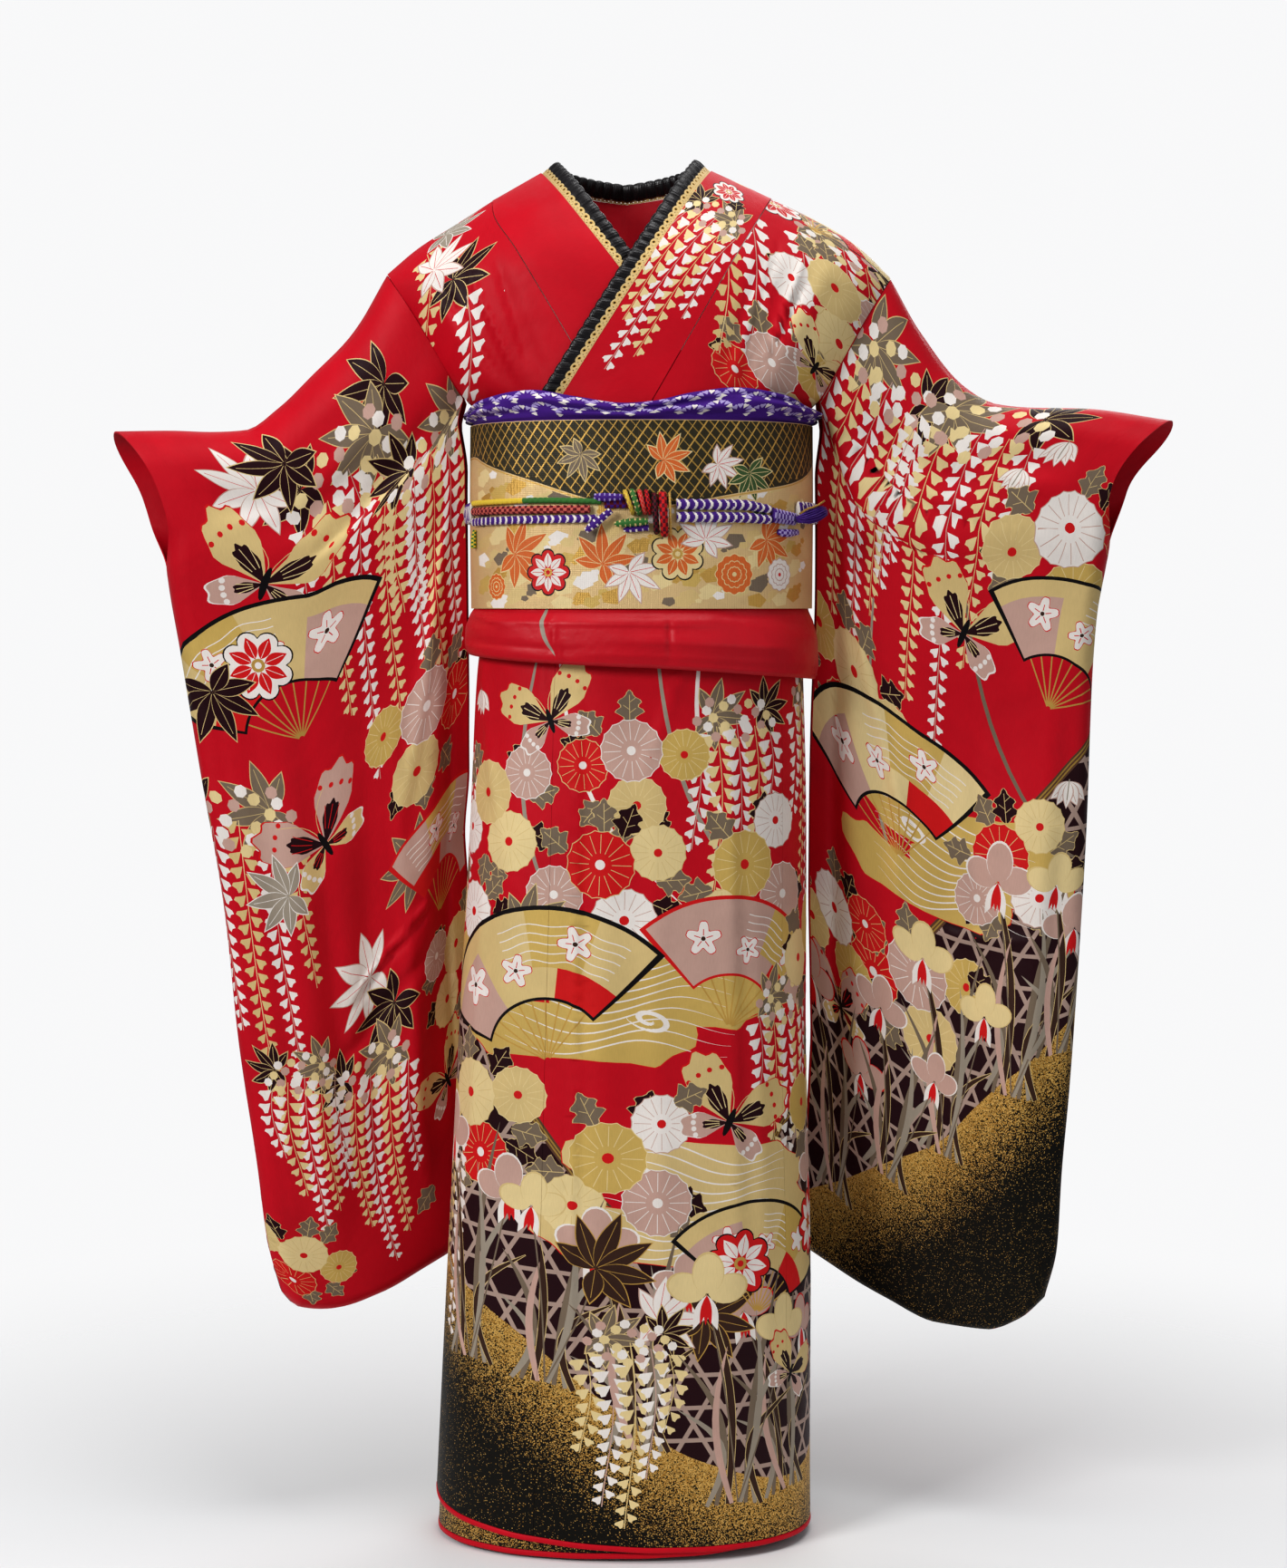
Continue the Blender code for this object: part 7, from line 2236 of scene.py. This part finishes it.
def braid(name, path, radius, side, flat=1.0, sides=16):
    """A braided strand: rings along a path whose radius swells under each crossing yarn."""
    path, radius = np.asarray(path, float), np.asarray(radius, float)
    run = way_along(path)
    at = np.linspace(0, run[-1], max(12, int(run[-1] / (2.4 if name == "cord_behind" else 0.9))))
    line = columns_at(at, run, path)
    thick = smooth_curve(at, run, radius)
    look, repeat, first, second = CORD_LOOKS[name]
    turn = full_turn(sides)
    phase = at[:, None] * 2 * math.pi / repeat
    round_way = np.abs(((turn + math.pi) % (2 * math.pi)) - math.pi)
    swell = 1 - BRAID_RELIEF + BRAID_RELIEF * np.cos(phase + 2 * round_way)
    rings = path_rings(line, thick, side, sides, flat)
    rings = line[:, None] + (rings - line[:, None]) * swell[..., None]
    s, a = (at[:-1, None] + at[1:, None]) / 2, turn + math.pi / sides
    wave = np.abs(((a * 2 / math.pi) % 2) - 1)
    if look == "zigzag":
        other = np.abs(((s / repeat + 0.5 * wave) % 1) - 0.5) < 0.16
    elif look == "plait":
        other = (np.floor(2 * s / repeat) + np.floor(a * 3 / math.pi)) % 2 > 0
    elif look == "ticks":
        other = ((s / repeat) % 1 < 0.3) & (wave > 0.35)
    else:
        other = (s > at[-1] * 0.5) + 0 * a > 0
    dyes = np.where(other, DYE_NAMES.index(second), DYE_NAMES.index(first))
    return make_tube(name + "_strand", rings, dyes, at, "braided_silk")


def make_cord():
    """The braided cord: its strands, knot, bows and loops, the run behind and the tucked ends."""
    for name, count, flat, rows in CORD_RUNS:
        path, radius = front_path(rows, count)
        finish_piece(braid(name, path, radius, (0, 0, 1.0), flat), "braid", name)
    for name, *place in CORD_LOOPS:
        path, radius = loop_path(*place)
        finish_piece(braid(name, path, radius, (1.0, 0, 0)), "braid", name)
    for name, rows in CORD_ENDS:
        rows = np.array(rows, float)
        if name == "cord_yellow_end":
            finish_piece(braid(name, rows[:, :3], rows[:, 3], (0, 1.0, 0.2)), "braid", name)
        else:
            finish_piece(make_fringe(name, rows), "braid", name)
    path, radius, narrow = behind_path()
    finish_piece(braid("cord_behind", path, radius, (0, 0, 1.0), narrow), "braid", "cord_behind")


def make_fringe(name, rows):
    """A brush of fine strands that spread as far as the tuft's own radius at each place."""
    strands, dye, thick = (110, "violet", 0.42) if name == "cord_tuft" else (9, "gold", 0.26)
    share = np.linspace(0, 1, 9)
    knots = np.linspace(0, 1, len(rows))
    path = columns_at(share, knots, rows[:, :3])
    reach = smooth_curve(share, knots, rows[:, 3])
    rings = path_rings(path, np.ones(9), (0, 1.0, 0.2), 4)
    first, second = rings[:, 0] - path, rings[:, 1] - path
    k = np.arange(strands)
    turn, out = k * 2.39996, np.sqrt((k + 0.5) / strands)
    wave = 0.12 * np.sin(3.0 * share[:, None] + k * 1.7)
    a, b = out * np.cos(turn) + wave, out * np.sin(turn) + wave[::-1]
    lines = (path[:, None] + first[:, None] * (a * reach[:, None])[..., None]
             + second[:, None] * (b * reach[:, None])[..., None])
    corner = np.array([(1, 0), (-0.5, 0.87), (-0.5, -0.87)]) * thick
    verts = (lines[:, :, None] + first[:, None, None] * corner[None, None, :, 0:1]
             + second[:, None, None] * corner[None, None, :, 1:2])
    verts = np.swapaxes(verts, 0, 1)
    ring = np.arange(3)
    base = (np.arange(strands)[:, None, None] * 9 + np.arange(8)[None, :, None]) * 3
    after = (ring + 1) % 3
    quads = np.stack([base + ring, base + after, base + 3 + after, base + 3 + ring], -1).reshape(-1, 4)
    start = np.arange(strands)[:, None] * 27
    caps = np.concatenate([start + np.array([0, 2, 1]), start + 24 + np.array([0, 1, 2])])
    mesh = bpy.data.meshes.new(name + "_strands")
    mesh.from_pydata((verts.reshape(-1, 3) * MM).tolist(), [], quads.tolist() + caps.tolist())
    mesh.shade_smooth()
    piece = add_object(name + "_strands", mesh)
    loops = len(mesh.loops)
    vertex = np.zeros(loops, np.int32)
    mesh.loops.foreach_get("vertex_index", vertex)
    flat = np.stack([(vertex // 3 % 9) * 5.0, vertex // 27 * 1.3], -1)
    sizes = np.array([4] * len(quads) + [3] * len(caps))
    paint(piece, np.full(len(sizes), DYE_NAMES.index(dye)), sizes, flat, np.zeros(loops))
    mesh.materials.append(cloth_material("fringe_silk"))
    return piece


def make_hem_roll():
    """The padded hem edge: a flat roll of lining under every panel, slightly uneven along it."""
    along = np.linspace(0.5, WRAP_LENGTH - 0.5, 460)
    edge, above = skirt_point(along, 1 + 0 * along), skirt_point(along, 0.99 + 0 * along)
    down = unit(edge - above)
    out = np.cross(down, unit(np.gradient(edge, axis=0)))
    turn = full_turn(12)
    high, wide = 3.0, 1.3
    centre = edge + down * (high + SEAM + WALL * 0.1)
    uneven = 1 + 0.06 * np.sin(along[:, None] / 9) * np.cos(turn)
    rings = (centre[:, None] + down[:, None] * (high * np.cos(turn) * uneven)[..., None]
             + out[:, None] * (wide * np.sin(turn) * uneven)[..., None])
    dyes = np.full((len(along) - 1, 12), DYE_NAMES.index("crimson"))
    piece = make_tube("hem_roll_cloth", rings, dyes, along, "red_lining")
    finish_piece(piece, "lining", "hem_roll")


# Lights: name, power, size and place. Fade: where the floor begins to fade and where it ends.
LIGHTS = (
    ("window_light", 72.0, 1.2, (-2.5, -2.5, 0.9)),
    ("fill_light", 13.0, 2.6, (2.4, -2.8, 0.0)),
    ("top_light", 34.0, 1.6, (0.3, -0.6, 2.2)),
    ("back_light", 34.0, 2.4, (0.6, 2.8, 1.4)),
)
FLOOR_FADE = (0.35, 1.5)
BACKDROP_TONE = (0.79, 0.79, 0.795, 1)
WORLD_LIGHT = 0.24
CAMERA_FOCAL_PX = 3191.0
CAMERA_PLACE = (0.0047, -3.0, -0.4465)
CAMERA_PITCH = 3.5
CAMERA_FRAME_PX = 1730
SENSOR_WIDTH = 36.0
LIGHT_AIM = (0, 0, -0.65)
FLOOR_BELOW = 0.003


def plain_material(name, colour, roughness):
    made = bpy.data.materials.new(name)
    made.use_nodes = True
    shader = made.node_tree.nodes["Principled BSDF"]
    shader.inputs["Base Color"].default_value = (*colour, 1)
    shader.inputs["Roughness"].default_value = roughness
    return made


def studio_paper():
    """Pale paper that fades out to the sides, so that the floor has no edge in any view."""
    made = plain_material("studio_paper", (0.88, 0.88, 0.885), 0.9)
    put = new_nodes(made.node_tree)[0]
    place = put("ShaderNodeTexCoord").outputs["Object"]
    far = put("ShaderNodeVectorMath", {0: place}, operation="LENGTH").outputs["Value"]
    shown = put("ShaderNodeMapRange", {"Value": far, "From Min": FLOOR_FADE[0], "From Max": FLOOR_FADE[1],
                                       "To Min": 1.0, "To Max": 0.0}, interpolation_type="SMOOTHSTEP")
    made.node_tree.links.new(shown.outputs[0], made.node_tree.nodes["Principled BSDF"].inputs["Alpha"])
    return made


def studio_air():
    """Soft light from all round, and a paler tone where the camera looks straight at it."""
    world = bpy.data.worlds.new("studio_air")
    world.use_nodes = True
    tree = world.node_tree
    soft = tree.nodes["Background"]
    soft.inputs["Color"].default_value = (0.95, 0.97, 1.0, 1)
    soft.inputs["Strength"].default_value = WORLD_LIGHT
    put = new_nodes(tree)[0]
    seen = put("ShaderNodeBackground", {"Strength": 1.0})
    seen.inputs["Color"].default_value = BACKDROP_TONE
    straight = put("ShaderNodeLightPath").outputs["Is Camera Ray"]
    both = put("ShaderNodeMixShader", {0: straight, 1: soft.outputs[0], 2: seen.outputs[0]})
    tree.links.new(both.outputs[0], tree.nodes["World Output"].inputs["Surface"])
    return world


def make_stage():
    """A pale floor that fades into a pale backdrop, soft lights and the camera."""
    bpy.ops.mesh.primitive_circle_add(vertices=96, radius=FLOOR_FADE[1] + 0.1, fill_type="NGON",
                                      location=(0, 0, CAD_BOX[0][2] - FLOOR_BELOW))
    paper = bpy.context.object
    paper.name = paper.data.name = "studio_floor"
    paper.data.materials.append(studio_paper())
    for name, power, size, place in LIGHTS:
        data = bpy.data.lights.new(name, "AREA")
        data.energy, data.size = power, size
        lamp = add_object(name, data)
        lamp.location = place
        lamp.rotation_euler = (Vector(LIGHT_AIM) - Vector(place)).to_track_quat("-Z", "Y").to_euler()
    bpy.context.scene.world = studio_air()
    bpy.context.scene.view_settings.view_transform = "Standard"
    bpy.context.scene.view_settings.look = "Medium High Contrast"
    data = bpy.data.cameras.new("photo_camera")
    data.sensor_width = SENSOR_WIDTH
    data.lens = SENSOR_WIDTH * CAMERA_FOCAL_PX / CAMERA_FRAME_PX
    camera = add_object("photo_camera", data)
    camera.location = CAMERA_PLACE
    camera.rotation_euler = (math.radians(90 - CAMERA_PITCH), 0, 0)
    bpy.context.scene.camera = camera


class FURISODE_PG_sizes(bpy.types.PropertyGroup):
    """Sizes that a user may change before the pieces are made"""
    print_pitch: FloatProperty(name="Print pitch", description="Size of the cloth's plain triangles",
                               default=0.009, min=0.003, max=0.03, unit="LENGTH")


class FURISODE_PG_colours(bpy.types.PropertyGroup):
    """Main dyes of the garment"""
    crimson: FloatVectorProperty(name="Crimson ground", description="Main dye of the silk", size=3,
                                 subtype="COLOR", default=DYES["crimson"][:3], min=0, max=1)
    night: FloatVectorProperty(name="Dark ground", description="Dye behind the lattice", size=3,
                               subtype="COLOR", default=DYES["night"][:3], min=0, max=1)
    violet: FloatVectorProperty(name="Violet", description="Dye of the obi scarf and the cord", size=3,
                                subtype="COLOR", default=DYES["violet"][:3], min=0, max=1)


def take_colours(context):
    for name in ("crimson", "night", "violet"):
        DYES[name] = (*getattr(context.scene.furisode_colours, name), 0)


def piece_operator(key, label, note, make):
    """An operator class that makes one piece, or one group of like pieces."""
    def execute(self, context):
        take_colours(context)
        make()
        return {"FINISHED"}
    return type(f"FURISODE_OT_{key}", (bpy.types.Operator,),
                {"bl_idname": f"furisode.{key}", "bl_label": label, "__doc__": note, "execute": execute})


OPERATORS = tuple(piece_operator(*row) for row in (
    ("collar", "Collar", "Makes the printed collar band", make_collar),
    ("upper_body", "Upper body", "Makes both printed body cloths", make_upper_body),
    ("sleeves", "Sleeves", "Makes both long printed sleeves", make_sleeves),
    ("skirt", "Skirt", "Makes the skirt's six printed panels", make_skirt),
    ("hem_roll", "Hem roll", "Makes the padded edge of the hem", make_hem_roll),
    ("waist_fold", "Waist fold", "Makes the fold of cloth below the obi", make_waist_fold),
    ("lace", "Collar lace", "Makes the scalloped lace along the collar", make_lace),
    ("ruffle", "Collar ruffle", "Makes the gathered ribbon along the collar", make_ruffle),
    ("obi", "Obi", "Makes the brocade band round the waist", make_obi),
    ("back_bow", "Back bow", "Makes the drum, the hand end and the tail", make_back_bow),
    ("scarf", "Obi scarf", "Makes the tie-dyed roll above the obi", make_scarf),
    ("cord", "Obi cord", "Makes the braided cord with its knot and ends", make_cord),
    ("stage", "Stage", "Makes the floor, the lights and the camera", make_stage),
))


class FURISODE_PT_pieces(bpy.types.Panel):
    """Lists the garment's pieces, sizes and colours"""
    bl_idname = "FURISODE_PT_pieces"
    bl_label = "Furisode kimono"
    bl_space_type = "VIEW_3D"
    bl_region_type = "UI"
    bl_category = "Furisode"

    def draw(self, context):
        column = self.layout.column()
        column.prop(context.scene.furisode_sizes, "print_pitch")
        for name in ("crimson", "night", "violet"):
            column.prop(context.scene.furisode_colours, name)
        for made in OPERATORS:
            column.operator(made.bl_idname)


CLASSES = (FURISODE_PG_sizes, FURISODE_PG_colours, *OPERATORS, FURISODE_PT_pieces)


def register():
    for made in CLASSES:
        bpy.utils.register_class(made)
    bpy.types.Scene.furisode_sizes = PointerProperty(type=FURISODE_PG_sizes)
    bpy.types.Scene.furisode_colours = PointerProperty(type=FURISODE_PG_colours)


def unregister():
    del bpy.types.Scene.furisode_colours
    del bpy.types.Scene.furisode_sizes
    for made in reversed(CLASSES):
        bpy.utils.unregister_class(made)


def main():
    """Makes every piece in order and writes the solids' box and the dressed model's box."""
    register()
    for made in OPERATORS:
        space, key = made.bl_idname.split(".")
        getattr(getattr(bpy.ops, space), key)()


if __name__ == "__main__":
    main()
